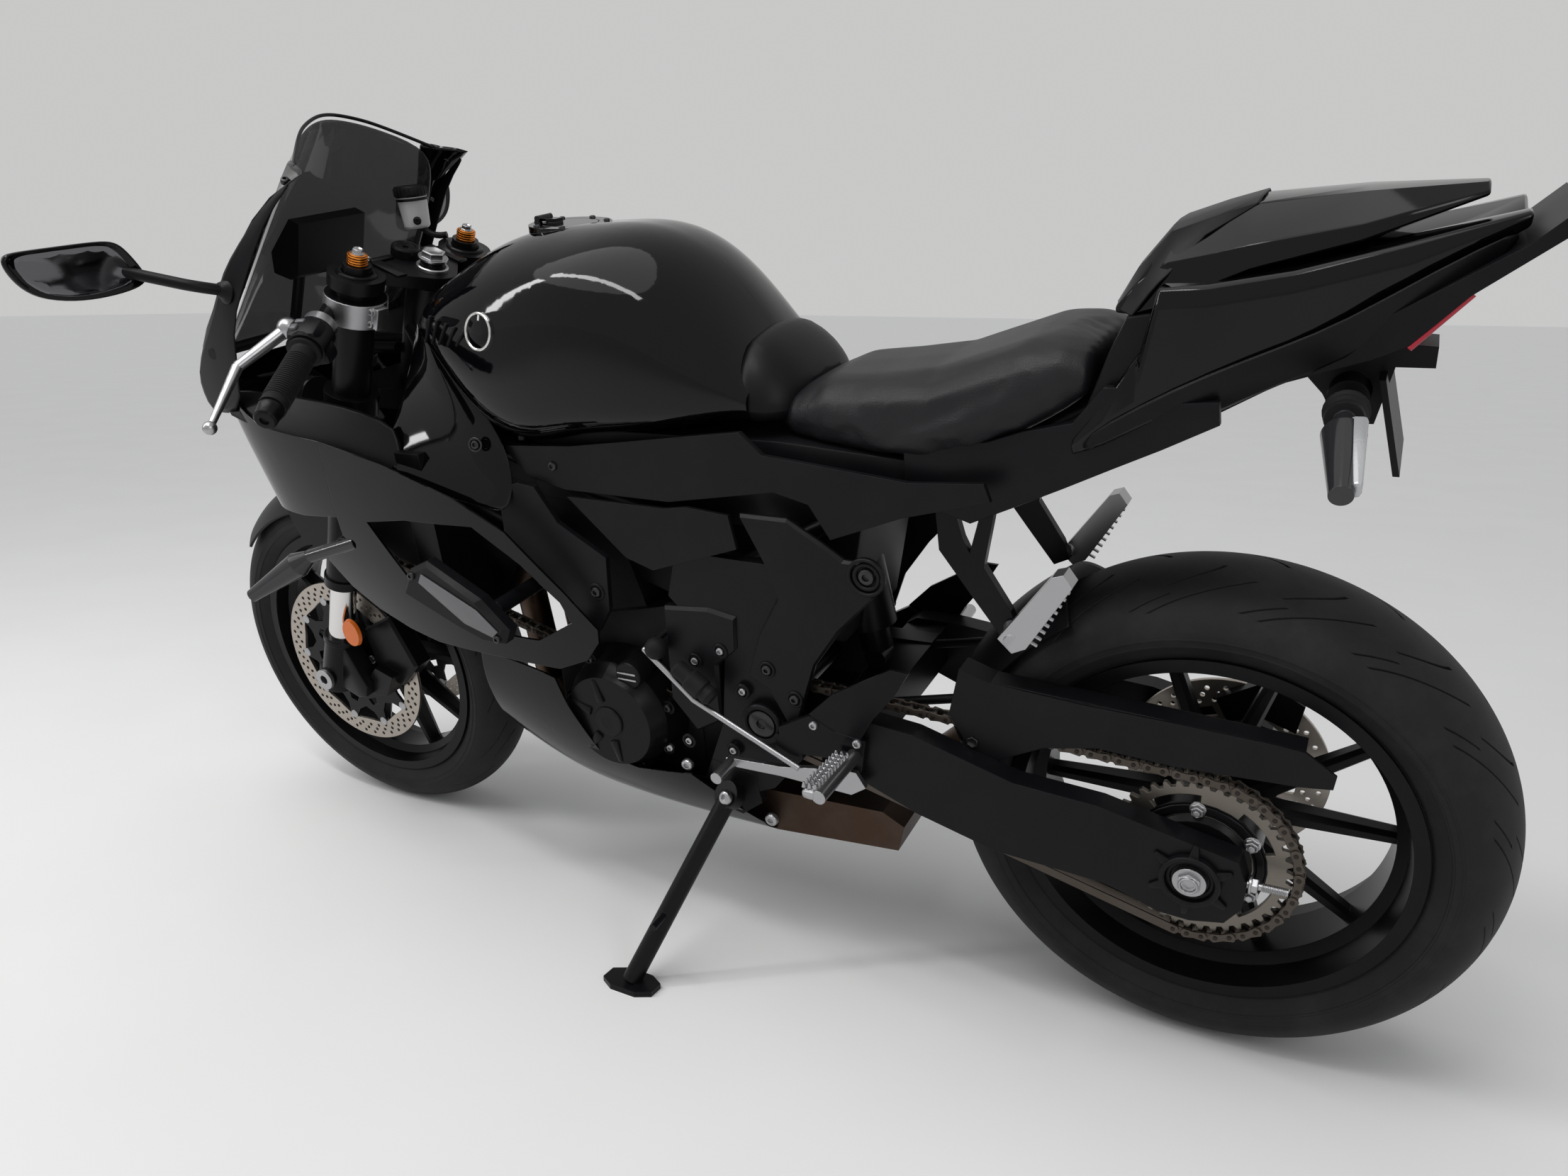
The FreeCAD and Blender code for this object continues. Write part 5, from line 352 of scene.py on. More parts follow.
def in_side_view(at, turn):
    """A place turned in the side view, so that its +X rises by the angle in radians."""
    return Matrix.Translation(at) @ Matrix.Rotation(-turn, 4, "Y")


def add_cone(bm, start, end, first_radius, last_radius, sides=24):
    """A round bar from start to end, of two radii."""
    start, end = Vector(start), Vector(end)
    length = (end - start).length
    part = bmesh.new()
    bmesh.ops.create_cone(
        part, cap_ends=True, segments=sides, radius1=first_radius, radius2=last_radius, depth=length
    )
    joined(bm, part, facing((start + end) / 2, end - start))


def add_rod(bm, start, end, radius, sides=24):
    """A round bar of one radius."""
    add_cone(bm, start, end, radius, radius, sides)


def add_lathe(bm, at, axis, profile, steps=28):
    """A turned shape from (radius, height) points, closed on its axis or as a ring."""
    part = bmesh.new()
    points = [part.verts.new((radius, 0, height)) for radius, height in profile]
    pairs = list(zip(points, points[1:]))
    if profile[0][0] > 0 and profile[-1][0] > 0:
        pairs.append((points[-1], points[0]))
    edges = [part.edges.new(pair) for pair in pairs]
    bmesh.ops.spin(
        part, geom=points + edges, cent=(0, 0, 0), axis=(0, 0, 1), angle=math.tau, steps=steps, use_merge=True
    )
    joined(bm, part, facing(at, axis))


def add_ball(bm, at, radius):
    """A small ball joint."""
    part = bmesh.new()
    bmesh.ops.create_uvsphere(part, u_segments=16, v_segments=8, radius=radius)
    joined(bm, part, Matrix.Translation(at))


def add_block(bm, place, size, taper=1.0, bevel=0.001):
    """A rounded block of that size, its +X end narrowed by the taper."""
    part = bmesh.new()
    bmesh.ops.create_cube(part, size=1.0)
    for vert in part.verts:
        if vert.co.x > 0:
            vert.co.y *= taper
            vert.co.z *= taper
    bmesh.ops.scale(part, vec=size, verts=part.verts)
    if bevel:
        bmesh.ops.bevel(
            part, geom=part.edges, offset=bevel, segments=2, profile=0.5, affect="EDGES", material=-1
        )
    joined(bm, part, place)


def add_plate(bm, outline, near, far, bevel=0.0015, place=None):
    """A side plate from its (x, z) outline, its far face's edge rounded."""
    part = bmesh.new()
    face = part.faces.new([part.verts.new((x, near, z)) for x, z in outline])
    grown = bmesh.ops.extrude_face_region(part, geom=[face])["geom"]
    moved = [item for item in grown if isinstance(item, bmesh.types.BMVert)]
    bmesh.ops.translate(part, vec=(0, far - near, 0), verts=moved)
    if bevel:
        rim = [edge for edge in part.edges if all(abs(v.co.y - far) < 0.00001 for v in edge.verts)]
        bmesh.ops.bevel(part, geom=rim, offset=bevel, segments=2, profile=0.5, affect="EDGES", material=-1)
    joined(bm, part, place)


def mesh_of_curve(curve):
    """The curve's shape as a mesh to join; the curve itself is dropped."""
    holder = bpy.data.objects.new("line", curve)
    mesh = bpy.data.meshes.new_from_object(holder)
    part = bmesh.new()
    part.from_mesh(mesh)
    bpy.data.objects.remove(holder)
    bpy.data.curves.remove(curve)
    bpy.data.meshes.remove(mesh)
    return part


def add_tube(bm, points, radius, sides=10):
    """A round tube along a smooth line through control points."""
    curve = bpy.data.curves.new("line", "CURVE")
    curve.dimensions = "3D"
    spline = curve.splines.new("NURBS")
    spline.points.add(len(points) - 1)
    for point, place in zip(spline.points, points):
        point.co = (*place, 1)
    spline.order_u = 3
    spline.use_endpoint_u = True
    spline.resolution_u = 6
    curve.bevel_depth = radius
    curve.bevel_resolution = sides // 2 - 2
    curve.use_fill_caps = True
    joined(bm, mesh_of_curve(curve))


def add_drilled(bm, outline, holes, thickness, place):
    """A flat plate with holes: loops of (x, y) points, thick along Z, then placed."""
    curve = bpy.data.curves.new("flat", "CURVE")
    curve.dimensions = "2D"
    curve.fill_mode = "BOTH"
    curve.extrude = thickness / 2
    for loop in [outline] + holes:
        spline = curve.splines.new("POLY")
        spline.points.add(len(loop) - 1)
        for point, (x, y) in zip(spline.points, loop):
            point.co = (x, y, 0, 1)
        spline.use_cyclic_u = True
    joined(bm, mesh_of_curve(curve), place)


def add_skin(bm, rows, thickness):
    """A thin formed panel through rows of points, with its wall behind."""
    part = bmesh.new()
    strips = []
    for row in rows:
        points = [part.verts.new(point) for point in row]
        strips.append([part.edges.new(pair) for pair in zip(points, points[1:])])
    for near, far in zip(strips, strips[1:]):
        bmesh.ops.bridge_loops(part, edges=near + far)
    bmesh.ops.recalc_face_normals(part, faces=part.faces)
    bmesh.ops.solidify(part, geom=part.faces[:], thickness=thickness)
    joined(bm, part)


def add_loft(bm, rows):
    """A closed body through loops of points, with flat ends."""
    part = bmesh.new()
    loops = []
    for row in rows:
        points = [part.verts.new(point) for point in row]
        loops.append([part.edges.new(pair) for pair in zip(points, points[1:] + points[:1])])
    for near, far in zip(loops, loops[1:]):
        bmesh.ops.bridge_loops(part, edges=near + far)
    for loop in (loops[0], loops[-1]):
        bmesh.ops.edgeloop_fill(part, edges=loop)
    joined(bm, part)


def section(x, half):
    """A closed loop across the machine from its left half, top to bottom."""
    left = [Vector((x, y, z)) for y, z in half]
    right = [Vector((x, -y, z)) for y, z in reversed(half) if y > 0]
    return left + right


def on_side(rows, side):
    """Rows of points given for the left side, or mirrored to the right."""
    return [[Vector((x, side * y, z)) for x, y, z in row] for row in rows]


def on_surface(node, x, z, side):
    """The point and the outward direction of a CAD side surface, in the machine frame."""
    mesh = frame["nodes"][node].data
    corners = [vert.co for vert in mesh.vertices]
    tree = BVHTree.FromPolygons(corners, [face.vertices for face in mesh.polygons])
    start = PARKED @ Vector((x, side * BESIDE, z))
    place, normal, _, _ = tree.ray_cast(start, PARKED.to_3x3() @ Vector((0, -side, 0)))
    if place is None:
        raise RuntimeError("nothing to sit on at %.3f %.3f" % (x, z))
    back = PARKED.inverted()
    return back @ place, (back.to_3x3() @ normal).normalized()


def softened(piece, levels=2):
    """Smooth a piece that was drawn with few points."""
    smooth = piece.modifiers.new("smooth", "SUBSURF")
    smooth.levels = smooth.render_levels = levels


def edged(piece, width):
    """Round the piece's hard edges."""
    bevel = piece.modifiers.new("edges", "BEVEL")
    bevel.width = width
    bevel.segments = 2
    bevel.limit_method = "ANGLE"
    bevel.angle_limit = math.radians(32)


def circle(radius, count, x=0.0, y=0.0):
    """A closed loop of flat points round a centre."""
    turns = [math.tau * i / count for i in range(count)]
    return [(x + radius * math.cos(turn), y + radius * math.sin(turn)) for turn in turns]


def polar(radius, degrees):
    """The flat point at that radius and angle."""
    return radius * math.cos(math.radians(degrees)), radius * math.sin(math.radians(degrees))


def add_button(bm, at, axis, radius, height):
    """A round-headed screw with its socket."""
    profile = [
        (0, -radius * 0.3), (radius, -radius * 0.3), (radius, height * 0.4), (radius * 0.86, height * 0.82),
        (radius * 0.6, height), (radius * 0.44, height), (radius * 0.4, height * 0.3), (0, height * 0.3),
    ]
    add_lathe(bm, at, axis, profile, 20)


def add_hex(bm, at, axis, radius, height):
    """A hexagon head on its washer flange."""
    axis = Vector(axis).normalized()
    at = Vector(at)
    flange = radius * 1.25
    add_lathe(bm, at, axis, [(0, -0.001), (flange, -0.001), (flange, height * 0.2), (0, height * 0.3)])
    part = bmesh.new()
    bmesh.ops.create_cone(part, cap_ends=True, segments=6, radius1=radius, radius2=radius, depth=height)
    top = [face for face in part.faces if face.normal.z > 0.9]
    bmesh.ops.inset_region(part, faces=top, thickness=radius * 0.16, depth=height * 0.1)
    bmesh.ops.inset_region(part, faces=top, thickness=radius * 0.3, depth=-height * 0.25)
    joined(bm, part, facing(at + axis * height / 2, axis))


def add_ring(bm, at, axis, outer, inner, height):
    """A flat ring with its top edges rounded off."""
    edge = (outer - inner) * 0.25
    inside = [(inner, 0), (inner, height - edge), (inner + edge, height)]
    outside = [(outer - edge, height), (outer, height - edge), (outer, 0)]
    add_lathe(bm, at, axis, inside + outside)


def new_piece(name, bm, body, slot, finish=None, sharp=35.0, replaces=()):
    """Lean the drawn shape onto the stand, give it its finish and hang it on its body."""
    bmesh.ops.transform(bm, matrix=PARKED, verts=bm.verts)
    mesh = bpy.data.meshes.new(name)
    for face in bm.faces:
        face.smooth = True
    bm.to_mesh(mesh)
    bm.free()
    mesh.set_sharp_from_angle(angle=math.radians(sharp))
    mesh.materials.append(FINISH[finish or slot])
    obj = in_scene(name, mesh)
    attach(obj, body)
    if replaces:
        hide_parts(*replaces)
    return obj


def fork_point(forward, side, up):
    """A point given in the fork's own axes, from the front axle up along the legs."""
    return FORK @ Vector((forward, side, up))


def bar_point(side, distance):
    """A point on a handlebar, that far out from its clamp."""
    return fork_point(0.02, side * 0.125, 0.667) + bar_axis(side) * distance


def bar_axis(side):
    """The way a handlebar points, outwards."""
    return Vector((-0.349, side * 0.855, -0.38)).normalized()


# Wheels

# The sidewall from the tread's edge (0) to the rim's lip (1), and how far each ring stands out.
WALL_STEPS = [
    (0.2, 0.001), (0.22, 0.0016), (0.3, 0.0016), (0.32, 0.0012), (0.55, 0.0018), (0.57, 0.0026),
    (0.64, 0.0026), (0.66, 0.0016), (0.9, 0.0006), (1.0, 0.0),
]
LIP_RADIUS, BEAD_RADIUS, SEAT_RADIUS = 0.2386, 0.2296, 0.2186
CROWN_ROWS = 44
TYRE_STEPS = 384
# Tyre: radius, half width, depth of the crown's arc, half width between the rim's lips.
REAR_TYRE = (0.315, 0.091, 0.06, 0.076)
FRONT_TYRE = (0.3, 0.06, 0.046, 0.05)
# Groove: where it starts and ends across the half width, its period, offset and width in steps round.
REAR_GROOVES = [(0.12, 0.55, 24, 0, 1), (0.4, 0.86, 24, 12, 1), (0.62, 0.8, 24, 6, 1)]
FRONT_GROOVES = [(0.1, 0.6, 24, 0, 1), (0.45, 0.88, 24, 12, 1)]


def tyre_points(radius, half_width, depth, rim_half):
    """Half-section points (y, radius), round the outside and back along the liner."""
    crown = []
    for i in range(CROWN_ROWS + 1):
        turn = math.radians(-80 + 160 * i / CROWN_ROWS)
        crown.append((half_width * math.sin(turn), radius - depth + depth * math.cos(turn)))
    last_y, last_r = crown[-1]
    lip_y = rim_half + 0.002
    wall = []
    for share, swell in WALL_STEPS:
        bow = math.sin(share * math.pi) * 0.0016
        wall.append((last_y + (lip_y - last_y) * share + swell + bow, last_r + (LIP_RADIUS - last_r) * share))
    outer, inner = rim_half - 0.0054, rim_half - 0.0154
    bead = [(outer, BEAD_RADIUS), (outer, SEAT_RADIUS), (inner, SEAT_RADIUS), (inner, BEAD_RADIUS)]
    liner = [(half_width - 0.009, last_r - 0.004), (half_width * 0.6, radius - depth * 0.45)]
    liner.append((0, radius - 0.009))
    left = wall + bead + liner
    right = [(-y, r) for y, r in reversed(left[:-1])]
    return crown, left, right


def grooved_faces(bm, sizes, grooves):
    """The faces of the tread that its grooves take up."""
    radius, half_width, depth, _ = sizes
    cut = []
    for face in bm.faces:
        middle = face.calc_center_median()
        if math.hypot(middle.x, middle.z) < radius - depth * 0.93:
            continue
        across = middle.y / half_width
        step = int((math.atan2(middle.x, middle.z) / math.tau) % 1 * TYRE_STEPS)
        for low, high, period, offset, width in grooves:
            shift = 0 if across > 0 else period // 2
            if low < abs(across) < high and (step + offset + shift) % period < width:
                cut.append(face)
                break
    return cut


def tyre_shape(axle, sizes, grooves, twist):
    """A tyre with its grooves cut along the cross lines, which are then swept back by the twist."""
    crown, left, right = tyre_points(*sizes)
    bm = bmesh.new()
    points = [bm.verts.new((0, y, r)) for y, r in crown + left + right]
    edges = [bm.edges.new(pair) for pair in zip(points, points[1:] + points[:1])]
    bmesh.ops.spin(
        bm, geom=points + edges, cent=(0, 0, 0), axis=(0, 1, 0), angle=math.tau,
        steps=TYRE_STEPS, use_merge=True,
    )
    bmesh.ops.recalc_face_normals(bm, faces=bm.faces)
    tread_depth = bpy.context.scene.motorcycle_sizes.tread_depth
    cut = grooved_faces(bm, sizes, grooves)
    bmesh.ops.inset_region(bm, faces=cut, thickness=0.0005, depth=-tread_depth, use_even_offset=True)
    half_width = sizes[1]
    for vert in bm.verts:
        across = min(1, abs(vert.co.y) / half_width)
        turn = Matrix.Rotation(math.radians(twist) * (1 - math.cos(across * math.pi * 0.5)), 3, "Y")
        vert.co = turn @ vert.co
    bmesh.ops.translate(bm, vec=axle, verts=bm.verts)
    return bm


class MOTORCYCLE_OT_tyres(bpy.types.Operator):
    """Both tyres with their tread grooves and sidewall rings"""
    bl_idname = "motorcycle.tyres"
    bl_label = "Tyres"

    def execute(self, context):
        rear = tyre_shape(REAR_AXLE, REAR_TYRE, REAR_GROOVES, 34.0)
        new_piece("rear_tyre_tread", rear, "rear_wheel", "tyre", sharp=28.0, replaces=("rear_tyre",))
        front = tyre_shape(FRONT_AXLE, FRONT_TYRE, FRONT_GROOVES, -30.0)
        new_piece("front_tyre_tread", front, "front_wheel", "tyre", sharp=28.0, replaces=("front_tyre",))
        return {"FINISHED"}


def on_axle(axle, side_y):
    """Turns a flat shape drawn in XY into the wheel's plane, at a side distance."""
    return Matrix.Translation(axle + Vector((0, side_y, 0))) @ Matrix.Rotation(math.radians(90), 4, "X")


def disc_holes(radii, count, radius, step):
    """Rows of small holes, each row a step (degrees) further round than the last."""
    holes = []
    for i in range(count):
        for j, ring in enumerate(radii):
            x, y = polar(ring, 360 * i / count + step * j)
            holes.append(circle(radius, 10, x, y))
    return holes


FRONT_DISC_SIDE, REAR_DISC_SIDE = 0.073, -0.084
FRONT_DISC_RADIUS, REAR_DISC_RADIUS = 0.149, 0.1225
CARRIER_RADIUS = 0.1165
FRONT_HOLES = ((0.125, 0.1325, 0.14), 40, 0.0032, 3.4)
REAR_HOLES = ((0.094, 0.1025, 0.111), 32, 0.0032, 4.0)
# One arm of the front carrier, and the windows of both discs: (degrees, radius).
CARRIER_ARM = ((-8, 0.098), (-3.4, 0.118), (3.4, 0.118), (8, 0.098), (18, 0.088))
FRONT_WINDOW = ((-9, 0.072), (9, 0.072), (5, 0.084), (-5, 0.084))
REAR_WINDOW = ((-20, 0.072), (0, 0.072), (20, 0.072), (16, 0.086), (0, 0.086), (-16, 0.086))
BOBBIN = [(0, -0.003), (0.0078, -0.003), (0.0078, 0.0034), (0.0062, 0.0042), (0.0046, 0.0036), (0, 0.003)]


def repeated(loop, count):
    """Copies of a loop of (degrees, radius) points, evenly round the axle."""
    return [[polar(radius, 360 / count * i + turn) for turn, radius in loop] for i in range(count)]


class MOTORCYCLE_OT_discs(bpy.types.Operator):
    """Drilled brake discs on their carriers"""
    bl_idname = "motorcycle.discs"
    bl_label = "Brake discs"

    def execute(self, context):
        rings, carriers, buttons = drafts(3)
        for side in (LEFT, RIGHT):
            make_front_disc(rings, carriers, buttons, side)
        new_piece("front_disc_rings", rings, "front_wheel", "steel", replaces=("front_discs",))
        new_piece("front_disc_carriers", carriers, "front_wheel", "cast_black")
        new_piece("front_disc_buttons", buttons, "front_wheel", "alloy")
        rear = bmesh.new()
        openings = [circle(0.026, 40)] + repeated(REAR_WINDOW, 6) + disc_holes(*REAR_HOLES)
        add_drilled(rear, circle(REAR_DISC_RADIUS, 110), openings, 0.005, on_axle(REAR_AXLE, REAR_DISC_SIDE))
        new_piece("rear_disc_ring", rear, "rear_wheel", "steel", replaces=("rear_disc",))
        return {"FINISHED"}


def make_front_disc(rings, carriers, buttons, side):
    """A scalloped, drilled ring that floats on its carrier's ten bobbins."""
    place = on_axle(FRONT_AXLE, side * FRONT_DISC_SIDE)
    out = Vector((0, side, 0))
    scallops = []
    for turn in range(0, 360, 4):
        scallops.append(polar(CARRIER_RADIUS + 0.0022 * math.cos(math.radians(10 * turn)), turn))
    add_drilled(rings, circle(FRONT_DISC_RADIUS, 120), [scallops] + disc_holes(*FRONT_HOLES), 0.0045, place)
    star = [point for arm in repeated(CARRIER_ARM, 10) for point in arm]
    add_drilled(carriers, star, [circle(0.036, 40)] + repeated(FRONT_WINDOW, 10), 0.0042, place)
    for i in range(10):
        x, y = polar(CARRIER_RADIUS, 36 * i)
        add_lathe(buttons, place @ Vector((x, y, 0)) - out * 0.0005, out, BOBBIN, 18)
    for i in range(5):
        x, y = polar(0.052, 72 * i + 20)
        add_button(buttons, place @ Vector((x, y, 0)) + out * 0.0022, out, 0.0075, 0.004)


CHAIN_SIDE = 0.114
LINK = 0.015875
REAR_TEETH, FRONT_TEETH = 42, 16
REAR_PITCH = LINK / (2 * math.sin(math.pi / REAR_TEETH))
FRONT_PITCH = LINK / (2 * math.sin(math.pi / FRONT_TEETH))
DRIVE_AT = Vector((0.61, CHAIN_SIDE, 0.415))
PLATE_END, PLATE_WAIST, PLATE_THICKNESS = 0.0068, 0.0042, 0.0018


def chain_pins():
    """The chain's pins in turn, on both straight runs and round both sprockets."""
    rear = Vector((0, CHAIN_SIDE, REAR_TYRE_RADIUS))
    along = DRIVE_AT - rear
    tilt = math.atan2(along.z, along.x)
    closing = math.asin((REAR_PITCH - FRONT_PITCH) / along.length)
    straight = math.sqrt(along.length ** 2 - (REAR_PITCH - FRONT_PITCH) ** 2)
    top, bottom = tilt + math.pi / 2 - closing, tilt - math.pi / 2 + closing
    rear_wrap, front_wrap = math.tau - (top - bottom), top - bottom
    lengths = [straight, front_wrap * FRONT_PITCH, straight, rear_wrap * REAR_PITCH]
    links = 2 * round(sum(lengths) / LINK / 2)
    pins = []
    for i in range(links):
        distance = i * sum(lengths) / links
        if distance < lengths[0]:
            pins.append(round_of(rear, REAR_PITCH, top) - run_along(distance, top))
            continue
        distance -= lengths[0]
        if distance < lengths[1]:
            pins.append(round_of(DRIVE_AT, FRONT_PITCH, top - distance / FRONT_PITCH))
            continue
        distance -= lengths[1]
        if distance < lengths[2]:
            pins.append(round_of(DRIVE_AT, FRONT_PITCH, bottom) + run_along(distance, bottom))
            continue
        pins.append(round_of(rear, REAR_PITCH, bottom - (distance - lengths[2]) / REAR_PITCH))
    return pins


def run_along(distance, turn):
    """A step in the side view, square to the angle in radians."""
    return Vector((-math.sin(turn), 0, math.cos(turn))) * distance


def round_of(centre, radius, turn):
    """The point at that radius and angle (radians) from a centre, in the side view."""
    return centre + Vector((math.cos(turn), 0, math.sin(turn))) * radius


def link_outline(pitch):
    """A link plate's waisted outline, from pin to pin along X."""
    outline = [(pitch + x, y) for x, y in [polar(PLATE_END, turn) for turn in (-60, -30, 0, 30, 60)]]
    outline += [(pitch * 0.5, PLATE_WAIST)]
    outline += [polar(PLATE_END, turn) for turn in (120, 150, 180, 210, 240)]
    outline += [(pitch * 0.5, -PLATE_WAIST)]
    return outline


class MOTORCYCLE_OT_chain(bpy.types.Operator):
    """Roller chain links with their pins, and the sprocket's nuts"""
    bl_idname = "motorcycle.chain"
    bl_label = "Chain"

    def execute(self, context):
        plates, rollers = drafts(2)
        pins = chain_pins()
        for i, pin in enumerate(pins):
            along = pins[(i + 1) % len(pins)] - pin
            place = in_side_view(pin, math.atan2(along.z, along.x))
            out = 0.006 if i % 2 else 0.004
            for side in (LEFT, RIGHT):
                outline = link_outline(along.length)
                add_plate(plates, outline, side * out, side * (out + PLATE_THICKNESS), 0, place)
            for half, radius, sides in ((0.004, 0.005, 10), (0.0086, 0.0026, 8)):
                add_rod(rollers, pin - Vector((0, half, 0)), pin + Vector((0, half, 0)), radius, sides)
        new_piece("chain_link_plates", plates, "chassis", "chain_steel", replaces=("chain",))
        new_piece("chain_rollers", rollers, "chassis", "chain_steel", "chain_rollers")
        make_sprocket_details()
        return {"FINISHED"}


def make_sprocket_details():
    """The sprocket's nuts on their studs, and the rings of the carrier behind it."""
    nuts, carrier = drafts(2)
    out = Vector((0, 1, 0))
    for i in range(6):
        x, z = polar(0.0665, 28 + 60 * i)
        add_hex(nuts, REAR_AXLE + Vector((x, 0.1172, z)), out, 0.0072, 0.008)
        add_rod(nuts, REAR_AXLE + Vector((x, 0.1172, z)), REAR_AXLE + Vector((x, 0.1282, z)), 0.0036, 12)
    rings = [(0.1172, 0.0745, 0.06, 0.0012), (0.1172, 0.0585, 0.0365, 0.006), (0.0965, 0.05, 0.025, 0.026)]
    for across, outer, inner, height in rings:
        add_ring(carrier, REAR_AXLE + Vector((0, across, 0)), out, outer, inner, height)
    new_piece("sprocket_nuts", nuts, "rear_wheel", "alloy")
    new_piece("sprocket_carrier", carrier, "rear_wheel", "cast_black")


# Seat

class MOTORCYCLE_OT_seat(bpy.types.Operator):
    """The seat cushion, blown up against its cover as cloth"""
    bl_idname = "motorcycle.seat"
    bl_label = "Seat cushion"

    def execute(self, context):
        bm = bmesh.new()
        add_loft(bm, [seat_section(*row) for row in SEAT_ROWS])
        piece = new_piece("seat_cushion", bm, "chassis", "seat_cover", sharp=180.0, replaces=("seat",))
        fill_cushion(piece, 0.005, 3.0, context.scene.motorcycle_sizes.seat_swell)
        make_seat_skirts()
        return {"FINISHED"}


# Cross sections of the cushion: x, height of the top and the shoulder, half width, height of the bottom.
SEAT_ROWS = [
    (0.514, 0.799, 0.794, 0.074, 0.78), (0.49, 0.818, 0.808, 0.094, 0.771),
    (0.44, 0.834, 0.821, 0.108, 0.765), (0.38, 0.839, 0.826, 0.118, 0.761),
    (0.312, 0.848, 0.834, 0.124, 0.762), (0.255, 0.867, 0.852, 0.125, 0.776),
    (0.205, 0.884, 0.87, 0.123, 0.798), (0.165, 0.89, 0.878, 0.119, 0.822),
    (0.136, 0.884, 0.874, 0.111, 0.842),
]
TANK_TAIL_SECTIONS = [
    (0.56, [(0, 0.896), (0.078, 0.888), (0.108, 0.848), (0.125, 0.8), (0.106, 0.783), (0, 0.783)]),
    (0.52, [(0, 0.878), (0.074, 0.87), (0.104, 0.838), (0.12, 0.799), (0.102, 0.781), (0, 0.781)]),
    (0.496, [(0, 0.855), (0.064, 0.85), (0.092, 0.826), (0.106, 0.797), (0.088, 0.782), (0, 0.782)]),
    (0.476, [(0, 0.828), (0.046, 0.825), (0.066, 0.814), (0.074, 0.798), (0.056, 0.788), (0, 0.788)]),
]
SKIRT_OUTLINE = [
    (0.335, 0.775), (0.335, 0.715), (0.26, 0.691), (0.214, 0.713), (0.159, 0.74), (0.11, 0.765),
    (0.062, 0.789), (0.01, 0.817), (0.012, 0.84), (0.08, 0.835), (0.105, 0.85), (0.12, 0.85),
    (0.15, 0.812), (0.2, 0.8), (0.24, 0.786),
]
# Dark boxes of painted shade that close the view through the machine where only shade is seen: half width,
# outline in the side view.
SHADE_BOXES = [
    (0.11, [(0.88, 0.665), (0.56, 0.655), (0.335, 0.69), (0.305, 0.755), (0.5, 0.768), (0.86, 0.765)]),
    (0.098, [(1.035, 0.868), (1.03, 0.712), (0.87, 0.665), (0.85, 0.74), (0.94, 0.825)]),
    (0.1, [(0.15, 0.8), (0.12, 0.88), (0.104, 0.915), (0.06, 0.922), (0.0, 0.925), (0.06, 0.815)]),
    (0.085, [(0.8, 0.68), (0.78, 0.56), (0.6, 0.5), (0.44, 0.5), (0.4, 0.69)]),
]


def seat_section(x, top, shoulder, half, bottom):
    """One closed cross section of the cushion."""
    rounding = [
        (0, top), (half * 0.55, top - 0.001), (half * 0.84, (top + shoulder) / 2),
        (half * 0.97, shoulder - 0.006), (half, (shoulder + bottom) / 2),
        (half * 0.97, bottom + 0.004), (half * 0.86, bottom), (0, bottom),
    ]
    return section(x, rounding)


def make_seat_skirts():
    """The dark inner panels under the seat, and dark boxes of painted shade below seat and tank."""
    skirts, shade_plates, tail_end = drafts(3)
    for side in (LEFT, RIGHT):
        add_plate(skirts, SKIRT_OUTLINE, side * 0.105, side * 0.116, 0.002)
    # These boxes are painted shade: dark plates that stand in for the shade seen through the machine.
    for half, outline in SHADE_BOXES:
        add_plate(shade_plates, outline, -half, half, 0.003)
    add_loft(tail_end, [section(x, half) for x, half in TANK_TAIL_SECTIONS])
    new_piece("seat_skirts", skirts, "chassis", "matt_black")
    # Painted shade, not a real part of the frame.
    new_piece("painted_shade_core", shade_plates, "chassis", "matt_black")
    softened(new_piece("tank_tail_cover", tail_end, "chassis", "matt_black"))


def fill_cushion(piece, voxel, pressure, most):
    """Remesh the pad, inflate it as cloth, hold each point near its start, and smooth it."""
    bpy.context.view_layer.objects.active = piece
    piece.select_set(True)
    remesh = piece.modifiers.new("grid", "REMESH")
    remesh.mode = "VOXEL"
    remesh.voxel_size = voxel
    bpy.ops.object.modifier_apply(modifier=remesh.name)
    start = [vert.co.copy() for vert in piece.data.vertices]
    cloth = piece.modifiers.new("cover", "CLOTH")
    cloth.settings.use_pressure = True
    cloth.settings.uniform_pressure_force = pressure
    cloth.settings.effector_weights.gravity = 0.0
    cloth.settings.tension_stiffness = 25.0
    cloth.settings.bending_stiffness = 2.0
    scene = bpy.context.scene
    for number in range(1, 21):
        scene.frame_set(number)
    bpy.ops.object.modifier_apply(modifier=cloth.name)
    scene.frame_set(1)
    for vert, place in zip(piece.data.vertices, start):
        move = vert.co - place
        if move.length > most:
            vert.co = place + move.normalized() * most
    bm = bmesh.new()
    bm.from_mesh(piece.data)
    every_way = dict(use_axis_x=True, use_axis_y=True, use_axis_z=True)
    for _ in range(3):
        bmesh.ops.smooth_vert(bm, verts=bm.verts, factor=0.5, **every_way)
    bm.to_mesh(piece.data)
    bm.free()
    for polygon in piece.data.polygons:
        polygon.use_smooth = True
    finer = piece.modifiers.new("smooth", "SUBSURF")
    finer.levels = finer.render_levels = 1
    piece.select_set(False)


# Controls

class MOTORCYCLE_OT_controls(bpy.types.Operator):
    """Grips, bar ends, switch housings, adjusters, stem nut and ignition lock"""
    bl_idname = "motorcycle.controls"
    bl_label = "Controls"

    def execute(self, context):
        make_grips()
        make_clamp_details()
        make_reservoir()
        return {"FINISHED"}


GRIP_LENGTH = 0.118
GRIP_RIBS = 26
BAR_END = [
    (0, 0), (0.015, 0), (0.016, 0.003), (0.016, 0.007), (0.0146, 0.009), (0.0146, 0.0225), (0.012, 0.0255),
    (0.006, 0.0257), (0.005, 0.0225), (0, 0.0225),
]
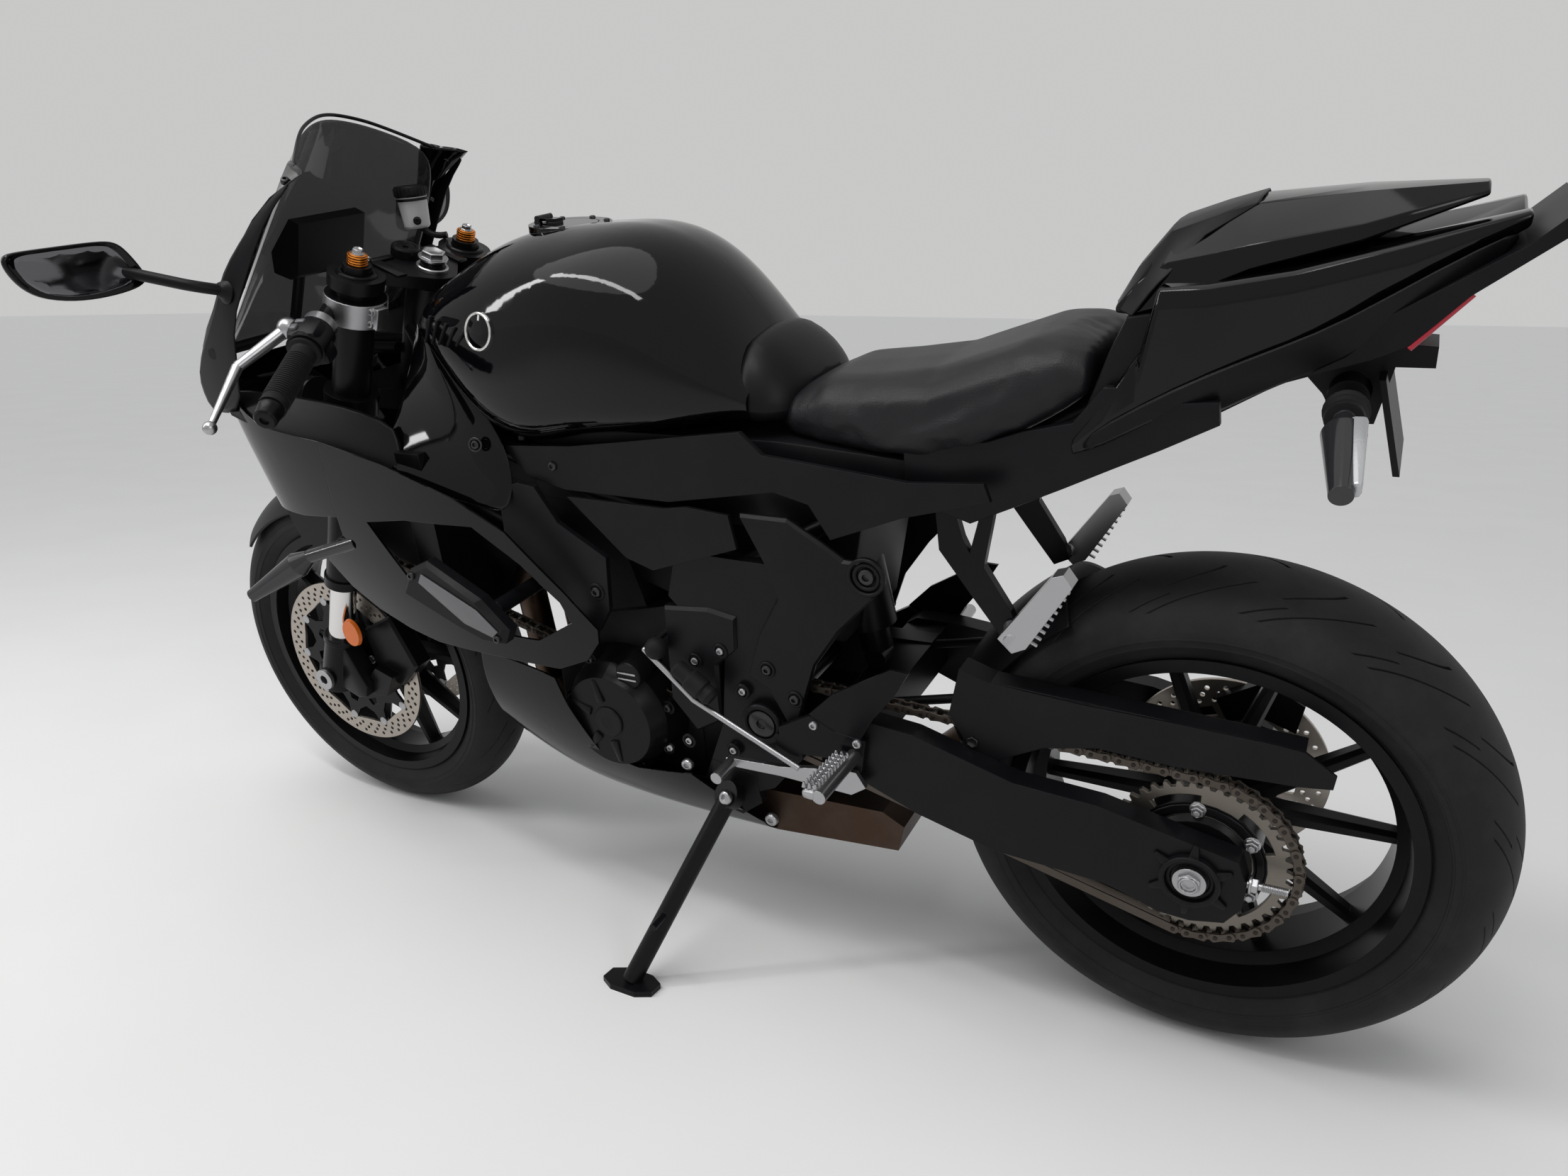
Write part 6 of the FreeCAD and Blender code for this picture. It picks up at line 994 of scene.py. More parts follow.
# Switch housing and buttons: place (x, y on the left side, z), size, taper, bevel.
HOUSING_BLOCKS = [
    ((0, 0, 0.002), (0.036, 0.046, 0.05), 0.92, 0.008),
    ((0.002, 0.012, -0.014), (0.03, 0.026, 0.03), 0.9, 0.006),
]
BUTTON_BLOCKS = [
    ((0.004, -0.01, 0.026), (0.011, 0.01, 0.007), 0.9, 0.002),
    ((-0.009, -0.006, 0.026), (0.008, 0.014, 0.006), 0.9, 0.002),
]
IGNITION_LOCK = [
    (0, 0), (0.02, 0), (0.02, 0.012), (0.018, 0.0145), (0.015, 0.0145), (0.014, 0.0125), (0.005, 0.0125),
    (0.005, 0.0095), (0, 0.0095),
]
RESERVOIR_AT = Vector((1.2, -0.092, 0.994))
RESERVOIR_CUP = [
    (0, 0.0), (0.0165, 0), (0.019, 0.003), (0.0202, 0.02), (0.022, 0.0425), (0.0226, 0.0435),
    (0.0226, 0.0448), (0, 0.0448),
]
RESERVOIR_CAP = [
    (0, 0), (0.0231, 0), (0.0238, 0.002), (0.0238, 0.0125), (0.0221, 0.0155), (0.0112, 0.016), (0, 0.016),
]


def grip_profile():
    """The grip's inner flange, its ribs and its outer end, as (radius, distance)."""
    profile = [(0.0114, 0), (0.0215, 0), (0.0215, 0.004), (0.0168, 0.0065)]
    for i in range(GRIP_RIBS):
        start = 0.01 + i * 0.0038
        crest = 0.016 + (0.0016 if 0.02 < start < 0.104 else 0.0006)
        profile += [(0.016, start), (crest, start + 0.0008), (crest, start + 0.0024), (0.016, start + 0.0031)]
    return profile + [(0.0172, GRIP_LENGTH - 0.004), (0.0172, GRIP_LENGTH), (0.0114, GRIP_LENGTH)]


def make_grips():
    """Ribbed grips, weighted bar ends, and the switch housings with their buttons."""
    grips, ends, housings, buttons = drafts(4)
    for side in (LEFT, RIGHT):
        axis = bar_axis(side)
        add_lathe(grips, bar_point(side, 0.113), axis, grip_profile(), 36)
        add_lathe(ends, bar_point(side, 0.2312), axis, BAR_END, 32)
        turn = towards(axis)
        place = Matrix.Translation(bar_point(side, 0.0925)) @ turn
        for into, blocks in ((housings, HOUSING_BLOCKS), (buttons, BUTTON_BLOCKS)):
            for (x, y, z), size, taper, bevel in blocks:
                add_block(into, place @ Matrix.Translation((x, side * y, z)), size, taper, bevel)
        inward = Vector((0, -side, 0))
        add_button(buttons, place @ (inward * 0.0225 + Vector((0, 0, 0.006))), turn @ inward, 0.006, 0.005)
    new_piece("grip_sleeves", grips, "steering", "rubber", replaces=("grips",))
    new_piece("bar_ends", ends, "steering", "cast_black")
    new_piece("switch_housings", housings, "steering", "matt_black")
    new_piece("switch_buttons", buttons, "steering", "matt_black", "button_grey")


def fork_way(x, y, z):
    """A direction given in the fork's own axes."""
    return fork_point(x, y, z) - fork_point(0, 0, 0)


def make_clamp_details():
    """Adjusters, nuts, ribs and the ignition lock on the top clamp, and the clip-on clamps."""
    orange, bright, dark = drafts(3)
    up = fork_way(0, 0, 1)
    ribs = [(0.0085, 0.0002)]
    for i in range(4):
        z = 0.0004 + i * 0.0034
        ribs += [(0.0136, z), (0.0136, z + 0.0018), (0.0118, z + 0.002), (0.0118, z + 0.0032)]
    ribs += [(0.0085, 0.0145)]
    for side in (LEFT, RIGHT):
        y = side * FORK_HALF
        add_lathe(orange, fork_point(0, y, 0.7275), up, ribs)
        add_hex(bright, fork_point(0, y, 0.7415), up, 0.0072, 0.0066)
        add_ring(dark, fork_point(0, y, 0.7145), up, 0.0262, 0.0192, 0.003)
    add_hex(bright, fork_point(-0.035, 0, 0.73), up, 0.0165, 0.01)
    add_ring(bright, fork_point(-0.035, 0, 0.7142), up, 0.0225, 0.0172, 0.006)
    add_ring(bright, fork_point(0.028, 0.062, 0.7142), up, 0.0082, 0.0045, 0.0026)
    add_lathe(dark, fork_point(0.016, 0.0, 0.7142), up, IGNITION_LOCK)
    for across in (-0.06, 0.06):
        bar, tab = Vector((-0.012, across, 0.716)), Vector((0.018, across * 0.72, 0.7158))
        add_block(dark, FORK @ Matrix.Translation(bar), (0.052, 0.018, 0.004), 1.0, 0.0015)
        add_block(dark, FORK @ Matrix.Translation(tab), (0.01, 0.04, 0.0036), 1.0, 0.0012)
    for side, name in ((LEFT, "clip_on_clamp_left"), (RIGHT, "clip_on_clamp_right")):
        collar = bmesh.new()
        add_ring(collar, fork_point(0, side * FORK_HALF, 0.65), up, 0.0425, 0.0405, 0.034)
        ear = FORK @ Matrix.Translation((-0.036, side * FORK_HALF, 0.667))
        add_block(collar, ear, (0.03, 0.022, 0.032), 0.9, 0.003)
        for z in (0.658, 0.676):
            at = fork_point(-0.04, side * (FORK_HALF + 0.011), z)
            add_button(collar, at, fork_way(0, side, 0), 0.0052, 0.004)
        new_piece(name, collar, "steering", "alloy", "brushed_alloy")
    new_piece("fork_adjusters", orange, "steering", "alloy", "orange_anodised")
    new_piece("top_clamp_nuts", bright, "steering", "alloy")
    new_piece("top_clamp_ribs", dark, "steering", "cast_black")


def make_reservoir():
    """The brake fluid cup with its knurled cap, held by a stay from the top clamp."""
    cup, cap, stay = drafts(3)
    base, up = RESERVOIR_AT, Vector((0, 0, 1))
    add_lathe(cup, base, up, RESERVOIR_CUP, 40)
    add_lathe(cap, base + up * 0.045, up, RESERVOIR_CAP, 40)
    for i in range(24):
        x, y = polar(0.024, 15 * i)
        turn = Matrix.Rotation(math.radians(15 * i), 4, "Z")
        rib = Matrix.Translation(base + Vector((x, y, 0.0525))) @ turn
        add_block(cap, rib, (0.0016, 0.0032, 0.011), 1.0, 0.0005)
    foot = fork_point(0.035, -FORK_HALF, 0.7205)
    add_tube(stay, [foot, Vector((1.18, -0.094, 0.978)), base + Vector((-0.006, 0, 0.004))], 0.0048, 12)
    add_ring(stay, base + Vector((0, 0, 0.0395)), up, 0.0236, 0.0214, 0.004)
    add_button(stay, base + Vector((-0.02, 0.018, 0.012)), (-0.7, 0.7, 0), 0.006, 0.005)
    new_piece("reservoir_stay", stay, "steering", "matt_black")
    new_piece("reservoir_cup", cup, "steering", "fluid_cup", replaces=("brake_reservoir",))
    new_piece("reservoir_cap", cap, "steering", "matt_black")


# Engine side

GENERATOR_AT = Vector((0.775, 0.163, 0.36))
GENERATOR_PLUG = [
    (0, 0), (0.023, 0), (0.023, 0.0015), (0.0215, 0.0032), (0.01, 0.0032), (0.0085, 0.0006), (0, 0.0006),
]
OIL_FILLER = [(0, -0.03), (0.02, -0.03), (0.02, 0.004), (0.0185, 0.006), (0.015, 0.0064), (0, 0.0064)]


class MOTORCYCLE_OT_engine_details(bpy.types.Operator):
    """Ribs, plugs and screws on the engine covers"""
    bl_idname = "motorcycle.engine_details"
    bl_label = "Engine details"

    def execute(self, context):
        cast, bright, dark, plug = drafts(4)
        out = Vector((0, 1, 0))
        add_lathe(plug, GENERATOR_AT, out, GENERATOR_PLUG, 40)
        for turn in (262, 310, 20, 75):
            x, z = polar(0.048, turn)
            place = in_side_view(GENERATOR_AT + Vector((x, -0.002, z)), math.radians(turn))
            add_block(cast, place, (0.036, 0.012, 0.014), 0.62, 0.003)
        for turn in (5, 62, 118, 165, 212, 255, 300):
            x, z = polar(0.0855, turn)
            at = GENERATOR_AT + Vector((x, -0.035, z))
            add_cone(cast, at - out * 0.022, at + out * 0.006, 0.0125, 0.0105, 20)
            add_button(dark, at + out * 0.006, out, 0.0062, 0.0045)
        add_hex(bright, (0.717, 0.1515, 0.366), out, 0.0068, 0.006)
        add_button(bright, (0.695, 0.138, 0.32), out, 0.0058, 0.004)
        add_lathe(plug, (0.736, 0.15, 0.435), out, OIL_FILLER)
        for z in (0.4305, 0.4395):
            add_block(bright, Matrix.Translation((0.736, 0.1572, z)), (0.03, 0.003, 0.0026), 1.0, 0.0008)
        for x, z in ((0.587, 0.494), (0.628, 0.473), (0.56, 0.44), (0.655, 0.345), (0.585, 0.345)):
            add_ring(cast, (x, 0.1455, z), out, 0.011, 0.0066, 0.0028)
            add_button(bright, (x, 0.1455, z), out, 0.0056, 0.0046)
        for x, z in ((0.661, 0.307), (0.535, 0.249)):
            add_button(bright, (x, 0.15, z), out, 0.0092, 0.0045)
        new_piece("engine_cover_ribs", cast, "chassis", "cast_black")
        new_piece("engine_cover_plugs", plug, "chassis", "cast_black", "engine_black")
        new_piece("engine_cover_screws", bright, "chassis", "alloy")
        new_piece("engine_cover_bolts", dark, "chassis", "steel", "dark_steel")
        return {"FINISHED"}


# Ringed bolts of each side's covers: place on the left side, then the ring's outer and inner radius and
# height, then the bolt's radius and height.
COVER_BOLTS = [
    ((0.518, 0.149, 0.481), (0.0115, 0.0078, 0.0022), (0.007, 0.005)),
    ((0.482, 0.149, 0.445), (0.0115, 0.0078, 0.0022), (0.007, 0.005)),
    ((0.372, 0.149, 0.628), (0.024, 0.0195, 0.006), (0.0105, 0.0055)),
    ((0.762, 0.158, 0.559), (0.0125, 0.0082, 0.002), (0.0074, 0.005)),
]
PIVOT_CAP = [
    (0, 0.0), (0.019, 0), (0.019, 0.004), (0.0165, 0.0052), (0.007, 0.0052), (0.006, 0.0018), (0, 0.0018),
]


class MOTORCYCLE_OT_frame_details(bpy.types.Operator):
    """Ringed bolts and bosses on the frame covers and the chain guard, and the axle's ends"""
    bl_idname = "motorcycle.frame_details"
    bl_label = "Frame details"

    def execute(self, context):
        rings, dark = drafts(2)
        for side in (LEFT, RIGHT):
            out = Vector((0, side, 0))
            for (x, y, z), ring, bolt in COVER_BOLTS:
                at = Vector((x, side * y, z))
                add_ring(rings, at, out, *ring)
                add_button(dark, at, out, *bolt)
            add_ring(rings, Vector((0.372, side * 0.149, 0.628)), out, 0.0178, 0.0125, 0.0042)
            pivot = Vector((0.533, side * 0.149, 0.4))
            add_ring(rings, pivot, out, 0.029, 0.0215, 0.006)
            add_lathe(dark, pivot, out, PIVOT_CAP)
            add_button(dark, Vector((0.814, side * 0.141, 0.723)), out, 0.0066, 0.0036)
        guard = Vector((0.257, 0.126, 0.42))
        add_ring(rings, guard, (0, 1, 0), 0.0135, 0.0105, 0.0016)
        add_hex(dark, guard, (0, 1, 0), 0.0078, 0.0055)
        new_piece("cover_bolt_rings", rings, "chassis", "matt_black")
        new_piece("cover_bolts", dark, "chassis", "steel", "dark_steel")
        make_axle_ends()
        return {"FINISHED"}


def make_axle_ends():
    """Studded rings and nuts round the rear axle's ends, and the threaded chain adjusters."""
    star, bright = drafts(2)
    back = Vector((-1, 0, 0))
    for side in (LEFT, RIGHT):
        out = Vector((0, side, 0))
        at = REAR_AXLE + out * 0.1562
        add_ring(star, at, out, 0.033, 0.0265, 0.008)
        add_ring(star, at, out, 0.0265, 0.0205, 0.002)
        for turn in (35, 95, 155, 215, 275, 335):
            x, z = polar(0.0385, turn)
            place = in_side_view(at + Vector((x, side * 0.002, z)), math.radians(turn))
            add_block(star, place, (0.018, 0.006, 0.012), 0.45, 0.0012)
        add_hex(bright, at + out * 0.0004, out, 0.0132, 0.01)
        add_ring(bright, at + out * 0.01, out, 0.0105, 0.0081, 0.004)
        start = REAR_AXLE + Vector((-0.056, side * 0.142, 0.0))
        add_rod(bright, start, start + back * 0.042, 0.0042, 14)
        for step in range(14):
            add_ring(bright, start + back * (0.016 + step * 0.0018), back, 0.005, 0.004, 0.0009)
        add_hex(bright, start + back * 0.004, back, 0.0085, 0.0075)
    new_piece("axle_blocks", star, "chassis", "matt_black")
    new_piece("axle_nuts", bright, "chassis", "alloy")


# Shift linkage: the shaft's end, then the boot from end to end with (radius, share of its length).
SHIFT_BALL = Vector((0.676, 0.162, 0.491))
BOOT_START, BOOT_END = Vector((0.643, 0.17, 0.475)), Vector((0.59, 0.172, 0.437))
BOOT_STEPS = [(0.012, 0.35), (0.015, 0.4), (0.015, 0.72), (0.012, 0.76), (0.0135, 0.9), (0.01, 1.0), (0, 1.0)]


class MOTORCYCLE_OT_foot_details(bpy.types.Operator):
    """Ribbed pegs, heel plate ribs and screws, and the shift linkage's boots"""
    bl_idname = "motorcycle.foot_details"
    bl_label = "Foot details"

    def execute(self, context):
        pegs, boots, screws = drafts(3)
        for side in (LEFT, RIGHT):
            add_peg(pegs, side)
            low, high = Vector((0.198, side * 0.128, 0.556)), Vector((0.152, side * 0.128, 0.646))
            slope = towards(high - low, "Y")
            for i in range(9):
                at = low.lerp(high, 0.12 + i * 0.095) + Vector((-0.006, 0, -0.004))
                add_block(pegs, Matrix.Translation(at) @ slope, (0.0026, 0.014, 0.004), 1.0, 0.0006)
            for x, z in ((0.449, 0.424), (0.391, 0.41)):
                add_button(screws, (x, side * 0.166, z), (0, side, 0), 0.006, 0.0046)
        new_piece("peg_ribs", pegs, "chassis", "alloy")
        new_piece("heel_plate_screws", screws, "chassis", "alloy")
        add_ball(boots, SHIFT_BALL, 0.0155)
        axis = BOOT_END - BOOT_START
        profile = [(0, 0), (0.009, 0), (0.012, 0.004)] + [(r, axis.length * share) for r, share in BOOT_STEPS]
        add_lathe(boots, BOOT_START, axis, profile)
        new_piece("linkage_boots", boots, "chassis", "rubber")
        return {"FINISHED"}


def add_peg(bm, side):
    """A foot peg's bar with three rows of studs."""
    root, tip = Vector((0.404, side * 0.172, 0.392)), Vector((0.412, side * 0.262, 0.392))
    along = (tip - root).normalized()
    for row in (-0.0075, 0.0, 0.0075):
        for i in range(11):
            at = root + along * (0.01 + i * 0.0074) + Vector((row, 0, 0.0098))
            add_cone(bm, at - Vector((0, 0, 0.003)), at + Vector((0, 0, 0.0035)), 0.0032, 0.0012, 8)
    add_block(bm, Matrix.Translation((root + tip) / 2) @ towards(along), (0.092, 0.026, 0.018), 0.66, 0.004)


class MOTORCYCLE_OT_stand_details(bpy.types.Operator):
    """The head of the side stand's pin"""
    bl_idname = "motorcycle.stand_details"
    bl_label = "Side stand details"

    def execute(self, context):
        pin = bmesh.new()
        add_button(pin, (0.587, 0.176, 0.288), (0.17, 0.87, 0.47), 0.0095, 0.005)
        new_piece("stand_pin_head", pin, "chassis", "alloy")
        return {"FINISHED"}


class MOTORCYCLE_OT_body_details(bpy.types.Operator):
    """Tank louvers, badge seat, cap screws, the crash pads' screws and painted highlight strips, and
    reflectors
    """
    bl_idname = "motorcycle.body_details"
    bl_label = "Body details"

    def execute(self, context):
        make_tank_details()
        make_badge_and_louvers()
        make_pads()
        make_lamps()
        return {"FINISHED"}


class MOTORCYCLE_OT_panels(bpy.types.Operator):
    """The intake skins, the screen with its flanges, the mirrors and the tail cowl"""
    bl_idname = "motorcycle.panels"
    bl_label = "Body panels"

    def execute(self, context):
        make_intake_skins()
        make_screen()
        make_mirrors()
        make_cowl()
        return {"FINISHED"}


INTAKE_ROWS = [
    [
        (1.014, 0.1, 0.905), (0.957, 0.128, 0.841), (0.914, 0.142, 0.794),
        (0.88, 0.148, 0.752), (0.868, 0.156, 0.7), (0.88, 0.168, 0.66),
    ],
    [
        (1.03, 0.112, 0.902), (0.985, 0.133, 0.832), (0.95, 0.149, 0.782),
        (0.925, 0.16, 0.74), (0.907, 0.164, 0.705), (0.905, 0.178, 0.666),
    ],
    [
        (1.044, 0.1, 0.898), (1.034, 0.118, 0.835), (1.02, 0.137, 0.786),
        (1.005, 0.157, 0.746), (0.99, 0.173, 0.716), (0.985, 0.187, 0.684),
    ],
    [
        (1.054, 0.088, 0.893), (1.078, 0.102, 0.83), (1.088, 0.124, 0.786),
        (1.092, 0.148, 0.754), (1.082, 0.172, 0.73), (1.06, 0.19, 0.704),
    ],
]
LIP_ROWS = [
    [(1.03, 0.184, 0.69), (1.11, 0.188, 0.716), (1.2, 0.19, 0.738), (1.3, 0.19, 0.758), (1.39, 0.184, 0.77)],
    [
        (1.045, 0.174, 0.722), (1.115, 0.174, 0.754), (1.2, 0.175, 0.772),
        (1.3, 0.175, 0.786), (1.39, 0.17, 0.792),
    ],
    [(1.062, 0.15, 0.765), (1.12, 0.16, 0.788), (1.2, 0.162, 0.8), (1.3, 0.162, 0.806), (1.39, 0.158, 0.806)],
]


def make_intake_skins():
    """Gloss panels between the tank's nose and the side fairing, with a bolt each."""
    skins, bolts, lips = drafts(3)
    thickness = bpy.context.scene.motorcycle_sizes.skin_thickness
    for side in (LEFT, RIGHT):
        add_skin(skins, on_side(INTAKE_ROWS, side), thickness)
        add_skin(lips, on_side(LIP_ROWS, side), thickness)
        at = Vector((0.917, side * 0.164, 0.752))
        add_ring(bolts, at, (-0.3, side, 0.2), 0.01, 0.007, 0.003)
        add_button(bolts, at, (-0.3, side, 0.2), 0.0062, 0.0046)
    softened(new_piece("intake_skins", skins, "chassis", "gloss_black"))
    softened(new_piece("fairing_inner_lips", lips, "chassis", "matt_black"), 1)
    new_piece("intake_bolts", bolts, "chassis", "steel", "dark_steel")


SCREEN_ROWS = [
    [(1.24, 0.0, 1.16), (1.232, 0.036, 1.153), (1.214, 0.076, 1.137), (1.172, 0.13, 1.1)],
    [(1.29, 0.0, 1.095), (1.282, 0.048, 1.0905), (1.258, 0.096, 1.077), (1.206, 0.148, 1.048)],
    [(1.34, 0.0, 1.02), (1.333, 0.056, 1.0165), (1.308, 0.112, 1.0045), (1.256, 0.162, 0.9795)],
    [(1.4, 0.0, 0.93), (1.394, 0.06, 0.928), (1.37, 0.118, 0.921), (1.318, 0.172, 0.9055)],
    [(1.462, 0.0, 0.848), (1.458, 0.06, 0.847), (1.438, 0.118, 0.8435), (1.395, 0.172, 0.836)],
]
FLANGE_OUTER = [
    (1.098, 0.157, 1.094), (1.188, 0.166, 1.076), (1.262, 0.178, 1.012), (1.335, 0.184, 0.936),
    (1.428, 0.172, 0.858),
]
FLANGE_INNER = [
    (1.188, 0.112, 1.118), (1.218, 0.132, 1.064), (1.268, 0.146, 0.994), (1.33, 0.155, 0.918),
    (1.408, 0.152, 0.847),
]
SIDE_PANEL_ROWS = [
    [(1.15, 0.163, 1.081), (1.149, 0.162, 1.084), (1.148, 0.161, 1.087)],
    [(1.205, 0.172, 1.042), (1.202, 0.17, 1.052), (1.2, 0.168, 1.064)],
    [(1.268, 0.184, 0.952), (1.264, 0.181, 0.982), (1.262, 0.178, 1.012)],
    [(1.318, 0.187, 0.893), (1.308, 0.186, 0.936), (1.3, 0.184, 0.98)],
    [(1.328, 0.187, 0.782), (1.334, 0.186, 0.856), (1.34, 0.184, 0.932)],
    [(1.385, 0.18, 0.768), (1.39, 0.179, 0.826), (1.392, 0.178, 0.884)],
    [(1.44, 0.168, 0.77), (1.448, 0.167, 0.796), (1.452, 0.165, 0.824)],
]
SCREEN_BOLTS = [(1.173, 0.148, 1.082), (1.232, 0.16, 1.024), (1.29, 0.169, 0.952), (1.352, 0.173, 0.886)]


def make_screen():
    """The smoked bubble, and the black flanges that bolt its edges to the side panels."""
    bubble, flanges, bolts, ears = drafts(4)
    rows = []
    for row in SCREEN_ROWS:
        rows.append([Vector((x, -y, z)) for x, y, z in reversed(row[1:])] + [Vector(point) for point in row])
    add_skin(bubble, rows, 0.003)
    lift = Vector((-0.002, 0, 0.004))
    for side in (LEFT, RIGHT):
        edge = [Vector(row[-1]) + lift for row in SCREEN_ROWS]
        inner = [Vector(point) + lift for point in FLANGE_INNER]
        outer = [Vector(point) for point in FLANGE_OUTER]
        add_skin(flanges, on_side([outer, edge, inner], side), 0.003)
        for x, y, z in SCREEN_BOLTS:
            add_button(bolts, (x - 0.002, side * y, z + 0.004), (-0.45, side * 0.35, 0.8), 0.0058, 0.005)
        add_skin(ears, on_side(SIDE_PANEL_ROWS, side), 0.004)
    rim = [point + Vector((-0.001, 0, 0.002)) for point in rows[0]]
    add_tube(flanges, rim, 0.0026)
    softened(new_piece("screen_bubble", bubble, "chassis", "smoke_screen", replaces=("windscreen",)))
    softened(new_piece("screen_flanges", flanges, "chassis", "gloss_black"), 1)
    softened(new_piece("screen_side_panels", ears, "chassis", "matt_black", replaces=("screen_braces",)), 1)
    new_piece("screen_bolts", bolts, "chassis", "steel", "dark_steel")


COWL_SECTIONS = [
    (0.118, [(0, 0.929), (0.07, 0.927), (0.086, 0.921), (0.084, 0.916), (0, 0.912)]),
    (0.098, [(0, 0.963), (0.066, 0.961), (0.084, 0.945), (0.094, 0.916), (0, 0.91)]),
    (0.07, [(0, 0.992), (0.06, 0.989), (0.086, 0.964), (0.099, 0.926), (0, 0.915)]),
    (0.03, [(0, 1.005), (0.052, 1.001), (0.088, 0.972), (0.099, 0.944), (0, 0.932)]),
    (-0.002, [(0, 1.014), (0.045, 1.01), (0.086, 0.979), (0.094, 0.958), (0, 0.944)]),
    (-0.09, [(0, 1.017), (0.034, 1.016), (0.072, 0.992), (0.074, 0.978), (0, 0.966)]),
    (-0.184, [(0, 1.019), (0.012, 1.018), (0.027, 1.012), (0.026, 1.008), (0, 1.005)]),
]
PAD_ROWS = [
    [
        (0.1205, 0.0, 0.926), (0.104, 0.0, 0.958), (0.076, 0.0, 0.9925),
        (0.035, 0.0, 1.0055), (-0.002, 0.0, 1.016),
    ],
    [
        (0.1205, 0.04, 0.925), (0.1035, 0.038, 0.957), (0.075, 0.036, 0.992),
        (0.035, 0.032, 1.005), (-0.0015, 0.026, 1.015),
    ],
    [
        (0.1195, 0.07, 0.924), (0.101, 0.067, 0.9565), (0.0725, 0.062, 0.9885),
        (0.032, 0.054, 1.0015), (-0.0005, 0.046, 1.0105),
    ],
    [
        (0.1135, 0.088, 0.919), (0.1, 0.0865, 0.94), (0.079, 0.0835, 0.961),
        (0.06, 0.078, 0.976), (0.04, 0.072, 0.987),
    ],
    [
        (0.1, 0.0965, 0.915), (0.093, 0.0965, 0.925), (0.085, 0.096, 0.936),
        (0.077, 0.0945, 0.946), (0.07, 0.0925, 0.953),
    ],
]
TAIL_SECTIONS = [
    (0.15, [(0, 0.785), (0.096, 0.796), (0.116, 0.795), (0.121, 0.788), (0.117, 0.778), (0, 0.776)]),
    (0.12, [(0, 0.812), (0.092, 0.838), (0.114, 0.836), (0.121, 0.815), (0.118, 0.79), (0, 0.784)]),
    (0.088, [(0, 0.85), (0.086, 0.886), (0.112, 0.884), (0.12, 0.85), (0.118, 0.808), (0, 0.798)]),
    (0.074, [(0, 0.884), (0.082, 0.946), (0.111, 0.944), (0.118, 0.925), (0.117, 0.816), (0, 0.806)]),
    (0.03, [(0, 0.912), (0.076, 0.953), (0.106, 0.946), (0.114, 0.93), (0.111, 0.842), (0, 0.828)]),
    (-0.04, [(0, 0.938), (0.068, 0.962), (0.095, 0.956), (0.104, 0.941), (0.098, 0.882), (0, 0.872)]),
    (-0.13, [(0, 0.964), (0.05, 0.981), (0.075, 0.977), (0.083, 0.961), (0.075, 0.932), (0, 0.926)]),
    (-0.216, [(0, 0.992), (0.04, 0.999), (0.058, 0.999), (0.064, 0.996), (0.058, 0.986), (0, 0.984)]),
]
TAIL_LOWER_ROWS = [
    [
        (0.14, 0.1212, 0.8), (0.085, 0.1205, 0.836), (0.025, 0.1145, 0.868), (-0.04, 0.1025, 0.894),
        (-0.085, 0.0935, 0.914), (-0.15, 0.0815, 0.956), (-0.21, 0.0655, 0.988),
    ],
    [
        (0.142, 0.1205, 0.782), (0.085, 0.12, 0.81), (0.025, 0.1125, 0.842), (-0.04, 0.0995, 0.878),
        (-0.085, 0.0905, 0.898), (-0.15, 0.077, 0.94), (-0.21, 0.063, 0.98),
    ],
    [
        (0.135, 0.09, 0.768), (0.08, 0.088, 0.784), (0.025, 0.0865, 0.818), (-0.04, 0.086, 0.854),
        (-0.085, 0.085, 0.872), (-0.15, 0.072, 0.922), (-0.21, 0.06, 0.972),
    ],
]
# The mirror's outline across the view (y outwards, z), then the shell's and the glass's (depth, share of it).
MIRROR_OUTLINE = [
    (0.08, 0.034), (0.083, 0.021), (0.075, -0.003), (0.056, -0.025), (0.014, -0.037), (-0.028, -0.039),
    (-0.07, -0.035), (-0.086, -0.026), (-0.084, -0.012), (-0.07, 0.017), (-0.059, 0.03), (-0.038, 0.034),
    (0.024, 0.035), (0.064, 0.036),
]
SHELL_STEPS = [
    (0.004, 0.86), (-0.001, 0.93), (0.0, 0.985), (0.006, 1.0), (0.014, 0.94), (0.022, 0.74), (0.027, 0.4),
]
GLASS_STEPS = [(0.0045, 0.84), (0.0025, 0.865), (0.001, 0.84)]
STALK_FOOT = [(0, 0.0), (0.019, 0), (0.0175, 0.0035), (0.012, 0.007), (0.0095, 0.012), (0, 0.012)]


def make_mirrors():
    """Rounded mirror shells with their glass, each on a bent stalk from the fairing."""
    shells, glasses, stalks = drafts(3)
    for side in (LEFT, RIGHT):
        turn = Matrix.Rotation(math.radians(-10 * side), 4, "Z")
        place = Matrix.Translation((1.4, side * 0.318, 1.002)) @ turn
        for into, steps in ((shells, SHELL_STEPS), (glasses, GLASS_STEPS)):
            rows = []
            for depth, share in steps:
                rows.append([place @ Vector((depth, side * y * share, z * share)) for y, z in MIRROR_OUTLINE])
            add_loft(into, rows)
        root, elbow = Vector((1.304, side * 0.18, 0.952)), Vector((1.313, side * 0.215, 0.963))
        tip = place @ Vector((0.013, -side * 0.055, -0.008))
        add_tube(stalks, [root, elbow, elbow.lerp(tip, 0.5), tip], 0.008, 14)
        add_lathe(stalks, root, elbow - root, STALK_FOOT, 24)
    softened(new_piece("mirror_shells", shells, "chassis", "gloss_black", replaces=("mirrors",)))
    softened(new_piece("mirror_glasses", glasses, "chassis", "gloss_black", "mirror_glass"))
    new_piece("mirror_stalks", stalks, "chassis", "matt_black")


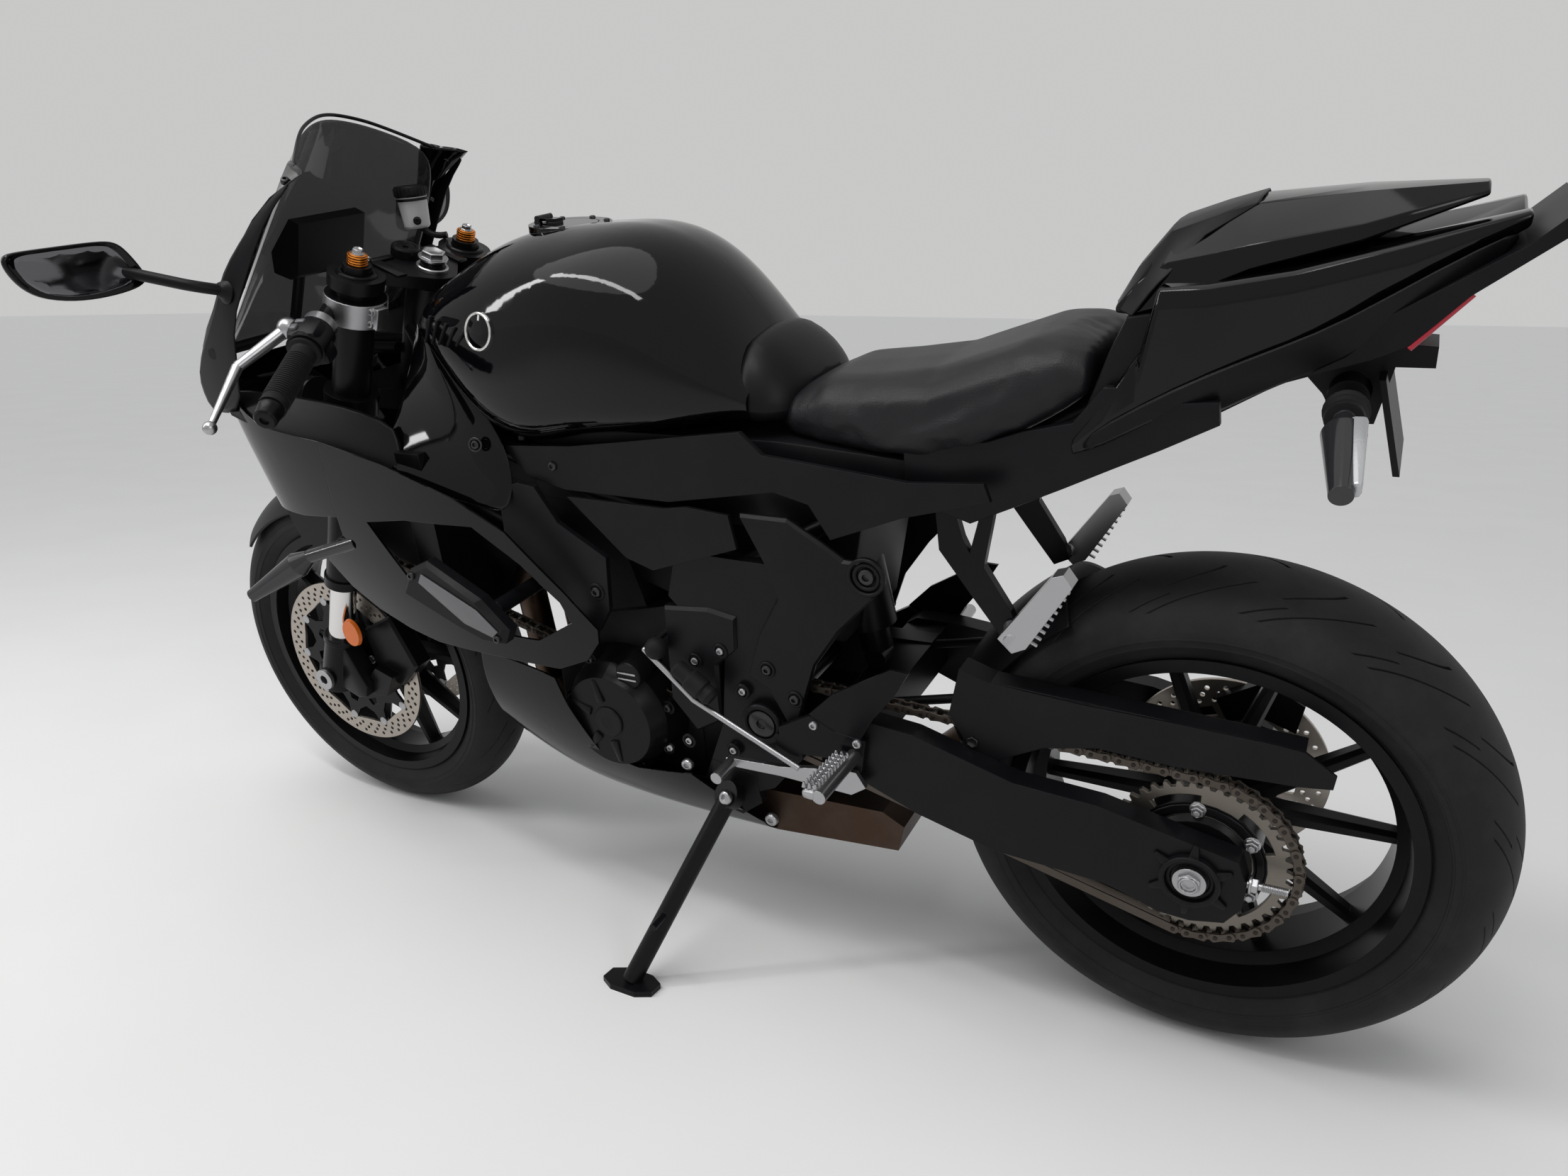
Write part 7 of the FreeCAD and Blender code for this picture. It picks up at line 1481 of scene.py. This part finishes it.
def make_cowl():
    """The solo cowl with its ridges, its satin front pad, and the tail's side shells."""
    shell, pad, tail, lower, strip = drafts(5)
    add_loft(shell, [section(x, half) for x, half in COWL_SECTIONS])
    right = [[(x, -y, z) for x, y, z in row] for row in reversed(PAD_ROWS[1:])]
    add_skin(pad, right + PAD_ROWS, 0.0022)
    add_loft(tail, [section(x, half) for x, half in TAIL_SECTIONS])
    for side in (LEFT, RIGHT):
        add_skin(lower, on_side(TAIL_LOWER_ROWS, side), 0.0022)
        add_rod(strip, (-0.1385, side * 0.0815, 0.887), (-0.1812, side * 0.08, 0.9345), 0.003, 12)
    cowl = new_piece(
        "tail_cowl_shell", shell, "chassis", "gloss_black", sharp=24.0, replaces=("seat_cowl",)
    )
    edged(cowl, 0.003)
    edged(new_piece("tail_cowl_pad", pad, "chassis", "matt_black", sharp=30.0), 0.0015)
    sides = new_piece(
        "tail_side_shell", tail, "chassis", "gloss_black", sharp=22.0, replaces=("tail_fairing",)
    )
    edged(sides, 0.003)
    softened(new_piece("tail_lower_skins", lower, "chassis", "matt_black"), 1)
    new_piece("tail_lamp_strips", strip, "chassis", "red_lens")


CAP_AT = Vector((0.836, 0, 1.006))
CAP_SLOPE = 0.052
BADGE_DISC = [(0, 0), (0.0215, 0), (0.0215, 0.004), (0.02, 0.0046), (0.006, 0.0052), (0, 0.0052)]
FIN_COUNT = 5
# The outline of the grey strip of painted highlight on each crash pad.
PAD_HIGHLIGHT = [(1.0, 0.575), (0.992, 0.588), (0.905, 0.547), (0.874, 0.519), (0.884, 0.51), (0.93, 0.524)]


def make_tank_details():
    """The seven screws of the filler lid's ring."""
    screws = bmesh.new()
    up = Vector((-CAP_SLOPE, 0, 0.9986))
    for i in range(7):
        x, y = polar(0.047, 360 * i / 7 + 12)
        add_button(screws, CAP_AT + Vector((x, y, x * CAP_SLOPE)), up, 0.0042, 0.0024)
    new_piece("cap_ring_screws", screws, "chassis", "steel", "dark_steel")


def make_badge_and_louvers():
    """A bare badge disc in its bright ring, and five slanted fins, on each tank side."""
    discs, rings, fins = drafts(3)
    for side in (LEFT, RIGHT):
        at, out = on_surface("fuel_tank", 0.874, 0.9, side)
        add_lathe(discs, at - out * 0.002, out, BADGE_DISC, 40)
        add_ring(rings, at - out * 0.002, out, 0.024, 0.0205, 0.0058)
        for i in range(FIN_COUNT):
            share = i / (FIN_COUNT - 1)
            at, out = on_surface("fuel_tank", 0.982 - 0.072 * share, 0.896 - 0.006 * share, side)
            down = Vector((0.028, 0, -0.052 + 0.006 * i))
            down = (down - out * down.dot(out)).normalized()
            turn = Matrix((down, out.cross(down), out)).transposed().to_4x4()
            add_block(fins, Matrix.Translation(at) @ turn, (0.04 - 0.003 * i, 0.0045, 0.006), 0.7, 0.0018)
    new_piece("tank_badge_discs", discs, "chassis", "gloss_black")
    new_piece("tank_badge_rings", rings, "chassis", "chrome")
    new_piece("tank_fins", fins, "chassis", "matt_black")


def make_pads():
    """Grey strips of painted highlight on the crash pads, and the pads' screws."""
    highlight_strips, screws = drafts(2)
    for side in (LEFT, RIGHT):
        # The grey strip is painted highlight on the black crash pad.
        add_plate(highlight_strips, PAD_HIGHLIGHT, side * 0.2362, side * 0.2385, 0.0008)
        for x, z in ((1.012, 0.583), (0.878, 0.508)):
            add_button(screws, (x, side * 0.236, z), (0, side, 0), 0.0058, 0.004)
    new_piece("crash_pad_highlights", highlight_strips, "chassis", "alloy", "pad_highlight")
    new_piece("crash_pad_screws", screws, "chassis", "steel", "dark_steel")


def make_lamps():
    """Oval reflectors on the fork, and the rear indicators with their ribbed boots."""
    amber, stays, lens, boots = drafts(4)
    for side in (LEFT, RIGHT):
        at, out = Vector((1.3145, side * 0.124, 0.393)), Vector((0, side, 0))
        part = bmesh.new()
        bmesh.ops.create_cone(part, cap_ends=True, segments=36, radius1=0.022, radius2=0.02, depth=0.006)
        bmesh.ops.scale(part, vec=(0.86, 1.12, 1.0), verts=part.verts)
        joined(amber, part, facing(at, out))
        add_rod(stays, at - out * 0.002, at - out * 0.014, 0.017, 28)
        add_rod(stays, at - out * 0.01, fork_point(0, side * 0.108, 0.11), 0.007, 14)
        root, tip = Vector((-0.096, side * 0.14, 0.832)), Vector((-0.104, side * 0.235, 0.8))
        middle = (root + tip) / 2 + Vector((-0.0115, 0, 0.001))
        place = Matrix.Translation(middle) @ towards((tip - root).normalized())
        add_block(lens, place, (0.088, 0.015, 0.03), 0.55, 0.004)
        for i in range(3):
            at = Vector((-0.0955, side * (0.094 + 0.011 * i), 0.832))
            base, rim = 0.02 - 0.0015 * i, 0.0205 - 0.0015 * i
            add_lathe(boots, at, out, [(0, 0), (base, 0.001), (rim, 0.005), (0.0165, 0.0095), (0, 0.01)], 24)
    new_piece("indicator_lenses", lens, "chassis", "clear_lens", "lamp_lens")
    new_piece("indicator_boots", boots, "chassis", "rubber")
    new_piece("fork_reflectors", amber, "steering", "clear_lens", "amber_lens")
    new_piece("reflector_stays", stays, "steering", "matt_black")


FOOT_LUG = [
    (-0.006, -0.014), (-0.06, -0.014), (-0.076, -0.002), (-0.076, 0.02), (-0.06, 0.034), (-0.024, 0.07),
    (-0.006, 0.07),
]
FOOT_CASTING = [
    (0, -0.03), (0.022, -0.03), (0.0268, -0.027), (0.0282, -0.018), (0.0272, 0.03), (0.0262, 0.06),
    (0.0262, 0.07), (0.0282, 0.072), (0.0282, 0.08), (0.0262, 0.082), (0, 0.082),
]


class MOTORCYCLE_OT_fork_feet(bpy.types.Operator):
    """Chrome inner tubes in their black castings, with caliper lugs and pinch bolts"""
    bl_idname = "motorcycle.fork_feet"
    bl_label = "Fork feet"

    def execute(self, context):
        tubes, castings, bolts = drafts(3)
        for side in (LEFT, RIGHT):
            y = side * FORK_HALF
            add_rod(tubes, fork_point(0, y, 0.07), fork_point(0, y, 0.1895), 0.0205, 48)
            add_lathe(castings, fork_point(0, y, 0), fork_way(0, 0, 1), FOOT_CASTING, 48)
            add_plate(castings, FOOT_LUG, y - 0.016, y + 0.016, 0.003, place=FORK)
            clamp = FORK @ Matrix.Translation((0.024, y, -0.01))
            add_block(castings, clamp, (0.022, 0.03, 0.034), 0.9, 0.004)
            out = Vector((0, side, 0))
            add_ring(castings, fork_point(0, side * (FORK_HALF + 0.027), 0), out, 0.019, 0.012, 0.004)
            for lift in (-0.018, -0.002):
                add_button(bolts, fork_point(0.035, y, lift), fork_way(1, 0, 0), 0.005, 0.004)
        new_piece("fork_inner_tubes", tubes, "steering", "chrome", replaces=("fork_lowers",))
        new_piece("fork_foot_castings", castings, "steering", "cast_black")
        new_piece("fork_foot_bolts", bolts, "steering", "steel", "dark_steel")
        return {"FINISHED"}


class MOTORCYCLE_OT_stage(bpy.types.Operator):
    """Floor, lights and camera"""
    bl_idname = "motorcycle.stage"
    bl_label = "Stage"

    def execute(self, context):
        make_floor()
        make_world()
        make_lights()
        make_camera()
        return {"FINISHED"}


FLOOR_TONES = {"A": (0.78, 0.775, 0.765, 1), "B": (0.83, 0.825, 0.82, 1)}
AMBIENT_COLOUR, AMBIENT_STRENGTH = (0.95, 0.97, 1.0, 1), 0.34
SKY_DIRECTION, SKY_SPREAD = Vector((-0.25, -0.3, -1)), math.radians(60)
# Area lights: name, place, what it points at, size, power.
AREA_LIGHTS = [
    ("overhead tubes", (0.5, 1.3, 3.0), (0.2, 0, 0.6), (2.6, 0.22), 30),
    ("front tubes", (2.4, 1.6, 2.2), (0.7, 0, 0.6), (0.2, 1.8), 22),
    ("rear window", (-2.6, 1.6, 1.8), (-0.4, 0, 0.6), (0.8, 1.2), 12),
]


def make_floor():
    """A wide pale floor, faintly clouded."""
    bm = bmesh.new()
    bmesh.ops.create_grid(bm, x_segments=1, y_segments=1, size=40.0)
    mesh = bpy.data.meshes.new("floor")
    bm.to_mesh(mesh)
    bm.free()
    floor = in_scene("floor", mesh)
    material, nodes, links = new_material("Pale floor")
    shader = nodes["Principled BSDF"]
    shader.inputs["Specular IOR Level"].default_value = 0.2
    shader.inputs["Roughness"].default_value = 0.7
    clouds = noise_into(nodes, links, nodes.new("ShaderNodeTexCoord").outputs["Object"], 3.0, 6.0)
    mix = nodes.new("ShaderNodeMix")
    mix.data_type = "RGBA"
    for socket, tone in FLOOR_TONES.items():
        mix.inputs[socket].default_value = tone
    links.new(clouds.outputs["Fac"], mix.inputs["Factor"])
    links.new(mix.outputs["Result"], shader.inputs["Base Color"])
    mesh.materials.append(material)


def in_scene(name, data):
    """A new object of that data, linked to the scene."""
    obj = bpy.data.objects.new(name, data)
    bpy.context.scene.collection.objects.link(obj)
    return obj


def aimed(direction):
    """The rotation that points a light along a direction."""
    return direction.to_track_quat("-Z", "Y").to_euler()


def larger_of(nodes, links, first, second):
    """The larger of two values."""
    larger = nodes.new("ShaderNodeMath")
    larger.operation = "MAXIMUM"
    links.new(first, larger.inputs[0])
    links.new(second, larger.inputs[1])
    return larger.outputs[0]


def make_world():
    """A dim even glow for the light, and the plain wall where the camera or a reflection looks."""
    world = bpy.data.worlds.new("Studio")
    world.use_nodes = True
    bpy.context.scene.world = world
    nodes, links = world.node_tree.nodes, world.node_tree.links
    dim = nodes["Background"]
    dim.inputs["Color"].default_value = AMBIENT_COLOUR
    dim.inputs["Strength"].default_value = AMBIENT_STRENGTH
    wall = nodes.new("ShaderNodeBackground")
    wall.inputs["Color"].default_value = (*bpy.context.scene.motorcycle_colours.backdrop, 1)
    wall.inputs["Strength"].default_value = 1.0
    rays = nodes.new("ShaderNodeLightPath").outputs
    seen = larger_of(nodes, links, rays["Is Camera Ray"], rays["Is Transmission Ray"])
    clear = larger_of(nodes, links, seen, rays["Is Glossy Ray"])
    mix = nodes.new("ShaderNodeMixShader")
    links.new(clear, mix.inputs[0])
    links.new(dim.outputs[0], mix.inputs[1])
    links.new(wall.outputs[0], mix.inputs[2])
    links.new(mix.outputs[0], nodes["World Output"].inputs["Surface"])


def make_lights():
    """A soft sky overhead and three area lights."""
    sky = bpy.data.lights.new("soft sky", "SUN")
    sky.energy = 1.0
    sky.angle = SKY_SPREAD
    in_scene("soft sky", sky).rotation_euler = aimed(SKY_DIRECTION)
    for name, place, target, size, power in AREA_LIGHTS:
        light = bpy.data.lights.new(name, "AREA")
        light.shape = "RECTANGLE"
        light.size, light.size_y = size
        light.energy = power
        obj = in_scene(name, light)
        obj.location = place
        obj.rotation_euler = aimed(Vector(target) - Vector(place))


# The photograph's camera in the machine frame, and the way its right and its down point.
CAMERA_AT = Vector((-0.1348, 1.2107, 1.1533))
CAMERA_LENS = 25.87
CAMERA_SENSOR = 36.0
CAMERA_RIGHT = Vector((-0.880214, -0.466615, -0.086566))
CAMERA_DOWN = Vector((-0.123915, 0.402054, -0.907192))


def make_camera():
    """The camera that the photograph was taken with, as fitted to it."""
    camera = bpy.data.cameras.new("camera")
    camera.lens = CAMERA_LENS
    camera.sensor_width = CAMERA_SENSOR
    camera.clip_start = 0.02
    obj = in_scene("camera", camera)
    right, up = CAMERA_RIGHT, -CAMERA_DOWN
    back = right.cross(up)
    turn = Matrix((right, up, back)).transposed()
    obj.matrix_world = PARKED @ Matrix.Translation(CAMERA_AT) @ turn.to_4x4()
    bpy.context.scene.camera = obj


class MotorcycleSizes(bpy.types.PropertyGroup):
    """Sizes that the frame leaves open"""
    tread_depth: bpy.props.FloatProperty(
        name="Tread depth", description="How deep the tyre grooves are cut",
        default=0.0032, min=0.001, max=0.006, subtype="DISTANCE", unit="LENGTH",
    )
    seat_swell: bpy.props.FloatProperty(
        name="Seat swell", description="How far the seat cover may rise over its foam",
        default=0.004, min=0.0, max=0.009, subtype="DISTANCE", unit="LENGTH",
    )
    skin_thickness: bpy.props.FloatProperty(
        name="Skin thickness", description="Wall of the moulded body skins",
        default=0.003, min=0.0015, max=0.005, subtype="DISTANCE", unit="LENGTH",
    )


class MotorcycleColours(bpy.types.PropertyGroup):
    """Colours of the paint, the plastics, the fork adjusters and the studio wall"""
    gloss_paint: bpy.props.FloatVectorProperty(
        name="Gloss paint", description="Colour of the painted panels",
        default=(0.0015, 0.0015, 0.002), min=0.0, max=1.0, size=3, subtype="COLOR",
    )
    plastic: bpy.props.FloatVectorProperty(
        name="Plastic", description="Colour of the unpainted covers",
        default=(0.0042, 0.0042, 0.0052), min=0.0, max=1.0, size=3, subtype="COLOR",
    )
    adjusters: bpy.props.FloatVectorProperty(
        name="Fork adjusters", description="Colour of the anodised adjusters on the fork tops",
        default=(0.75, 0.24, 0.03), min=0.0, max=1.0, size=3, subtype="COLOR",
    )
    backdrop: bpy.props.FloatVectorProperty(
        name="Backdrop", description="Colour of the wall behind the machine",
        default=(0.58, 0.58, 0.575), min=0.0, max=1.0, size=3, subtype="COLOR",
    )


class MOTORCYCLE_PT_pieces(bpy.types.Panel):
    """Lists the sizes, the colours and the steps that build the machine"""
    bl_idname = "MOTORCYCLE_PT_pieces"
    bl_label = "Motorcycle"
    bl_space_type = "VIEW_3D"
    bl_region_type = "UI"
    bl_category = "Motorcycle"

    def draw(self, context):
        for group in (context.scene.motorcycle_sizes, context.scene.motorcycle_colours):
            for name in group.__annotations__:
                self.layout.prop(group, name)
        for operator in OPERATORS:
            self.layout.operator(operator.bl_idname)


OPERATORS = [
    MOTORCYCLE_OT_frame_finishes,
    MOTORCYCLE_OT_tyres,
    MOTORCYCLE_OT_discs,
    MOTORCYCLE_OT_chain,
    MOTORCYCLE_OT_seat,
    MOTORCYCLE_OT_controls,
    MOTORCYCLE_OT_engine_details,
    MOTORCYCLE_OT_frame_details,
    MOTORCYCLE_OT_foot_details,
    MOTORCYCLE_OT_stand_details,
    MOTORCYCLE_OT_body_details,
    MOTORCYCLE_OT_panels,
    MOTORCYCLE_OT_fork_feet,
    MOTORCYCLE_OT_stage,
]
CLASSES = [MotorcycleSizes, MotorcycleColours] + OPERATORS + [MOTORCYCLE_PT_pieces]


def register():
    for cls in CLASSES:
        bpy.utils.register_class(cls)
    bpy.types.Scene.motorcycle_sizes = bpy.props.PointerProperty(type=MotorcycleSizes)
    bpy.types.Scene.motorcycle_colours = bpy.props.PointerProperty(type=MotorcycleColours)


def unregister():
    del bpy.types.Scene.motorcycle_colours
    del bpy.types.Scene.motorcycle_sizes
    for cls in reversed(CLASSES):
        bpy.utils.unregister_class(cls)


def main():
    register()
    bpy.context.scene.view_settings.view_transform = "Standard"
    bpy.ops.motorcycle.frame_finishes()
    bpy.ops.motorcycle.tyres()
    bpy.ops.motorcycle.discs()
    bpy.ops.motorcycle.chain()
    bpy.ops.motorcycle.seat()
    bpy.ops.motorcycle.controls()
    bpy.ops.motorcycle.engine_details()
    bpy.ops.motorcycle.frame_details()
    bpy.ops.motorcycle.foot_details()
    bpy.ops.motorcycle.stand_details()
    bpy.ops.motorcycle.body_details()
    bpy.ops.motorcycle.panels()
    bpy.ops.motorcycle.fork_feet()
    bpy.ops.motorcycle.stage()


if __name__ == "__main__":
    main()
